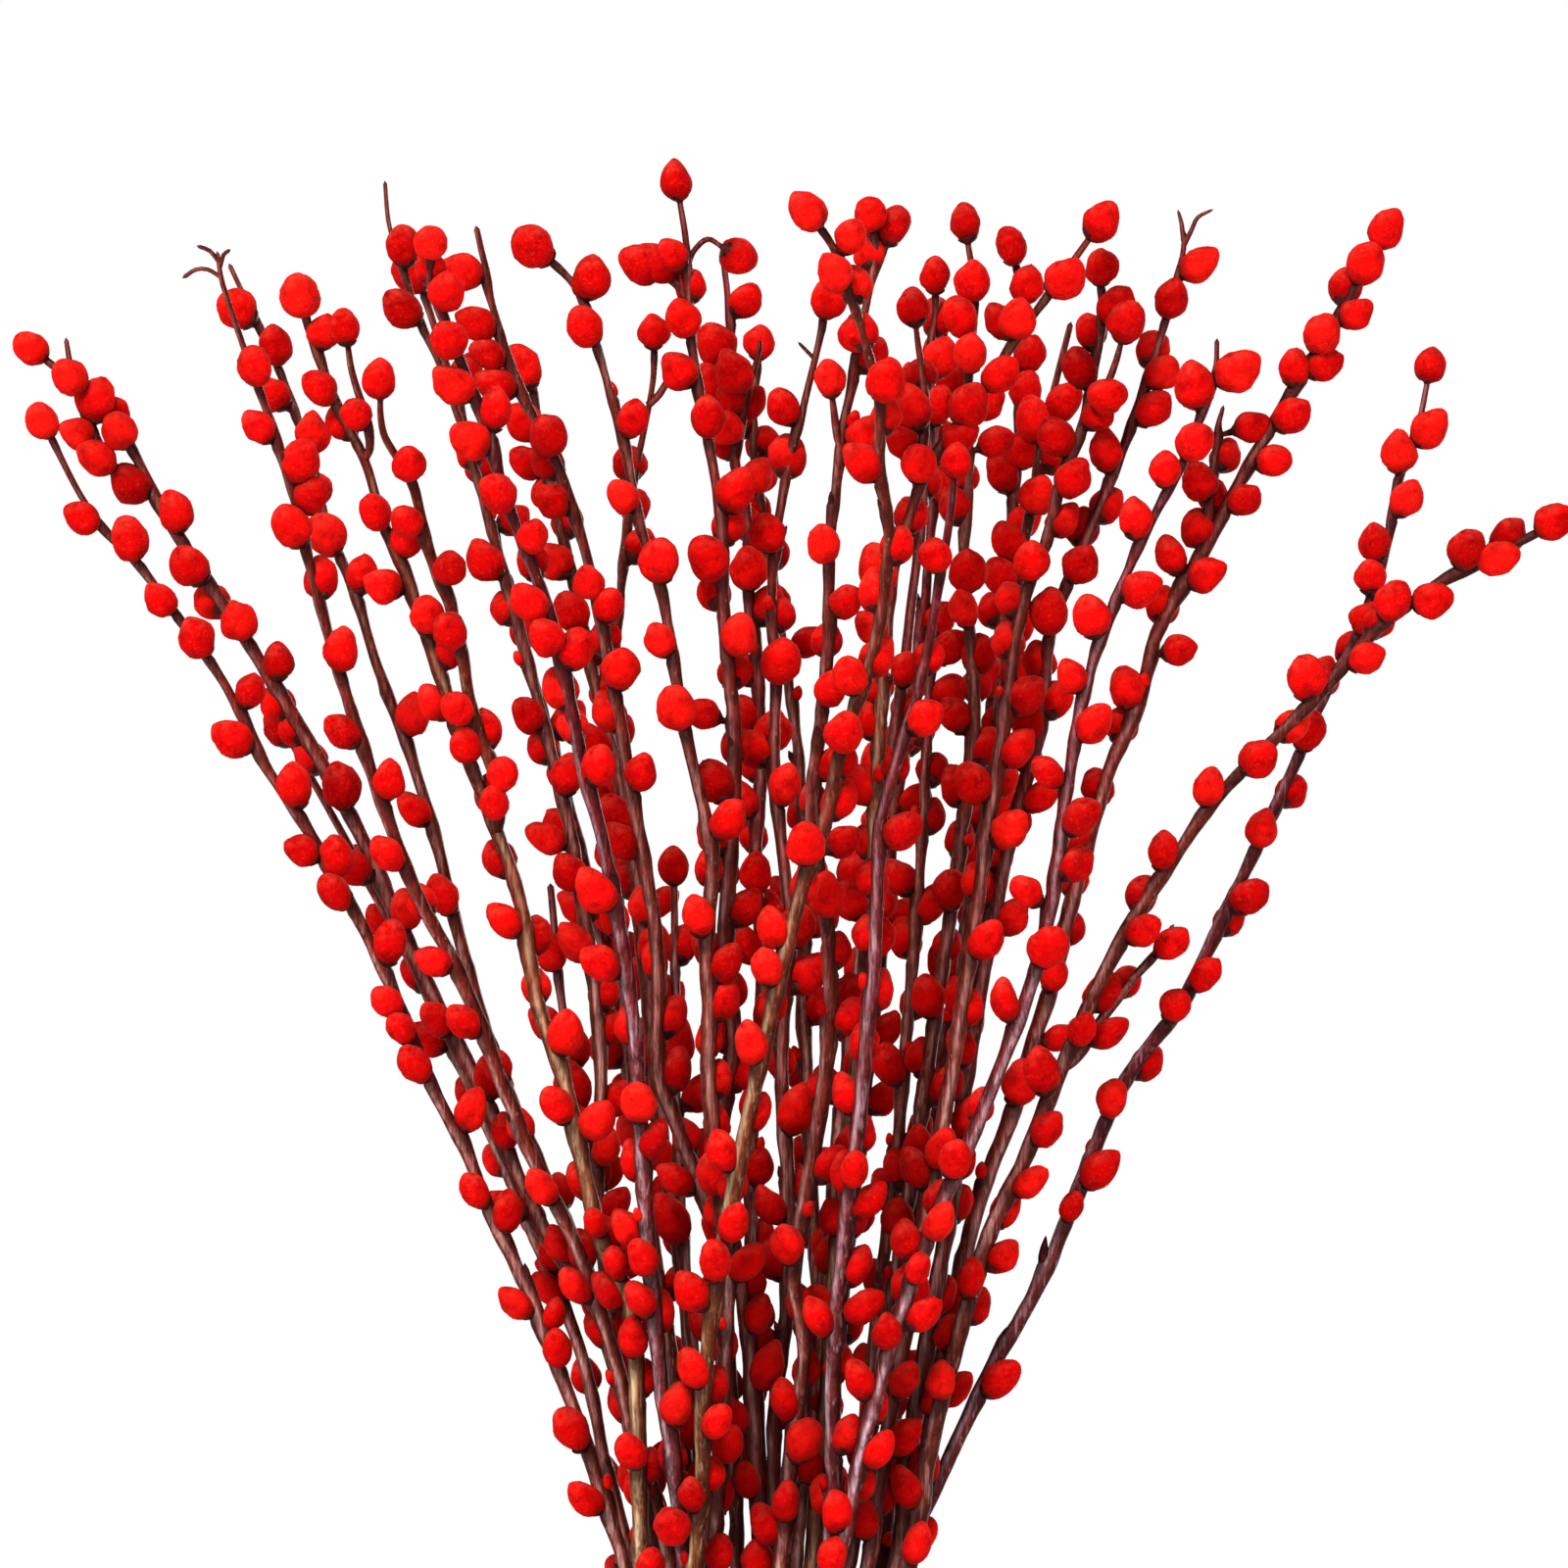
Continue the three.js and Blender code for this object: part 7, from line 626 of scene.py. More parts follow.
         [0, 428.3, 83, 27, 2.6, 17.7, 14.6], [0, 393.3, 75, 33, 2.6, 17.5, 14.6], [0, 410, 354, 21, 2.4, 19, 15],
         [0, 380, 207, 21, 2.4, 19, 15], [0, 515, 291, 21, 2.4, 19, 15], [0, 440, 186, 33, 2.4, 19, 15],
         [0, 360, 249, 21, 2.4, 19, 15], [0, 495, 270, 33, 2.4, 16.5, 13.4], [0, 475, 354, 33, 2.4, 19, 15],
     ]},
    {"name": "branch_33",
     "shoots": [
         [8.2, 3.13, [[-15.7, -14.1, 8.4], [-4.9, -11.9, 28.4], [4.4, -15.3, 53.7], [7.9, -24.6, 89.6], [14.4, -24.3, 114.5],
             [22.4, -23.9, 164.2], [26.4, -21, 183.9], [28.1, -16.7, 203.5], [37.8, -2.4, 257.2], [43.1, 4.7, 296.7],
             [67, 13.5, 361.2], [70.3, 15.6, 381.1], [95.4, 23.1, 501.2], [106.6, 24.1, 541.3], [117.1, 24.9, 566.4],
             [137.4, 27.9, 631.6], [144.4, 29.6, 661.7], [162.8, 33.9, 727], [176, 36.6, 757.2], [186.4, 40.8, 792.5],
             [193.7, 42.9, 807.6], [211.7, 46.4, 837.9], [224.8, 47.7, 863.1], [253.7, 46.9, 913.5], [267.2, 46.8, 933.6],
             [280.2, 47.1, 958.8], [293.8, 47.6, 980.6]]],
         [4.08, 1.93, [[211.7, 46.4, 837.9], [210.1, 47, 842.9], [210.7, 48.1, 853], [215.3, 52.9, 888.4], [217.1, 54.3, 896.9]]],
     ],
     "catkins": [
         [0, 969.8, 266, 31, 2.6, 21.1, 17], [0, 952.7, 268, 26, 2.6, 22.1, 17], [0, 942.1, 124, 24, 2.6, 19.5, 16.1],
         [0, 935.3, 328, 34, 2.6, 18, 15.1], [0, 920.6, 249, 32, 2.6, 20.9, 18.4], [0, 911.6, 339, 32, 2.6, 18.7, 14.6],
         [0, 904.3, 219, 28, 2.6, 18.5, 14.6], [0, 886.5, 321, 29, 2.6, 20.1, 17], [0, 869.6, 343, 42, 2.6, 17.5, 15.1],
         [0, 848.5, 314, 35, 2.6, 17.2, 14.6], [0, 829.4, 164, 35, 2.6, 19, 16.1], [0, 813.7, 340, 31, 2.6, 19.5, 15.1],
         [0, 816.4, 193, 54, 2.6, 19.6, 15.1], [0, 795.3, 116, 28, 2.6, 19.9, 16.1], [0, 782.9, 342, 66, 3.1, 16.9, 14.6],
         [0, 754, 195, 30, 2.6, 20.1, 16.5], [0, 740.1, 113, 34, 2.6, 19.2, 16.1], [0, 711.3, 112, 35, 2.6, 19.5, 16.1],
         [0, 689, 198, 37, 2.6, 20.1, 16.5], [0, 668.2, 102, 25, 2.6, 17.9, 14.6], [0, 648.5, 70, 34, 2.6, 16.5, 14.6],
         [0, 624.7, 262, 25, 2.6, 17.3, 14.6], [0, 603.3, 347, 55, 2.6, 16.7, 14.6], [0, 572.4, 259, 23, 2.6, 22.1, 18.4],
         [0, 468.9, 281, 26, 2.6, 20.1, 16.5], [0, 435.7, 13, 32, 2.6, 18.5, 14.6], [0, 394.7, 74, 28, 2.6, 17.8, 14.6],
         [1, 884.7, 343, 69, 7.1, 17.3, 15.1], [1, 866.9, 57, 32, 2.6, 17.5, 14.6], [1, 846.1, 65, 29, 2.6, 18.6, 14.6],
         [1, 851.9, 220, 33, 2.6, 19.2, 17],
     ]},
    {"name": "branch_34",
     "shoots": [
         [7.08, 2.6, [[-45, -2.8, 8.4], [-17.2, -13.3, 118.3], [0.8, -16.6, 183.5], [17.5, -17, 233.4], [29.6, -13.1, 268],
             [36.2, -13.2, 288], [44.9, -12, 302.8], [55.2, -5.7, 322.4], [68.2, 4, 361.8], [68.5, 4.8, 366.7],
             [79.5, 7.3, 391.6], [110.2, 6.8, 456.7], [132.5, 6.3, 496.8], [165.3, 7.1, 576.8], [177.4, 7.4, 596.8],
             [193.4, 7.7, 616.9], [199.4, 7.9, 626.9], [248.8, 9.6, 732], [261, 10.1, 762.1], [277.7, 10.5, 792.1],
             [290.6, 11.2, 832.2], [296, 11.7, 862.3], [305.1, 12.1, 887.3], [309.3, 12.4, 907.4]]],
     ],
     "catkins": [
         [0, 907.4, 999, 0, 1.6, 17.1, 15.1], [0, 877.6, 318, 31, 2.6, 21, 17], [0, 863.6, 231, 25, 2.6, 20.4, 17],
         [0, 844.4, 317, 29, 2.6, 19, 14.6], [0, 822.2, 217, 29, 2.6, 18.9, 15.1], [0, 807.8, 238, 26, 2.6, 16.6, 14.6],
         [0, 790.3, 272, 25, 2.6, 16.6, 14.6], [0, 777.1, 85, 28, 2.6, 16.9, 14.6], [0, 761.7, 120, 27, 2.6, 18.9, 16.1],
         [0, 736.2, 264, 23, 2.6, 20.1, 16.5], [0, 712.4, 64, 33, 2.6, 18.3, 16.1], [0, 692.7, 252, 28, 2.6, 18.4, 15.1],
         [0, 663.6, 323, 30, 2.6, 19.9, 17], [0, 653.1, 62, 33, 2.6, 17, 14.6], [0, 626.9, 295, 27, 2.6, 18.6, 14.6],
         [0, 611.7, 249, 34, 2.6, 17, 15.1], [0, 587.2, 65, 31, 2.6, 18.9, 16.1], [0, 567.9, 260, 33, 2.6, 19.3, 15.1],
         [0, 536.4, 315, 29, 2.6, 21.7, 17], [0, 441, 310, 29, 2.6, 21.6, 17], [0, 369.2, 302, 29, 2.6, 17.1, 14.6],
         [0, 520, 270, 21, 2.4, 14.5, 12],
     ]},
    {"name": "branch_35",
     "shoots": [
         [8.2, 2.89, [[8.7, 11.9, 8.4], [8.7, -1.9, 62.2], [10.9, -5.6, 77.6], [18.2, -8.7, 112.9], [30.5, -9.5, 157.9],
             [37.6, -17.7, 203.5], [37.9, -19.4, 218.6], [35, -20.4, 263.6], [35.1, -22, 288.6], [37.5, -21.4, 298.5],
             [52.8, -19.6, 328.3], [70.3, -20.2, 363.2], [82.1, -23.2, 428.1], [102.8, -24.1, 502.9], [110, -23.9, 522.8],
             [122.1, -24.2, 547.7], [146.5, -27.6, 607.5], [168.2, -29.5, 652.3], [203.8, -30.7, 707.1], [215.9, -31.2, 722],
             [251.3, -32.6, 756.8], [282.6, -34.3, 791.6], [294, -34.8, 801.5], [316, -35.6, 816.4], [370, -37, 844.2]]],
         [4.32, 2.19, [[140.4, -26.7, 592.6], [146.7, -25.4, 597.5], [156.7, -21.8, 612.4], [171.8, -17.5, 632.3], [185.5, -14.7, 647.2],
             [191.6, -12.9, 657.4]]],
     ],
     "catkins": [
         [0, 836.9, 254, 35, 2.6, 21.1, 17], [0, 826.8, 154, 27, 2.6, 20.3, 16.1], [0, 822.8, 307, 26, 2.6, 20.1, 16.5],
         [0, 818.6, 194, 37, 2.6, 19.4, 17], [0, 804.5, 316, 35, 2.6, 19.8, 17], [0, 795.2, 221, 33, 2.6, 21.3, 17],
         [0, 788, 116, 27, 2.6, 18.2, 14.6], [0, 776.1, 324, 28, 2.6, 18, 15.1], [0, 757.8, 193, 43, 2.6, 21.6, 18.4],
         [0, 742.5, 71, 24, 2.6, 18.4, 14.6], [0, 727.6, 280, 29, 2.6, 19.9, 17], [0, 709.8, 208, 31, 2.6, 18.2, 14.6],
         [0, 679.9, 198, 27, 2.6, 18.3, 14.6], [0, 661.6, 118, 27, 2.6, 18.5, 16.1], [0, 650.5, 326, 32, 2.6, 17.7, 15.1],
         [0, 618.2, 67, 31, 2.6, 20.9, 16.1], [0, 602.7, 278, 27, 2.6, 16.5, 14.6], [0, 577.8, 215, 34, 2.6, 23.3, 18.4],
         [0, 557, 302, 27, 2.6, 18.6, 15.1], [0, 534.7, 326, 31, 2.6, 17.9, 15.1], [0, 518.3, 68, 27, 2.6, 18.7, 14.6],
         [0, 500.1, 21, 35, 2.6, 17.5, 15.1], [0, 474.8, 67, 33, 2.6, 18.4, 16.1], [0, 458.9, 111, 35, 2.6, 19.8, 16.1],
         [0, 429.6, 108, 27, 2.6, 16.6, 14.6], [0, 398, 97, 23, 2.6, 20.3, 16.1], [1, 643.4, 293, 34, 2.6, 18.2, 14.6],
         [1, 624.9, 98, 32, 2.6, 17.1, 14.6], [1, 603.3, 331, 27, 2.6, 18.7, 14.6], [0, 365, 270, 21, 2.4, 19, 15],
         [0, 440, 249, 33, 2.4, 19, 15], [0, 485, 249, 21, 2.4, 19, 15], [0, 390, 207, 33, 2.4, 19, 15],
     ]},
]

# bark colouring by branch: the others are dark reddish brown
OLIVE = ["branch_06", "branch_19", "branch_29"]
LILAC = ["branch_09", "branch_25", "branch_32", "branch_34"]

rng = np.random.default_rng(20)


# ------------------------------------------------------------------ small helpers
def unit(v):
    n = np.linalg.norm(v)
    return v / n if n > 1e-12 else v


def square_to(t, v):
    return unit(v - t * np.dot(v, t))


def taper(shoot, f):
    return shoot[0] + (shoot[1] - shoot[0]) * np.power(f, TAPER_POWER)


def height_share(shoot, z):
    lo, hi = shoot[2][0][2], shoot[2][-1][2]
    return min(1.0, max(0.0, (z - lo) / max(hi - lo, 1.0)))


def point_at(pts, z):
    last = len(pts) - 1
    h = min(max(z, pts[0][2]), pts[last][2])
    for i in range(last):
        a, b = pts[i], pts[i + 1]
        if h <= b[2] or i == last - 1:
            f = min(1.0, max(0.0, (h - a[2]) / (b[2] - a[2]))) if b[2] - a[2] > 1e-6 else 1.0
            return np.array([a[k] + (b[k] - a[k]) * f for k in range(3)])
    return np.array(pts[last], float)


def direction_at(pts, z):
    lo, hi = pts[0][2], pts[-1][2]
    h = min(max(z, lo), hi)
    return unit(point_at(pts, min(hi, h + 8)) - point_at(pts, max(lo, h - 8)))


def catkin_pose(shoot, c):
    """Start on the shoot, axis, and a side direction."""
    _, z, azimuth, angle, cup, length, width = c
    pts = shoot[2]
    if azimuth == 999:
        end = np.array(pts[-1], float)
        axis = unit(end - np.array(pts[-2], float))
        return end - axis * TIP_SINK, axis, square_to(axis, np.array([1.0, 0, 0]))
    t = direction_at(pts, z)
    a = math.radians(azimuth)
    h = square_to(t, np.array([math.cos(a), math.sin(a), 0.0]))
    off = math.radians(angle)
    axis = t * math.cos(off) + h * math.sin(off)
    start = point_at(pts, z) + h * CATKIN_SEAT * taper(shoot, height_share(shoot, z)) / 2
    return start, axis, square_to(axis, t)


class Lump:
    """Smooth, seeded 3-D noise from a few sine waves, in -1..1."""

    def __init__(self, seed, waves=7, scale=1.0):
        r = np.random.default_rng(seed)
        self.k = r.normal(size=(waves, 3)) * scale
        self.p = r.uniform(0, 2 * math.pi, waves)

    def __call__(self, q):
        return np.sin(q @ self.k.T + self.p).mean(axis=-1) * 1.6


class Crowding:
    """How full the bunch is around a spot, from a coarse grid: 0 in the open, 1 in the thickest part; it sets the
    painted shade inside the bunch.
    """

    CELL = 7.0

    def __init__(self, spots, volumes, sigma):
        self.lo = spots.min(0) - 90
        shape = np.ceil((spots.max(0) + 90 - self.lo) / self.CELL).astype(int) + 1
        grid = np.zeros(shape)
        at = ((spots - self.lo) / self.CELL).round().astype(int)
        np.add.at(grid, tuple(at.T), volumes)
        half = int(3 * sigma / self.CELL)
        kernel = np.exp(-0.5 * (np.arange(-half, half + 1) * self.CELL / sigma) ** 2)
        kernel /= kernel.sum()
        for axis in range(3):
            grid = np.apply_along_axis(np.convolve, axis, grid, kernel, mode="same")
        self.grid = grid / self.CELL**3
        self.a, self.b = 0.0, 1.0

    def raw(self, p):
        q = np.clip((p - self.lo) / self.CELL, 0, np.array(self.grid.shape) - 1.001)
        i = q.astype(int)
        f = q - i
        out = np.zeros(q.shape[:-1])
        for dx in (0, 1):
            for dy in (0, 1):
                for dz in (0, 1):
                    w = ((f[..., 0] if dx else 1 - f[..., 0]) * (f[..., 1] if dy else 1 - f[..., 1])
                         * (f[..., 2] if dz else 1 - f[..., 2]))
                    out += w * self.grid[i[..., 0] + dx, i[..., 1] + dy, i[..., 2] + dz]
        return out

    def __call__(self, p):
        return np.clip((self.raw(p) - self.a) / (self.b - self.a), 0, 1)


class MeshMaker:
    def __init__(self):
        self.v, self.f4, self.f3, self.n = [], [], [], 0
        self.mat4, self.mat3 = [], []
        self.attr = {}

    def add(self, verts, quads=None, tris=None, **attrs):
        verts = np.asarray(verts, float)
        self.v.append(verts)
        if quads is not None and len(quads):
            self.f4.append(np.asarray(quads, int) + self.n)
        if tris is not None and len(tris):
            self.f3.append(np.asarray(tris, int) + self.n)
        for k, a in attrs.items():
            a = np.broadcast_to(np.asarray(a, float), (len(verts),))
            self.attr.setdefault(k, []).append(a)
        self.n += len(verts)

    def build(self, name, material, **whole):
        for k, value in whole.items():
            self.attr[k] = [np.full(self.n, float(value))]
        v = np.concatenate(self.v) * MM
        loops, starts, totals = [], [], []
        pos = 0
        for arr, k in ((self.f4, 4), (self.f3, 3)):
            if not arr:
                continue
            a = np.concatenate(arr)
            loops.append(a.ravel())
            starts.append(pos + k * np.arange(len(a)))
            totals.append(np.full(len(a), k))
            pos += a.size
        loops = np.concatenate(loops)
        starts = np.concatenate(starts)
        totals = np.concatenate(totals)
        me = bpy.data.meshes.new(name)
        me.vertices.add(len(v))
        me.vertices.foreach_set("co", v.ravel())
        me.loops.add(len(loops))
        me.loops.foreach_set("vertex_index", loops)
        me.polygons.add(len(starts))
        me.polygons.foreach_set("loop_start", starts)
        me.polygons.foreach_set("loop_total", totals)
        me.polygons.foreach_set("use_smooth", np.ones(len(starts), bool))
        me.update(calc_edges=True)
        me.validate()
        for k, parts in self.attr.items():
            at = me.attributes.new(k, "FLOAT", "POINT")
            at.data.foreach_set("value", np.concatenate(parts))
        me.materials.append(material)
        ob = bpy.data.objects.new(name, me)
        bpy.context.scene.collection.objects.link(ob)
        return ob


def ring_quads(nr, ns):
    """Quads between nr rings of ns vertices."""
    i = np.arange(nr - 1)[:, None] * ns
    j = np.arange(ns)[None, :]
    a = i + j
    b = i + (j + 1) % ns
    return np.stack([a, b, b + ns, a + ns], -1).reshape(-1, 4)


def cap_tris(first, ns, centre, flip=False):
    j = np.arange(ns)
    a, b = first + j, first + (j + 1) % ns
    c = np.full(ns, centre)
    return np.stack([b, a, c] if flip else [a, b, c], -1)


# ------------------------------------------------------------------ stems and shoots
def smooth_line(pts, step):
    """Catmull-Rom through the points, about `step` mm apart."""
    p = np.array(pts, float)
    if len(p) == 2:
        n = max(2, int(np.linalg.norm(p[1] - p[0]) / step))
        t = np.linspace(0, 1, n + 1)[:, None]
        return p[0] + (p[1] - p[0]) * t
    ext = np.vstack([2 * p[0] - p[1], p, 2 * p[-1] - p[-2]])
    out = []
    for i in range(1, len(ext) - 2):
        p0, p1, p2, p3 = ext[i - 1], ext[i], ext[i + 1], ext[i + 2]
        d = np.linalg.norm(p2 - p1)
        n = max(1, int(round(d / step)))
        # tension grows where neighbouring spans differ, so that the curve doesn't swing out
        m1 = (p2 - p0) / (np.linalg.norm(p2 - p1) + np.linalg.norm(p1 - p0)) * d
        m2 = (p3 - p1) / (np.linalg.norm(p3 - p2) + np.linalg.norm(p2 - p1)) * d
        t = (np.arange(n) / n)[:, None]
        h00, h10 = 2 * t**3 - 3 * t**2 + 1, t**3 - 2 * t**2 + t
        h01, h11 = -2 * t**3 + 3 * t**2, t**3 - t**2
        out.append(h00 * p1 + h10 * m1 + h01 * p2 + h11 * m2)
    out.append(p[-1:])
    return np.concatenate(out)


def add_shoot(mk, shoot, nodes, seed, main, tip_bare, slender=0.0, sides=12, step=3.6):
    """nodes: [(z, unit direction of the catkin)] that swell the shoot and bend it a little."""
    line = smooth_line(shoot[2], step if main else 2.2)
    lump = Lump(seed, 6, 0.05)
    lump2 = Lump(seed + 1, 6, 0.05)
    n = len(line)
    z = line[:, 2]
    seg = np.linalg.norm(np.diff(line, axis=0), axis=1)
    run = np.concatenate([[0], np.cumsum(seg)])
    share = run / run[-1]
    hs = np.clip((z - shoot[2][0][2]) / max(shoot[2][-1][2] - shoot[2][0][2], 1.0), 0, 1)
    if shoot[2][-1][2] - shoot[2][0][2] < 25:
        hs = share
    radius = (shoot[0] + (shoot[1] - shoot[0]) * hs**TAPER_POWER) / 2 * 1.06
    radius *= 1 - slender * np.clip((620 - z) / 200, 0, 1)
    # slight wander, less inside the vase
    amp = np.clip((z - 330) / 80, 0, 1) * 0.28
    line = line + np.stack([lump(line), lump2(line), np.zeros(n)], -1) * amp[:, None]
    # small zigzag: the shoot leans away from each bud just above it
    for (zn, h) in nodes:
        w = np.exp(-((z - zn - 4) / 7.0) ** 2)
        line = line - h * (0.62 * w)[:, None]
    t = np.gradient(line, axis=0)
    t /= np.linalg.norm(t, axis=1, keepdims=True)
    u = np.zeros_like(t)
    cur = square_to(t[0], np.array([1.0, 0.0, 0.0]))
    for i in range(n):
        cur = square_to(t[i], cur)
        u[i] = cur
    w = np.cross(t, u)
    ang = np.arange(sides) * 2 * math.pi / sides
    dirs = u[:, None, :] * np.cos(ang)[None, :, None] + w[:, None, :] * np.sin(ang)[None, :, None]
    rr = np.repeat(radius[:, None], sides, 1)
    # faint ridges and unevenness
    q = line[:, None, :] + dirs * 3
    rr *= 1 + 0.055 * Lump(seed + 2, 8, 0.16)(q) + 0.032 * Lump(seed + 3, 8, 0.6)(q)
    node_at = np.zeros((n, sides))
    grow = min(1.0, shoot[0] / 5.0)
    for (zn, h) in nodes:
        dz = z - zn
        g = np.exp(-(dz / 3.6) ** 2) + 0.55 * np.exp(-((dz + 4.5) / 5.5) ** 2)
        face = np.clip(dirs @ h, 0, 1) ** 1.5
        rr += (1.15 * g[:, None] * face + 0.28 * g[:, None]) * grow
        node_at = np.maximum(node_at, (g[:, None] * (0.25 + 0.75 * face)))
    verts = line[:, None, :] + dirs * rr[:, :, None]
    # painted highlight: a lighter strip along the front-left side, and a fainter one behind; a broader lobe round them
    # marks the lit side, and the rest of the bark gets painted shade
    rs = np.random.default_rng(seed + 9)
    sun, open_side = np.zeros((n, sides)), np.zeros((n, sides))
    for facing, level in ((-112, 1.0), (62, 0.75)):
        a = math.radians(facing + rs.uniform(-26, 26))
        turn = a + 0.30 * np.sin(z / rs.uniform(60, 110) + rs.uniform(0, 6.3))
        want = np.stack([np.cos(turn), np.sin(turn), np.zeros(n)], -1)
        want -= t * np.sum(want * t, 1)[:, None]
        want /= np.linalg.norm(want, axis=1, keepdims=True)
        dot = np.einsum("ijk,ik->ij", dirs, want)
        sun = np.maximum(sun, level * ((1 + dot) / 2) ** 15)
        open_side = np.maximum(open_side, ((1 + dot) / 2) ** 3)
    # painted shade: darker on the sides that face into the crowded bunch
    deep = crowd(line[:, None, :] + dirs * 17.0)
    if main:
        verts[0, :, 2] = shoot[2][0][2]
    vv = verts.reshape(-1, 3)
    quads = ring_quads(n, sides)
    end = line[-1] + t[-1] * (1.8 if tip_bare else 0.6)
    vv = np.vstack([vv, line[0][None], end[None]])
    if main:
        vv[-2, 2] = shoot[2][0][2]
    tris = np.vstack([cap_tris(0, sides, n * sides, True), cap_tris((n - 1) * sides, sides, n * sides + 1)])
    mk.add(vv, quads, tris,
           node=np.concatenate([node_at.ravel(), [0, 0]]),
           dark=np.zeros(n * sides + 2), sun=np.concatenate([sun.ravel(), [0, 0]]),
           open_side=np.concatenate([open_side.ravel(), [0, 0]]),
           deep=np.concatenate([deep.ravel(), [0, 0]]), cut=np.concatenate([np.zeros(n * sides), [1.0 if main else 0, 0]]))


def add_bud_cup(mk, start, axis, side, cup, length, width, r):
    """The dark scale that a catkin sits in: a stalk that flares into an uneven cup."""
    sides = 12
    other = np.cross(axis, side)
    top = cup + length * r.uniform(0.13, 0.21)
    rim = width / 2 * r.uniform(0.60, 0.70)
    prof = [(-1.2, 0.9), (0.25 * cup, 1.25), (0.75 * cup, 1.7), (cup + 0.03 * length, width * 0.235),
            (cup + 0.09 * length, width * 0.315), (top, rim), (top - 0.2, rim - 0.35), (cup + 0.5, width * 0.14)]
    ang = np.arange(sides) * 2 * math.pi / sides
    # one side of the scale reaches further up, and the rim is notched
    tall = r.uniform(0, 2 * math.pi)
    rise = 1 + 0.42 * np.cos(ang - tall) + r.uniform(-0.10, 0.10, sides)
    verts = []
    for k, (h, rad) in enumerate(prof):
        hh = np.full(sides, h)
        if k in (5, 6):
            hh = cup + (h - cup) * rise
            grow = np.sqrt(np.clip(rise, 0.4, 1.5))
            rad = rad * np.clip(grow, 0.7, 1.15)
        verts.append(start + axis * hh[:, None] + (side * np.cos(ang)[:, None] + other * np.sin(ang)[:, None])
                     * np.broadcast_to(rad, (sides,))[:, None])
    vv = np.concatenate(verts + [(start - axis * 1.2)[None], (start + axis * (cup + 1.2))[None]])
    n = len(prof)
    tris = np.vstack([cap_tris(0, sides, n * sides, True), cap_tris((n - 1) * sides, sides, n * sides + 1)])
    mk.add(vv, ring_quads(n, sides), tris, node=0.0, dark=1.0, sun=0.0, open_side=1.0, deep=crowd(vv), cut=0.0)


def add_bare_bud(mk, start, axis, side, length, width, dark=1.0):
    """A closed, pointed bud lying along the shoot."""
    sides = 8
    other = np.cross(axis, side)
    ang = np.arange(sides) * 2 * math.pi / sides
    prof = [(-0.8, 0.45), (0.12, 0.85), (0.35, 1.0), (0.6, 0.82), (0.82, 0.45), (0.95, 0.2)]
    verts = [start + axis * (length * h if h > 0 else h)
             + (side * np.cos(ang)[:, None] + other * np.sin(ang)[:, None]) * (width / 2 * w) for h, w in prof]
    vv = np.concatenate(verts + [(start - axis * 0.9)[None], (start + axis * length)[None]])
    n = len(prof)
    tris = np.vstack([cap_tris(0, sides, n * sides, True), cap_tris((n - 1) * sides, sides, n * sides + 1)])
    mk.add(vv, ring_quads(n, sides), tris, node=0.0, dark=dark, sun=0.0, open_side=1.0, deep=crowd(vv), cut=0.0)


# ------------------------------------------------------------------ catkins
N_AROUND, N_ALONG = 20, 14


def add_catkin(mk, start, axis, side, cup, length, width, seed, r, around=N_AROUND, rows=N_ALONG):
    other = np.cross(axis, side)
    s = (np.arange(1, rows) / rows)
    s = 0.5 - 0.5 * np.cos(math.pi * s)
    peak = r.uniform(0.76, 0.98)
    blunt = r.uniform(0.50, 0.62)
    rad = np.sin(math.pi * s**peak) ** blunt * width / 2 * 1.03
    pointed = r.random() < 0.22
    ang = np.arange(around) * 2 * math.pi / around
    bend = r.uniform(-0.05, 0.05, 2) * width
    squash = 1 + r.uniform(-0.06, 0.06)
    c, sn = np.cos(ang), np.sin(ang)
    cen = start + axis * (cup + length * s)[:, None]
    curve = (s * (1 - s) * 4)[:, None]
    cen = cen + side * bend[0] * curve + other * bend[1] * curve
    ringd = side * c[:, None] * squash + other * sn[:, None] / squash
    verts = cen[:, None, :] + ringd[None] * rad[:, None, None]
    base = start + axis * (cup * 0.8)
    tip = start + axis * (cup + length * (1.01 if pointed else 0.99))
    vv = np.vstack([verts.reshape(-1, 3), base[None], tip[None]])
    # soft, uneven body: broad dents and small tufts
    mid = start + axis * (cup + length * 0.5)
    rel = vv - mid
    out = rel / (np.linalg.norm(rel, axis=1, keepdims=True) + 1e-9)
    broad = Lump(seed, 6, 0.30)(rel)
    fine = Lump(seed + 1, 9, 0.72)(rel)
    amt = width * (0.042 * broad + 0.020 * fine)
    amt[-2:] *= 0.3
    vv = vv + out * (amt - 0.004 * width)[:, None]
    sh = np.concatenate([np.repeat(s, around), [0.0, 1.0]])
    n = rows - 1
    tris = np.vstack([cap_tris(0, around, n * around, True),
                      cap_tris((n - 1) * around, around, n * around + 1)])
    # share of the way up, a number for each catkin, how far a spot sinks between tufts and how crowded it is there
    # (both for painted shade), and how far it faces up and a little to the front left (for a painted highlight)
    mk.add(vv, ring_quads(n, around), tris, up=sh, own=r.random(), dent=np.clip(-(broad + fine) * 0.5, 0, 1),
           crown=np.clip(out @ np.array([-0.30, -0.10, 0.95]), 0, 1), deep=crowd(mid + out * 19.0))


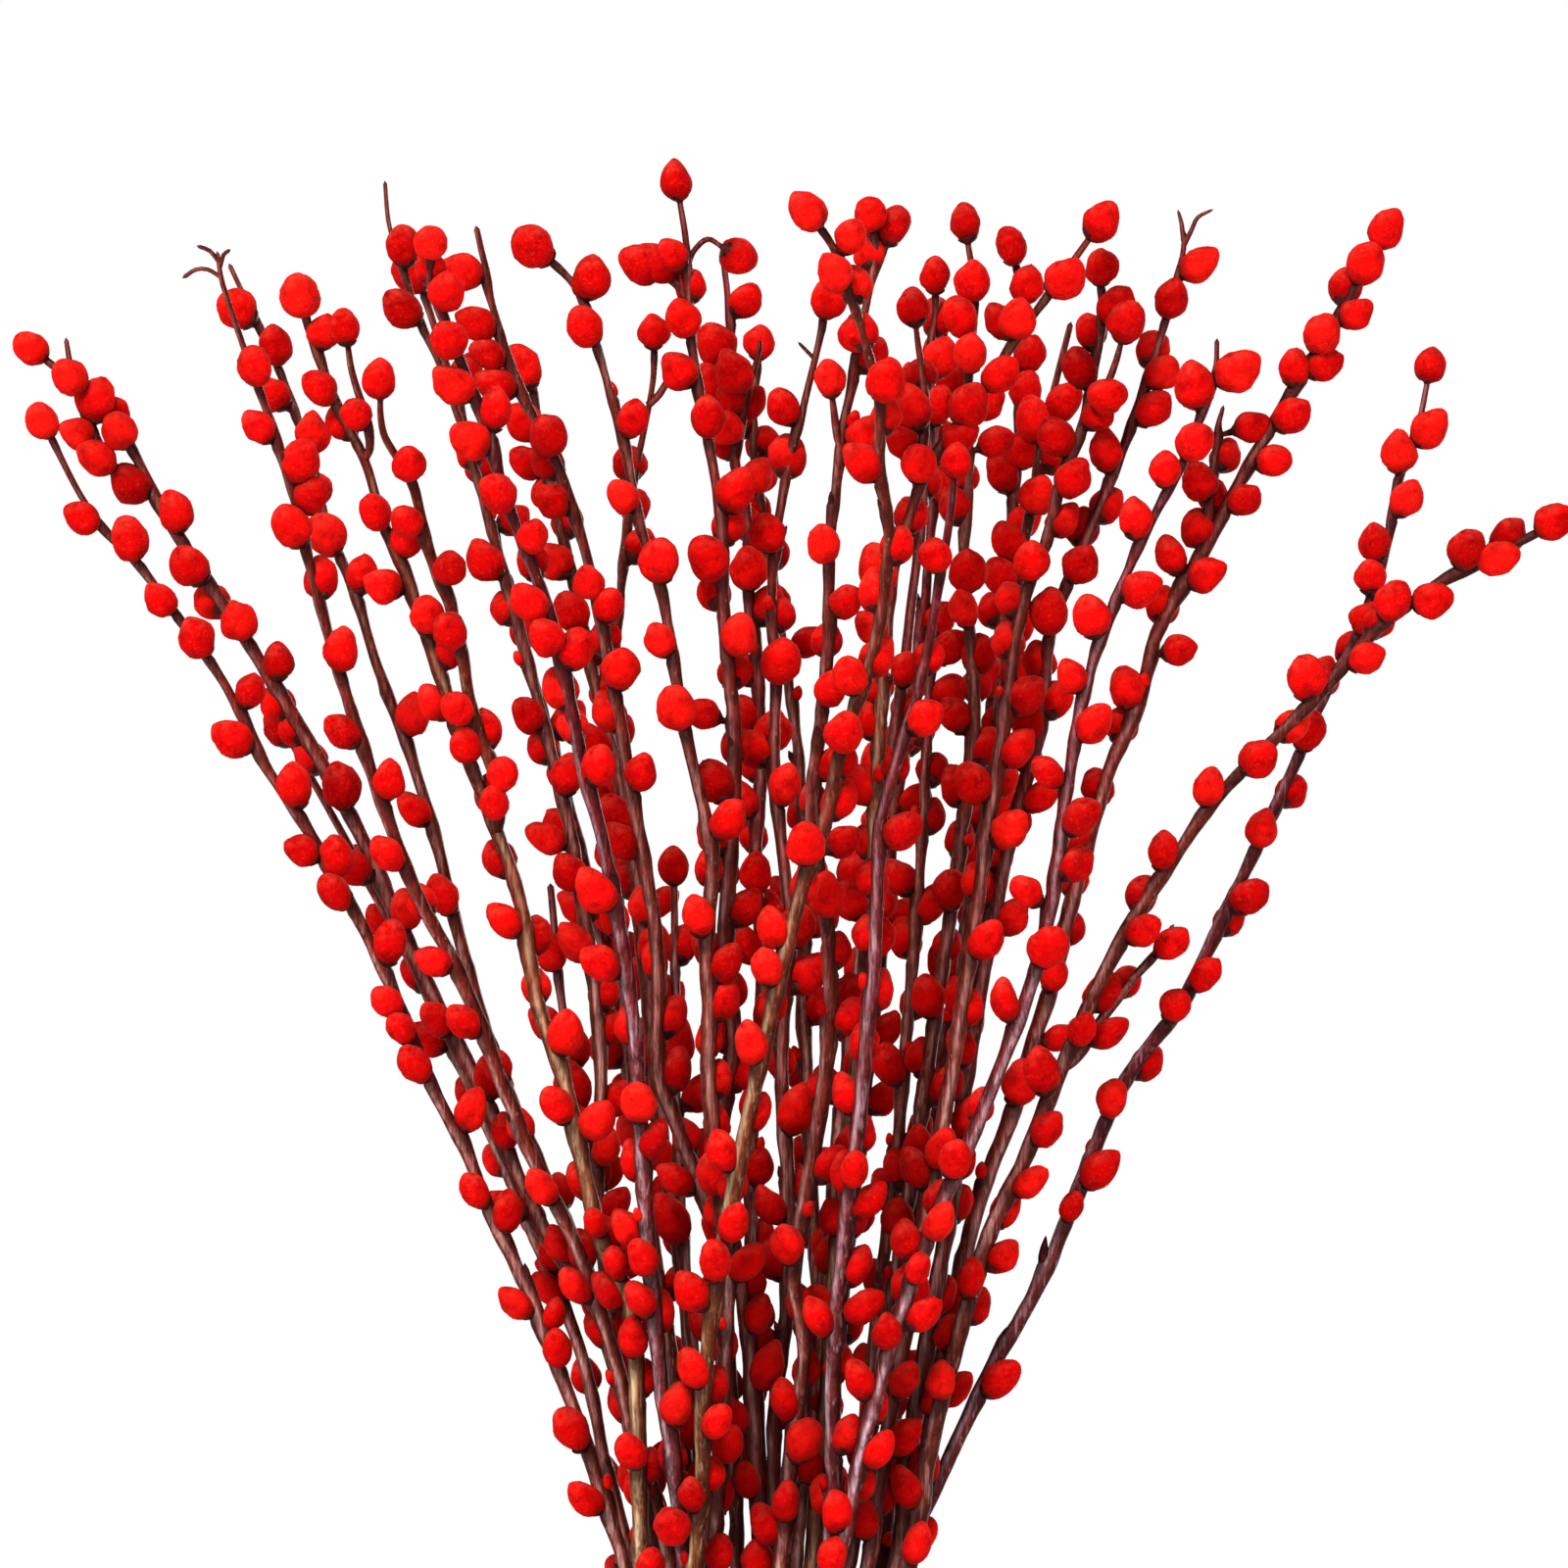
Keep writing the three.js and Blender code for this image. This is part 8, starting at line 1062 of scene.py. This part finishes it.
# ------------------------------------------------------------------ materials
class Nodes:
    def __init__(self, name):
        self.m = bpy.data.materials.new(name)
        self.m.use_nodes = True
        self.t = self.m.node_tree
        self.t.nodes.clear()
        self.out = self.t.nodes.new("ShaderNodeOutputMaterial")
        self.b = self.t.nodes.new("ShaderNodeBsdfPrincipled")
        self.t.links.new(self.b.outputs[0], self.out.inputs[0])

    def new(self, kind, **props):
        n = self.t.nodes.new(kind)
        for k, v in props.items():
            setattr(n, k, v)
        return n

    def link(self, a, b):
        self.t.links.new(a, b)

    def put(self, sock, v):
        if hasattr(v, "is_output") or isinstance(v, bpy.types.NodeSocket):
            self.t.links.new(v, sock)
        else:
            sock.default_value = v

    def attr(self, name):
        n = self.new("ShaderNodeAttribute", attribute_name=name)
        return n.outputs["Fac"]

    def coords(self, scale=(1, 1, 1)):
        tc = self.new("ShaderNodeTexCoord")
        mp = self.new("ShaderNodeMapping")
        mp.inputs["Scale"].default_value = scale
        self.link(tc.outputs["Object"], mp.inputs["Vector"])
        return mp.outputs["Vector"]

    def noise(self, vec, scale, detail=3.0, rough=0.55, distortion=0.0):
        n = self.new("ShaderNodeTexNoise")
        n.inputs["Scale"].default_value = scale
        n.inputs["Detail"].default_value = detail
        n.inputs["Roughness"].default_value = rough
        n.inputs["Distortion"].default_value = distortion
        self.link(vec, n.inputs["Vector"])
        return n.outputs["Fac"]

    def ramp(self, fac, stops, interpolation="LINEAR"):
        n = self.new("ShaderNodeValToRGB")
        cr = n.color_ramp
        cr.interpolation = interpolation
        while len(cr.elements) < len(stops):
            cr.elements.new(0.5)
        for e, (p, col) in zip(cr.elements, stops):
            e.position = p
            e.color = tuple(col) + (1.0,) if len(col) == 3 else col
        self.put(n.inputs["Fac"], fac)
        return n.outputs["Color"]

    def mix(self, fac, a, b, blend="MIX"):
        n = self.new("ShaderNodeMix", data_type="RGBA", blend_type=blend)
        self.put(n.inputs[0], fac)
        self.put(n.inputs[6], a if not isinstance(a, tuple) else a + (1.0,))
        self.put(n.inputs[7], b if not isinstance(b, tuple) else b + (1.0,))
        return n.outputs[2]

    def math(self, op, a, b=0.0, clamp=False):
        n = self.new("ShaderNodeMath", operation=op)
        n.use_clamp = clamp
        self.put(n.inputs[0], a)
        self.put(n.inputs[1], b)
        return n.outputs[0]

    def range(self, v, a, b, c=0.0, d=1.0):
        n = self.new("ShaderNodeMapRange")
        self.put(n.inputs["Value"], v)
        for k, x in (("From Min", a), ("From Max", b), ("To Min", c), ("To Max", d)):
            n.inputs[k].default_value = x
        return n.outputs["Result"]

    def bump(self, height, strength, distance, normal=None):
        n = self.new("ShaderNodeBump")
        n.inputs["Strength"].default_value = strength
        n.inputs["Distance"].default_value = distance
        self.link(height, n.inputs["Height"])
        if normal is not None:
            self.link(normal, n.inputs["Normal"])
        return n.outputs["Normal"]


def catkin_material():
    m = Nodes("catkin_velvet")
    v = m.coords()
    own, up, dent, crown, deep = m.attr("own"), m.attr("up"), m.attr("dent"), m.attr("crown"), m.attr("deep")
    # a shade for each catkin, from deep to bright red
    base = m.ramp(own, [(0.0, (0.46, 0.0008, 0.0010)), (0.3, (0.66, 0.0014, 0.0014)),
                        (0.7, (0.83, 0.0030, 0.0024)), (1.0, (0.92, 0.0080, 0.0045))])
    # uneven dye: darker blotches; and painted sheen: brighter orange flecks
    blotch = m.ramp(m.noise(v, 170.0, 4.0, 0.6), [(0.30, (0.30, 0.30, 0.30)), (0.50, (1, 1, 1)), (0.75, (1.0, 1.0, 1.0))])
    col = m.mix(0.62, base, blotch, "MULTIPLY")
    # painted highlight: the upper side, facing a little to the front left, turns orange-red in tufts
    tuft = m.range(m.noise(v, 240.0, 4.0, 0.65), 0.38, 0.66)
    top_highlight = m.math("MULTIPLY", m.range(crown, 0.30, 0.95), tuft)
    col = m.mix(m.math("MULTIPLY", top_highlight, 0.62), col, (0.97, 0.075, 0.046))
    # painted sheen: scattered bright orange flecks
    sheen_flecks = m.range(m.noise(v, 620.0, 3.0, 0.7), 0.55, 0.8)
    col = m.mix(m.math("MULTIPLY", sheen_flecks, 0.30), col, (0.98, 0.085, 0.055))
    # painted shade: the dents between tufts, the foot by the bud cup and the crowded side are deeper red
    col = m.mix(m.math("MULTIPLY", dent, 0.6), col, (0.22, 0.0, 0.0))
    foot = m.ramp(up, [(0.0, (1, 1, 1)), (0.10, (0.8, 0.8, 0.8)), (0.40, (0.0, 0.0, 0.0))])
    col = m.mix(m.math("MULTIPLY", foot, 0.78), col, (0.13, 0.0004, 0.0004))
    col = m.mix(m.math("MULTIPLY", deep, 0.66), col, (0.17, 0.0, 0.0005))
    m.link(col, m.b.inputs["Base Color"])
    rough = m.range(m.noise(v, 300.0, 2.0), 0.3, 0.7, 0.78, 0.97)
    m.link(rough, m.b.inputs["Roughness"])
    m.b.inputs["Specular IOR Level"].default_value = 0.02
    m.b.inputs["Sheen Weight"].default_value = 0.16
    m.b.inputs["Sheen Roughness"].default_value = 0.4
    m.b.inputs["Sheen Tint"].default_value = (1.0, 0.13, 0.09, 1.0)
    # fur: fine grain over small tufts
    n1 = m.bump(m.noise(v, 430.0, 5.0, 0.65), 0.7, 0.0013)
    n2 = m.bump(m.noise(v, 1500.0, 3.0, 0.7), 0.55, 0.0005, n1)
    m.link(n2, m.b.inputs["Normal"])
    return m.m


def bark_material(name, low, mid, high, shaded, streak, bloom_and_highlight):
    """Colours from the cut end up to the tips, of the painted shade on the side away from the highlight strips, of dark
    streaks, and of the pale streaks and the painted highlight strip.
    """
    m = Nodes(name)
    v = m.coords()
    node, dark, cut, deep = m.attr("node"), m.attr("dark"), m.attr("cut"), m.attr("deep")
    sun, open_side = m.attr("sun"), m.attr("open_side")
    z = m.new("ShaderNodeSeparateXYZ")
    tc = m.new("ShaderNodeTexCoord")
    m.link(tc.outputs["Object"], z.inputs[0])
    wob = m.noise(v, 14.0, 2.0)
    h = m.math("ADD", z.outputs["Z"], m.range(wob, 0.3, 0.7, -0.07, 0.07))
    col = m.ramp(m.range(h, 0.30, 0.95), [(0.0, low), (0.30, low), (0.52, mid), (0.80, high), (1.0, high)])
    # painted shade: the side turned away from the highlight strips is darkened
    shade = m.math("MULTIPLY", m.range(open_side, 0.72, 0.18), 0.86)
    col = m.mix(shade, col, shaded)
    # blotches of darker skin
    col = m.mix(m.math("MULTIPLY", m.attr("tone"), 0.55), col, (0.180, 0.046, 0.018))
    bl = m.ramp(m.noise(v, 95.0, 4.0, 0.65), [(0.36, (0.28, 0.22, 0.22)), (0.58, (1, 1, 1))])
    col = m.mix(0.80, col, bl, "MULTIPLY")
    mottle = m.ramp(m.noise(m.coords((1.0, 1.0, 0.5)), 360.0, 4.0, 0.7), [(0.36, (0.32, 0.26, 0.26)), (0.55, (1, 1, 1)), (0.72, (1.35, 1.25, 1.2))])
    col = m.mix(0.60, col, mottle, "MULTIPLY")
    # painted highlight: a pale strip in long patches on the lit side, fainter on the young wood
    vs = m.coords((1.0, 1.0, 0.06))
    patch = m.range(m.noise(m.coords((1.0, 1.0, 0.26)), 150.0, 4.0, 0.65), 0.38, 0.60, 0.10, 1.0)
    young = m.range(h, 0.38, 0.80, 1.0, 0.22)
    strip = m.math("MULTIPLY", m.math("MULTIPLY", m.range(sun, 0.34, 0.86), patch), young)
    grain = m.range(m.noise(vs, 640.0, 3.0, 0.6), 0.35, 0.62, 0.55, 1.0)
    col = m.mix(m.math("MULTIPLY", m.math("MULTIPLY", strip, grain), 0.95), col, bloom_and_highlight)
    # long fine streaks down the bark, pale and dark
    pale = m.range(m.noise(m.coords((1.0, 1.0, 0.045)), 520.0, 3.0, 0.6), 0.56, 0.68)
    col = m.mix(m.math("MULTIPLY", m.math("MULTIPLY", pale, young), 0.34), col, bloom_and_highlight)
    st = m.range(m.noise(vs, 760.0, 4.0, 0.6), 0.46, 0.62)
    col = m.mix(m.math("MULTIPLY", st, 0.66), col, streak)
    # small pale breathing pores
    vo = m.new("ShaderNodeTexVoronoi")
    vo.inputs["Scale"].default_value = 330.0
    m.link(m.coords((1.0, 1.0, 0.55)), vo.inputs["Vector"])
    pore = m.range(vo.outputs["Distance"], 0.10, 0.20, 1.0, 0.0)
    gate = m.range(m.noise(v, 60.0, 2.0), 0.5, 0.62)
    pore = m.math("MULTIPLY", pore, gate)
    col = m.mix(m.math("MULTIPLY", pore, 0.55), col, (0.30, 0.17, 0.12))
    # dark rings and scars at the nodes, blackish bud scales, and painted shade where the bunch is crowded
    col = m.mix(m.math("MULTIPLY", m.range(node, 0.15, 0.9), 0.72), col, (0.022, 0.004, 0.004))
    col = m.mix(m.math("MULTIPLY", m.range(deep, 0.15, 1.0), 0.74), col, (0.030, 0.0022, 0.0020))
    scale_col = m.ramp(m.noise(v, 260.0, 3.0, 0.6), [(0.35, (0.014, 0.002, 0.002)), (0.6, (0.060, 0.007, 0.006)),
                                                     (0.8, (0.13, 0.018, 0.012))])
    col = m.mix(dark, col, scale_col)
    # pale wood on the cut end
    col = m.mix(m.range(cut, 0.2, 0.5), col, (0.55, 0.42, 0.27))
    m.link(col, m.b.inputs["Base Color"])
    rough = m.range(m.noise(v, 210.0, 3.0), 0.3, 0.75, 0.32, 0.52)
    m.link(rough, m.b.inputs["Roughness"])
    m.b.inputs["Specular IOR Level"].default_value = 0.06
    n1 = m.bump(m.noise(vs, 1100.0, 4.0, 0.6), 0.5, 0.0005)
    n2 = m.bump(m.noise(v, 330.0, 3.0, 0.6), 0.35, 0.0006, n1)
    n3 = m.bump(pore, 0.5, 0.0003, n2)
    m.link(n3, m.b.inputs["Normal"])
    return m.m


def vase_material():
    m = Nodes("vase_glaze")
    v = m.coords()
    col = m.ramp(m.noise(v, 9.0, 5.0, 0.6), [(0.30, (0.70, 0.665, 0.60)), (0.55, (0.80, 0.77, 0.71)), (0.75, (0.84, 0.82, 0.77))])
    speck = m.new("ShaderNodeTexVoronoi")
    speck.inputs["Scale"].default_value = 210.0
    m.link(v, speck.inputs["Vector"])
    sp = m.range(speck.outputs["Distance"], 0.05, 0.13, 1.0, 0.0)
    sp = m.math("MULTIPLY", sp, m.range(m.noise(v, 45.0, 2.0), 0.52, 0.60))
    col = m.mix(m.math("MULTIPLY", sp, 0.6), col, (0.30, 0.22, 0.15))
    # bare clay where the glaze thins on the foot
    z = m.new("ShaderNodeSeparateXYZ")
    tc = m.new("ShaderNodeTexCoord")
    m.link(tc.outputs["Object"], z.inputs[0])
    edge = m.math("ADD", z.outputs["Z"], m.range(m.noise(v, 55.0, 3.0), 0.3, 0.7, -0.0018, 0.0018))
    clay = m.range(edge, 0.0035, 0.0050, 1.0, 0.0)
    clay_col = m.ramp(m.noise(v, 160.0, 4.0, 0.7), [(0.35, (0.45, 0.33, 0.22)), (0.7, (0.62, 0.49, 0.35))])
    col = m.mix(clay, col, clay_col)
    m.link(col, m.b.inputs["Base Color"])
    rough = m.math("ADD", m.range(m.noise(v, 30.0, 3.0), 0.3, 0.7, 0.14, 0.26), m.math("MULTIPLY", clay, 0.55))
    m.link(rough, m.b.inputs["Roughness"])
    n1 = m.bump(m.noise(v, 26.0, 3.0, 0.5), 0.10, 0.002)
    n2 = m.bump(m.noise(m.coords((0.25, 0.25, 1.0)), 240.0, 2.0), 0.06, 0.0008, n1)
    m.link(n2, m.b.inputs["Normal"])
    m.b.inputs["Coat Weight"].default_value = 0.35
    m.b.inputs["Coat Roughness"].default_value = 0.08
    return m.m


# ------------------------------------------------------------------ the vase
def make_vase(mat):
    """The thrown body, turned from the same profile as the CAD, with a rounded lip and foot."""
    outside = [(55.5, 0.0), (57.0, 0.55), (57.6, 1.9), (60.5, 14), (69.5, 40), (78, 75), (81.5, 110),
               (79.8, 145), (73.5, 180), (64.8, 210), (57.2, 236), (51.8, 264), (52.4, 283), (56, 297.5)]
    wall = 5.0

    def spline(pts, per):
        p = np.array(pts, float)
        ext = np.vstack([2 * p[0] - p[1], p, 2 * p[-1] - p[-2]])
        out = []
        for i in range(1, len(ext) - 2):
            p0, p1, p2, p3 = ext[i - 1:i + 3]
            for t in np.arange(per) / per:
                d = np.linalg.norm(p2 - p1)
                m1 = (p2 - p0) / (np.linalg.norm(p2 - p1) + np.linalg.norm(p1 - p0)) * d
                m2 = (p3 - p1) / (np.linalg.norm(p3 - p2) + np.linalg.norm(p2 - p1)) * d
                out.append((2 * t**3 - 3 * t**2 + 1) * p1 + (t**3 - 2 * t**2 + t) * m1
                           + (-2 * t**3 + 3 * t**2) * p2 + (t**3 - t**2) * m2)
        out.append(p[-1])
        return out

    prof = [np.array([0.0, 0.0]), np.array([30.0, 0.0])]
    prof += [np.array(q) for q in [(55.5, 0.0), (56.6, 0.25), (57.3, 1.0)]]
    prof += spline([(57.6, 2.2)] + outside[3:], 5)
    lip_c, lip_r = np.array([56 - wall / 2, 297.5]), wall / 2
    for k in range(1, 10):
        a = math.pi * k / 10
        prof.append(lip_c + np.array([math.cos(a) * lip_r, math.sin(a) * lip_r]))
    inner = [(r - wall, z) for r, z in outside[3:]][::-1]
    prof += spline(inner, 5)
    prof += [np.array([54.0, 10.0]), np.array([51.5, 8.3]), np.array([47, 8.0]), np.array([25, 8.0]), np.array([0, 8.0])]
    prof = np.array(prof)
    ns = 96
    ang = np.arange(ns) * 2 * math.pi / ns
    rings = prof[1:-1]
    # very slight unevenness of a hand-turned wall
    wob = 1 + 0.0012 * np.sin(3 * ang)[None] * np.sin(rings[:, 1] / 60)[:, None]
    vv = np.stack([rings[:, 0][:, None] * np.cos(ang) * wob, rings[:, 0][:, None] * np.sin(ang) * wob,
                   np.repeat(rings[:, 1][:, None], ns, 1)], -1).reshape(-1, 3)
    vv = np.vstack([vv, [[0, 0, 0], [0, 0, 8.0]]])
    n = len(rings)
    mk = MeshMaker()
    tris = np.vstack([cap_tris(0, ns, n * ns, True), cap_tris((n - 1) * ns, ns, n * ns + 1)])
    mk.add(vv, ring_quads(n, ns), tris)
    return mk.build("vase_body", mat)


# ------------------------------------------------------------------ build everything
velvet = catkin_material()
barks = {
    "brown": bark_material("bark_reddish_brown", (0.290, 0.036, 0.022), (0.255, 0.016, 0.011), (0.205, 0.008, 0.007),
                           (0.062, 0.0022, 0.0018), (0.050, 0.0015, 0.0012), (0.86, 0.46, 0.41)),
    "olive": bark_material("bark_olive", (0.300, 0.100, 0.032), (0.250, 0.048, 0.018), (0.195, 0.010, 0.008),
                           (0.075, 0.0090, 0.0035), (0.085, 0.010, 0.004), (0.82, 0.60, 0.36)),
    "lilac": bark_material("bark_lilac_grey", (0.260, 0.040, 0.040), (0.225, 0.022, 0.023), (0.195, 0.009, 0.010),
                           (0.062, 0.0034, 0.0042), (0.050, 0.0025, 0.004), (0.88, 0.60, 0.68)),
}

vase = make_vase(vase_material())
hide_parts("vase")
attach(vase, "root")

# extra bare buds: [branch, z, azimuth, length, width]
BARE_BUDS = [
    ["branch_34", 500, 200, 15, 5.0],
]

spots, volumes = [], []
for br in BRANCHES:
    for sh in br["shoots"]:
        line = smooth_line(sh[2], 8.0)
        spots.append(line)
        volumes.append(np.full(len(line), 8.0 * math.pi * (sh[0] / 2) ** 2 * 0.7))
    for c in br["catkins"]:
        start, axis, _ = catkin_pose(br["shoots"][c[0]], c)
        spots.append((start + axis * (c[4] + c[5] / 2))[None])
        volumes.append(np.array([c[5] * c[6] ** 2 * 0.55]))
spots, volumes = np.concatenate(spots), np.concatenate(volumes)
crowd = Crowding(spots, volumes, 19.0)
levels = crowd.raw(spots)
crowd.a, crowd.b = np.percentile(levels, 12), np.percentile(levels, 90)

for bi, br in enumerate(BRANCHES):
    name, shoots, catkins = br["name"], br["shoots"], br["catkins"]
    kind = "olive" if name in OLIVE else "lilac" if name in LILAC else "brown"
    bark, fur = MeshMaker(), MeshMaker()
    r = np.random.default_rng(1000 + bi)
    poses = [catkin_pose(shoots[c[0]], c) for c in catkins]
    slender = 0.03 + 0.13 * ((bi * 7) % 11) / 10
    for si, sh in enumerate(shoots):
        nodes = []
        for c, (start, axis, side) in zip(catkins, poses):
            if c[0] == si and c[2] != 999:
                t = direction_at(sh[2], c[1])
                nodes.append((c[1], square_to(t, axis)))
        buds = [b for b in BARE_BUDS if b[0] == name and si == 0]
        for _, z, az, ln, wd in buds:
            t = direction_at(sh[2], z)
            h = square_to(t, np.array([math.cos(math.radians(az)), math.sin(math.radians(az)), 0]))
            nodes.append((z, h))
            ax = unit(t * math.cos(0.32) + h * math.sin(0.32))
            st = point_at(sh[2], z) + h * taper(sh, height_share(sh, z)) / 2 * 0.7
            add_bare_bud(bark, st, ax, square_to(ax, t), ln, wd)
        if si == 0:
            # small winter buds on the free stretches, a few of them just showing red
            taken = [c[1] for c in catkins if c[0] == 0] + [b[1] for b in buds]
            z, side_turn = 330 + r.uniform(0, 60), r.uniform(0, 360)
            while z < sh[2][-1][2] - 60:
                if min([abs(z + 3 - q) for q in taken] + [99]) > 9:
                    t = direction_at(sh[2], z)
                    h = square_to(t, np.array([math.cos(math.radians(side_turn)), math.sin(math.radians(side_turn)), 0]))
                    nodes.append((z, h))
                    lean = r.uniform(0.22, 0.42)
                    ax = unit(t * math.cos(lean) + h * math.sin(lean))
                    st = point_at(sh[2], z) + h * taper(sh, height_share(sh, z)) / 2 * 0.75
                    if r.random() < 0.62:
                        add_bare_bud(bark, st, ax, square_to(ax, t), r.uniform(5.5, 8.0), r.uniform(2.8, 3.8))
                    else:
                        ln = r.uniform(6.5, 9.5)
                        add_bud_cup(bark, st, ax, square_to(ax, t), 1.0, ln, ln * 0.66, r)
                        add_catkin(fur, st, ax, square_to(ax, t), 0.6, ln, ln * 0.62, 60000 + int(z) + 50 * bi, r, 12, 8)
                z += r.uniform(26, 60)
                side_turn += r.uniform(95, 160)
        ends = any(c[0] == si and c[2] == 999 for c in catkins)
        add_shoot(bark, sh, nodes, 7000 + 40 * bi + si, si == 0, not ends, slender)
    for ci, (c, (start, axis, side)) in enumerate(zip(catkins, poses)):
        # catkins low on the stems are longer
        slim = min(1.0, max(0.0, (800 - c[1]) / 260)) if c[2] != 999 else 0.0
        ln, wd = c[5] * (1 + 0.08 * slim), c[6] * (0.98 - 0.09 * slim)
        if c[2] != 999:
            ln *= 1.03
        add_bud_cup(bark, start, axis, side, c[4], ln, wd, r)
        add_catkin(fur, start, axis, side, c[4], ln, wd, 100 * bi + ci, r)
    wood = bark.build(name + "_bark", barks[kind], tone=r.random() if kind == "brown" else 0.0)
    fluff = fur.build(name + "_catkins", velvet)
    for piece in (wood, fluff):
        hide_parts(name)
        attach(piece, "root")

# ------------------------------------------------------------------ floor, light and camera
def stage_floor():
    me = bpy.data.meshes.new("floor")
    ring = [(5.9 * math.cos(a), 5.9 * math.sin(a), 0.0) for a in np.arange(128) * 2 * math.pi / 128]
    me.from_pydata(ring, [], [tuple(range(128))])
    m = Nodes("floor_pale")
    v = m.coords()
    col = m.ramp(m.noise(v, 3.0, 3.0), [(0.3, (0.76, 0.76, 0.76)), (0.7, (0.80, 0.80, 0.80))])
    m.link(col, m.b.inputs["Base Color"])
    m.b.inputs["Roughness"].default_value = 0.75
    # the far part glows a little, as a lit studio sweep does
    away = m.new("ShaderNodeVectorMath", operation="LENGTH")
    tc = m.new("ShaderNodeTexCoord")
    m.link(tc.outputs["Object"], away.inputs[0])
    glow = m.ramp(m.range(away.outputs["Value"], 0.0, 6.0), [(0.20, (0, 0, 0)), (0.50, (0.30, 0.30, 0.30)), (0.85, (0.60, 0.60, 0.60))])
    m.link(glow, m.b.inputs["Emission Color"])
    m.b.inputs["Emission Strength"].default_value = 1.0
    me.materials.append(m.m)
    ob = bpy.data.objects.new("floor", me)
    bpy.context.scene.collection.objects.link(ob)


stage_floor()

world = bpy.data.worlds.new("studio")
bpy.context.scene.world = world
world.use_nodes = True
wt = world.node_tree
bg = wt.nodes["Background"]
bg.inputs["Strength"].default_value = 1.0
# a studio: white at eye level all round, dimmer overhead and below
direction = wt.nodes.new("ShaderNodeTexCoord")
parts = wt.nodes.new("ShaderNodeSeparateXYZ")
wt.links.new(direction.outputs["Generated"], parts.inputs[0])
shade = wt.nodes.new("ShaderNodeValToRGB")
height = wt.nodes.new("ShaderNodeMapRange")
height.inputs["From Min"].default_value = -1.0
height.inputs["From Max"].default_value = 1.0
wt.links.new(parts.outputs["Z"], height.inputs["Value"])
wt.links.new(height.outputs["Result"], shade.inputs["Fac"])
ramp = shade.color_ramp
WORLD = [(0.0, 0.80), (0.40, 0.86), (0.462, 1.0), (0.545, 1.0), (0.60, 0.27), (1.0, 0.25)]
while len(ramp.elements) < len(WORLD):
    ramp.elements.new(0.5)
for element, (at, level) in zip(ramp.elements, WORLD):
    element.position = at
    element.color = (level, level, level, 1.0)
wt.links.new(shade.outputs["Color"], bg.inputs["Color"])


def area(name, loc, look, size, power, colour=(1, 1, 1)):
    li = bpy.data.lights.new(name, "AREA")
    li.shape = "RECTANGLE"
    li.size, li.size_y = size
    li.energy = power
    li.color = colour
    ob = bpy.data.objects.new(name, li)
    ob.location = loc
    ob.rotation_euler = (Vector(look) - Vector(loc)).to_track_quat("-Z", "Y").to_euler()
    bpy.context.scene.collection.objects.link(ob)
    return ob


area("key", (-0.9, -3.0, 3.1), (0.0, 0.0, 0.70), (1.1, 1.1), 126)
area("strip", (-2.4, -3.4, 1.1), (0.0, 0.0, 0.60), (0.20, 2.4), 32)
area("front", (0.8, -4.2, 0.9), (0.0, 0.0, 0.60), (1.3, 1.3), 34)
area("back", (1.9, 3.2, 1.6), (0.0, 0.0, 0.60), (0.6, 2.2), 78)

cam = bpy.data.cameras.new("camera")
cam.lens = 300.0
cam.sensor_width = 36.0
cam.clip_end = 60.0
camera = bpy.data.objects.new("camera", cam)
camera.location = (0.0135, -6.0, 0.723)
camera.rotation_euler = (math.radians(90), 0, 0)
bpy.context.scene.collection.objects.link(camera)
bpy.context.scene.camera = camera
bpy.context.scene.view_settings.view_transform = "Standard"
bpy.context.scene.view_settings.look = "None"
bpy.context.scene.view_settings.exposure = 0.0

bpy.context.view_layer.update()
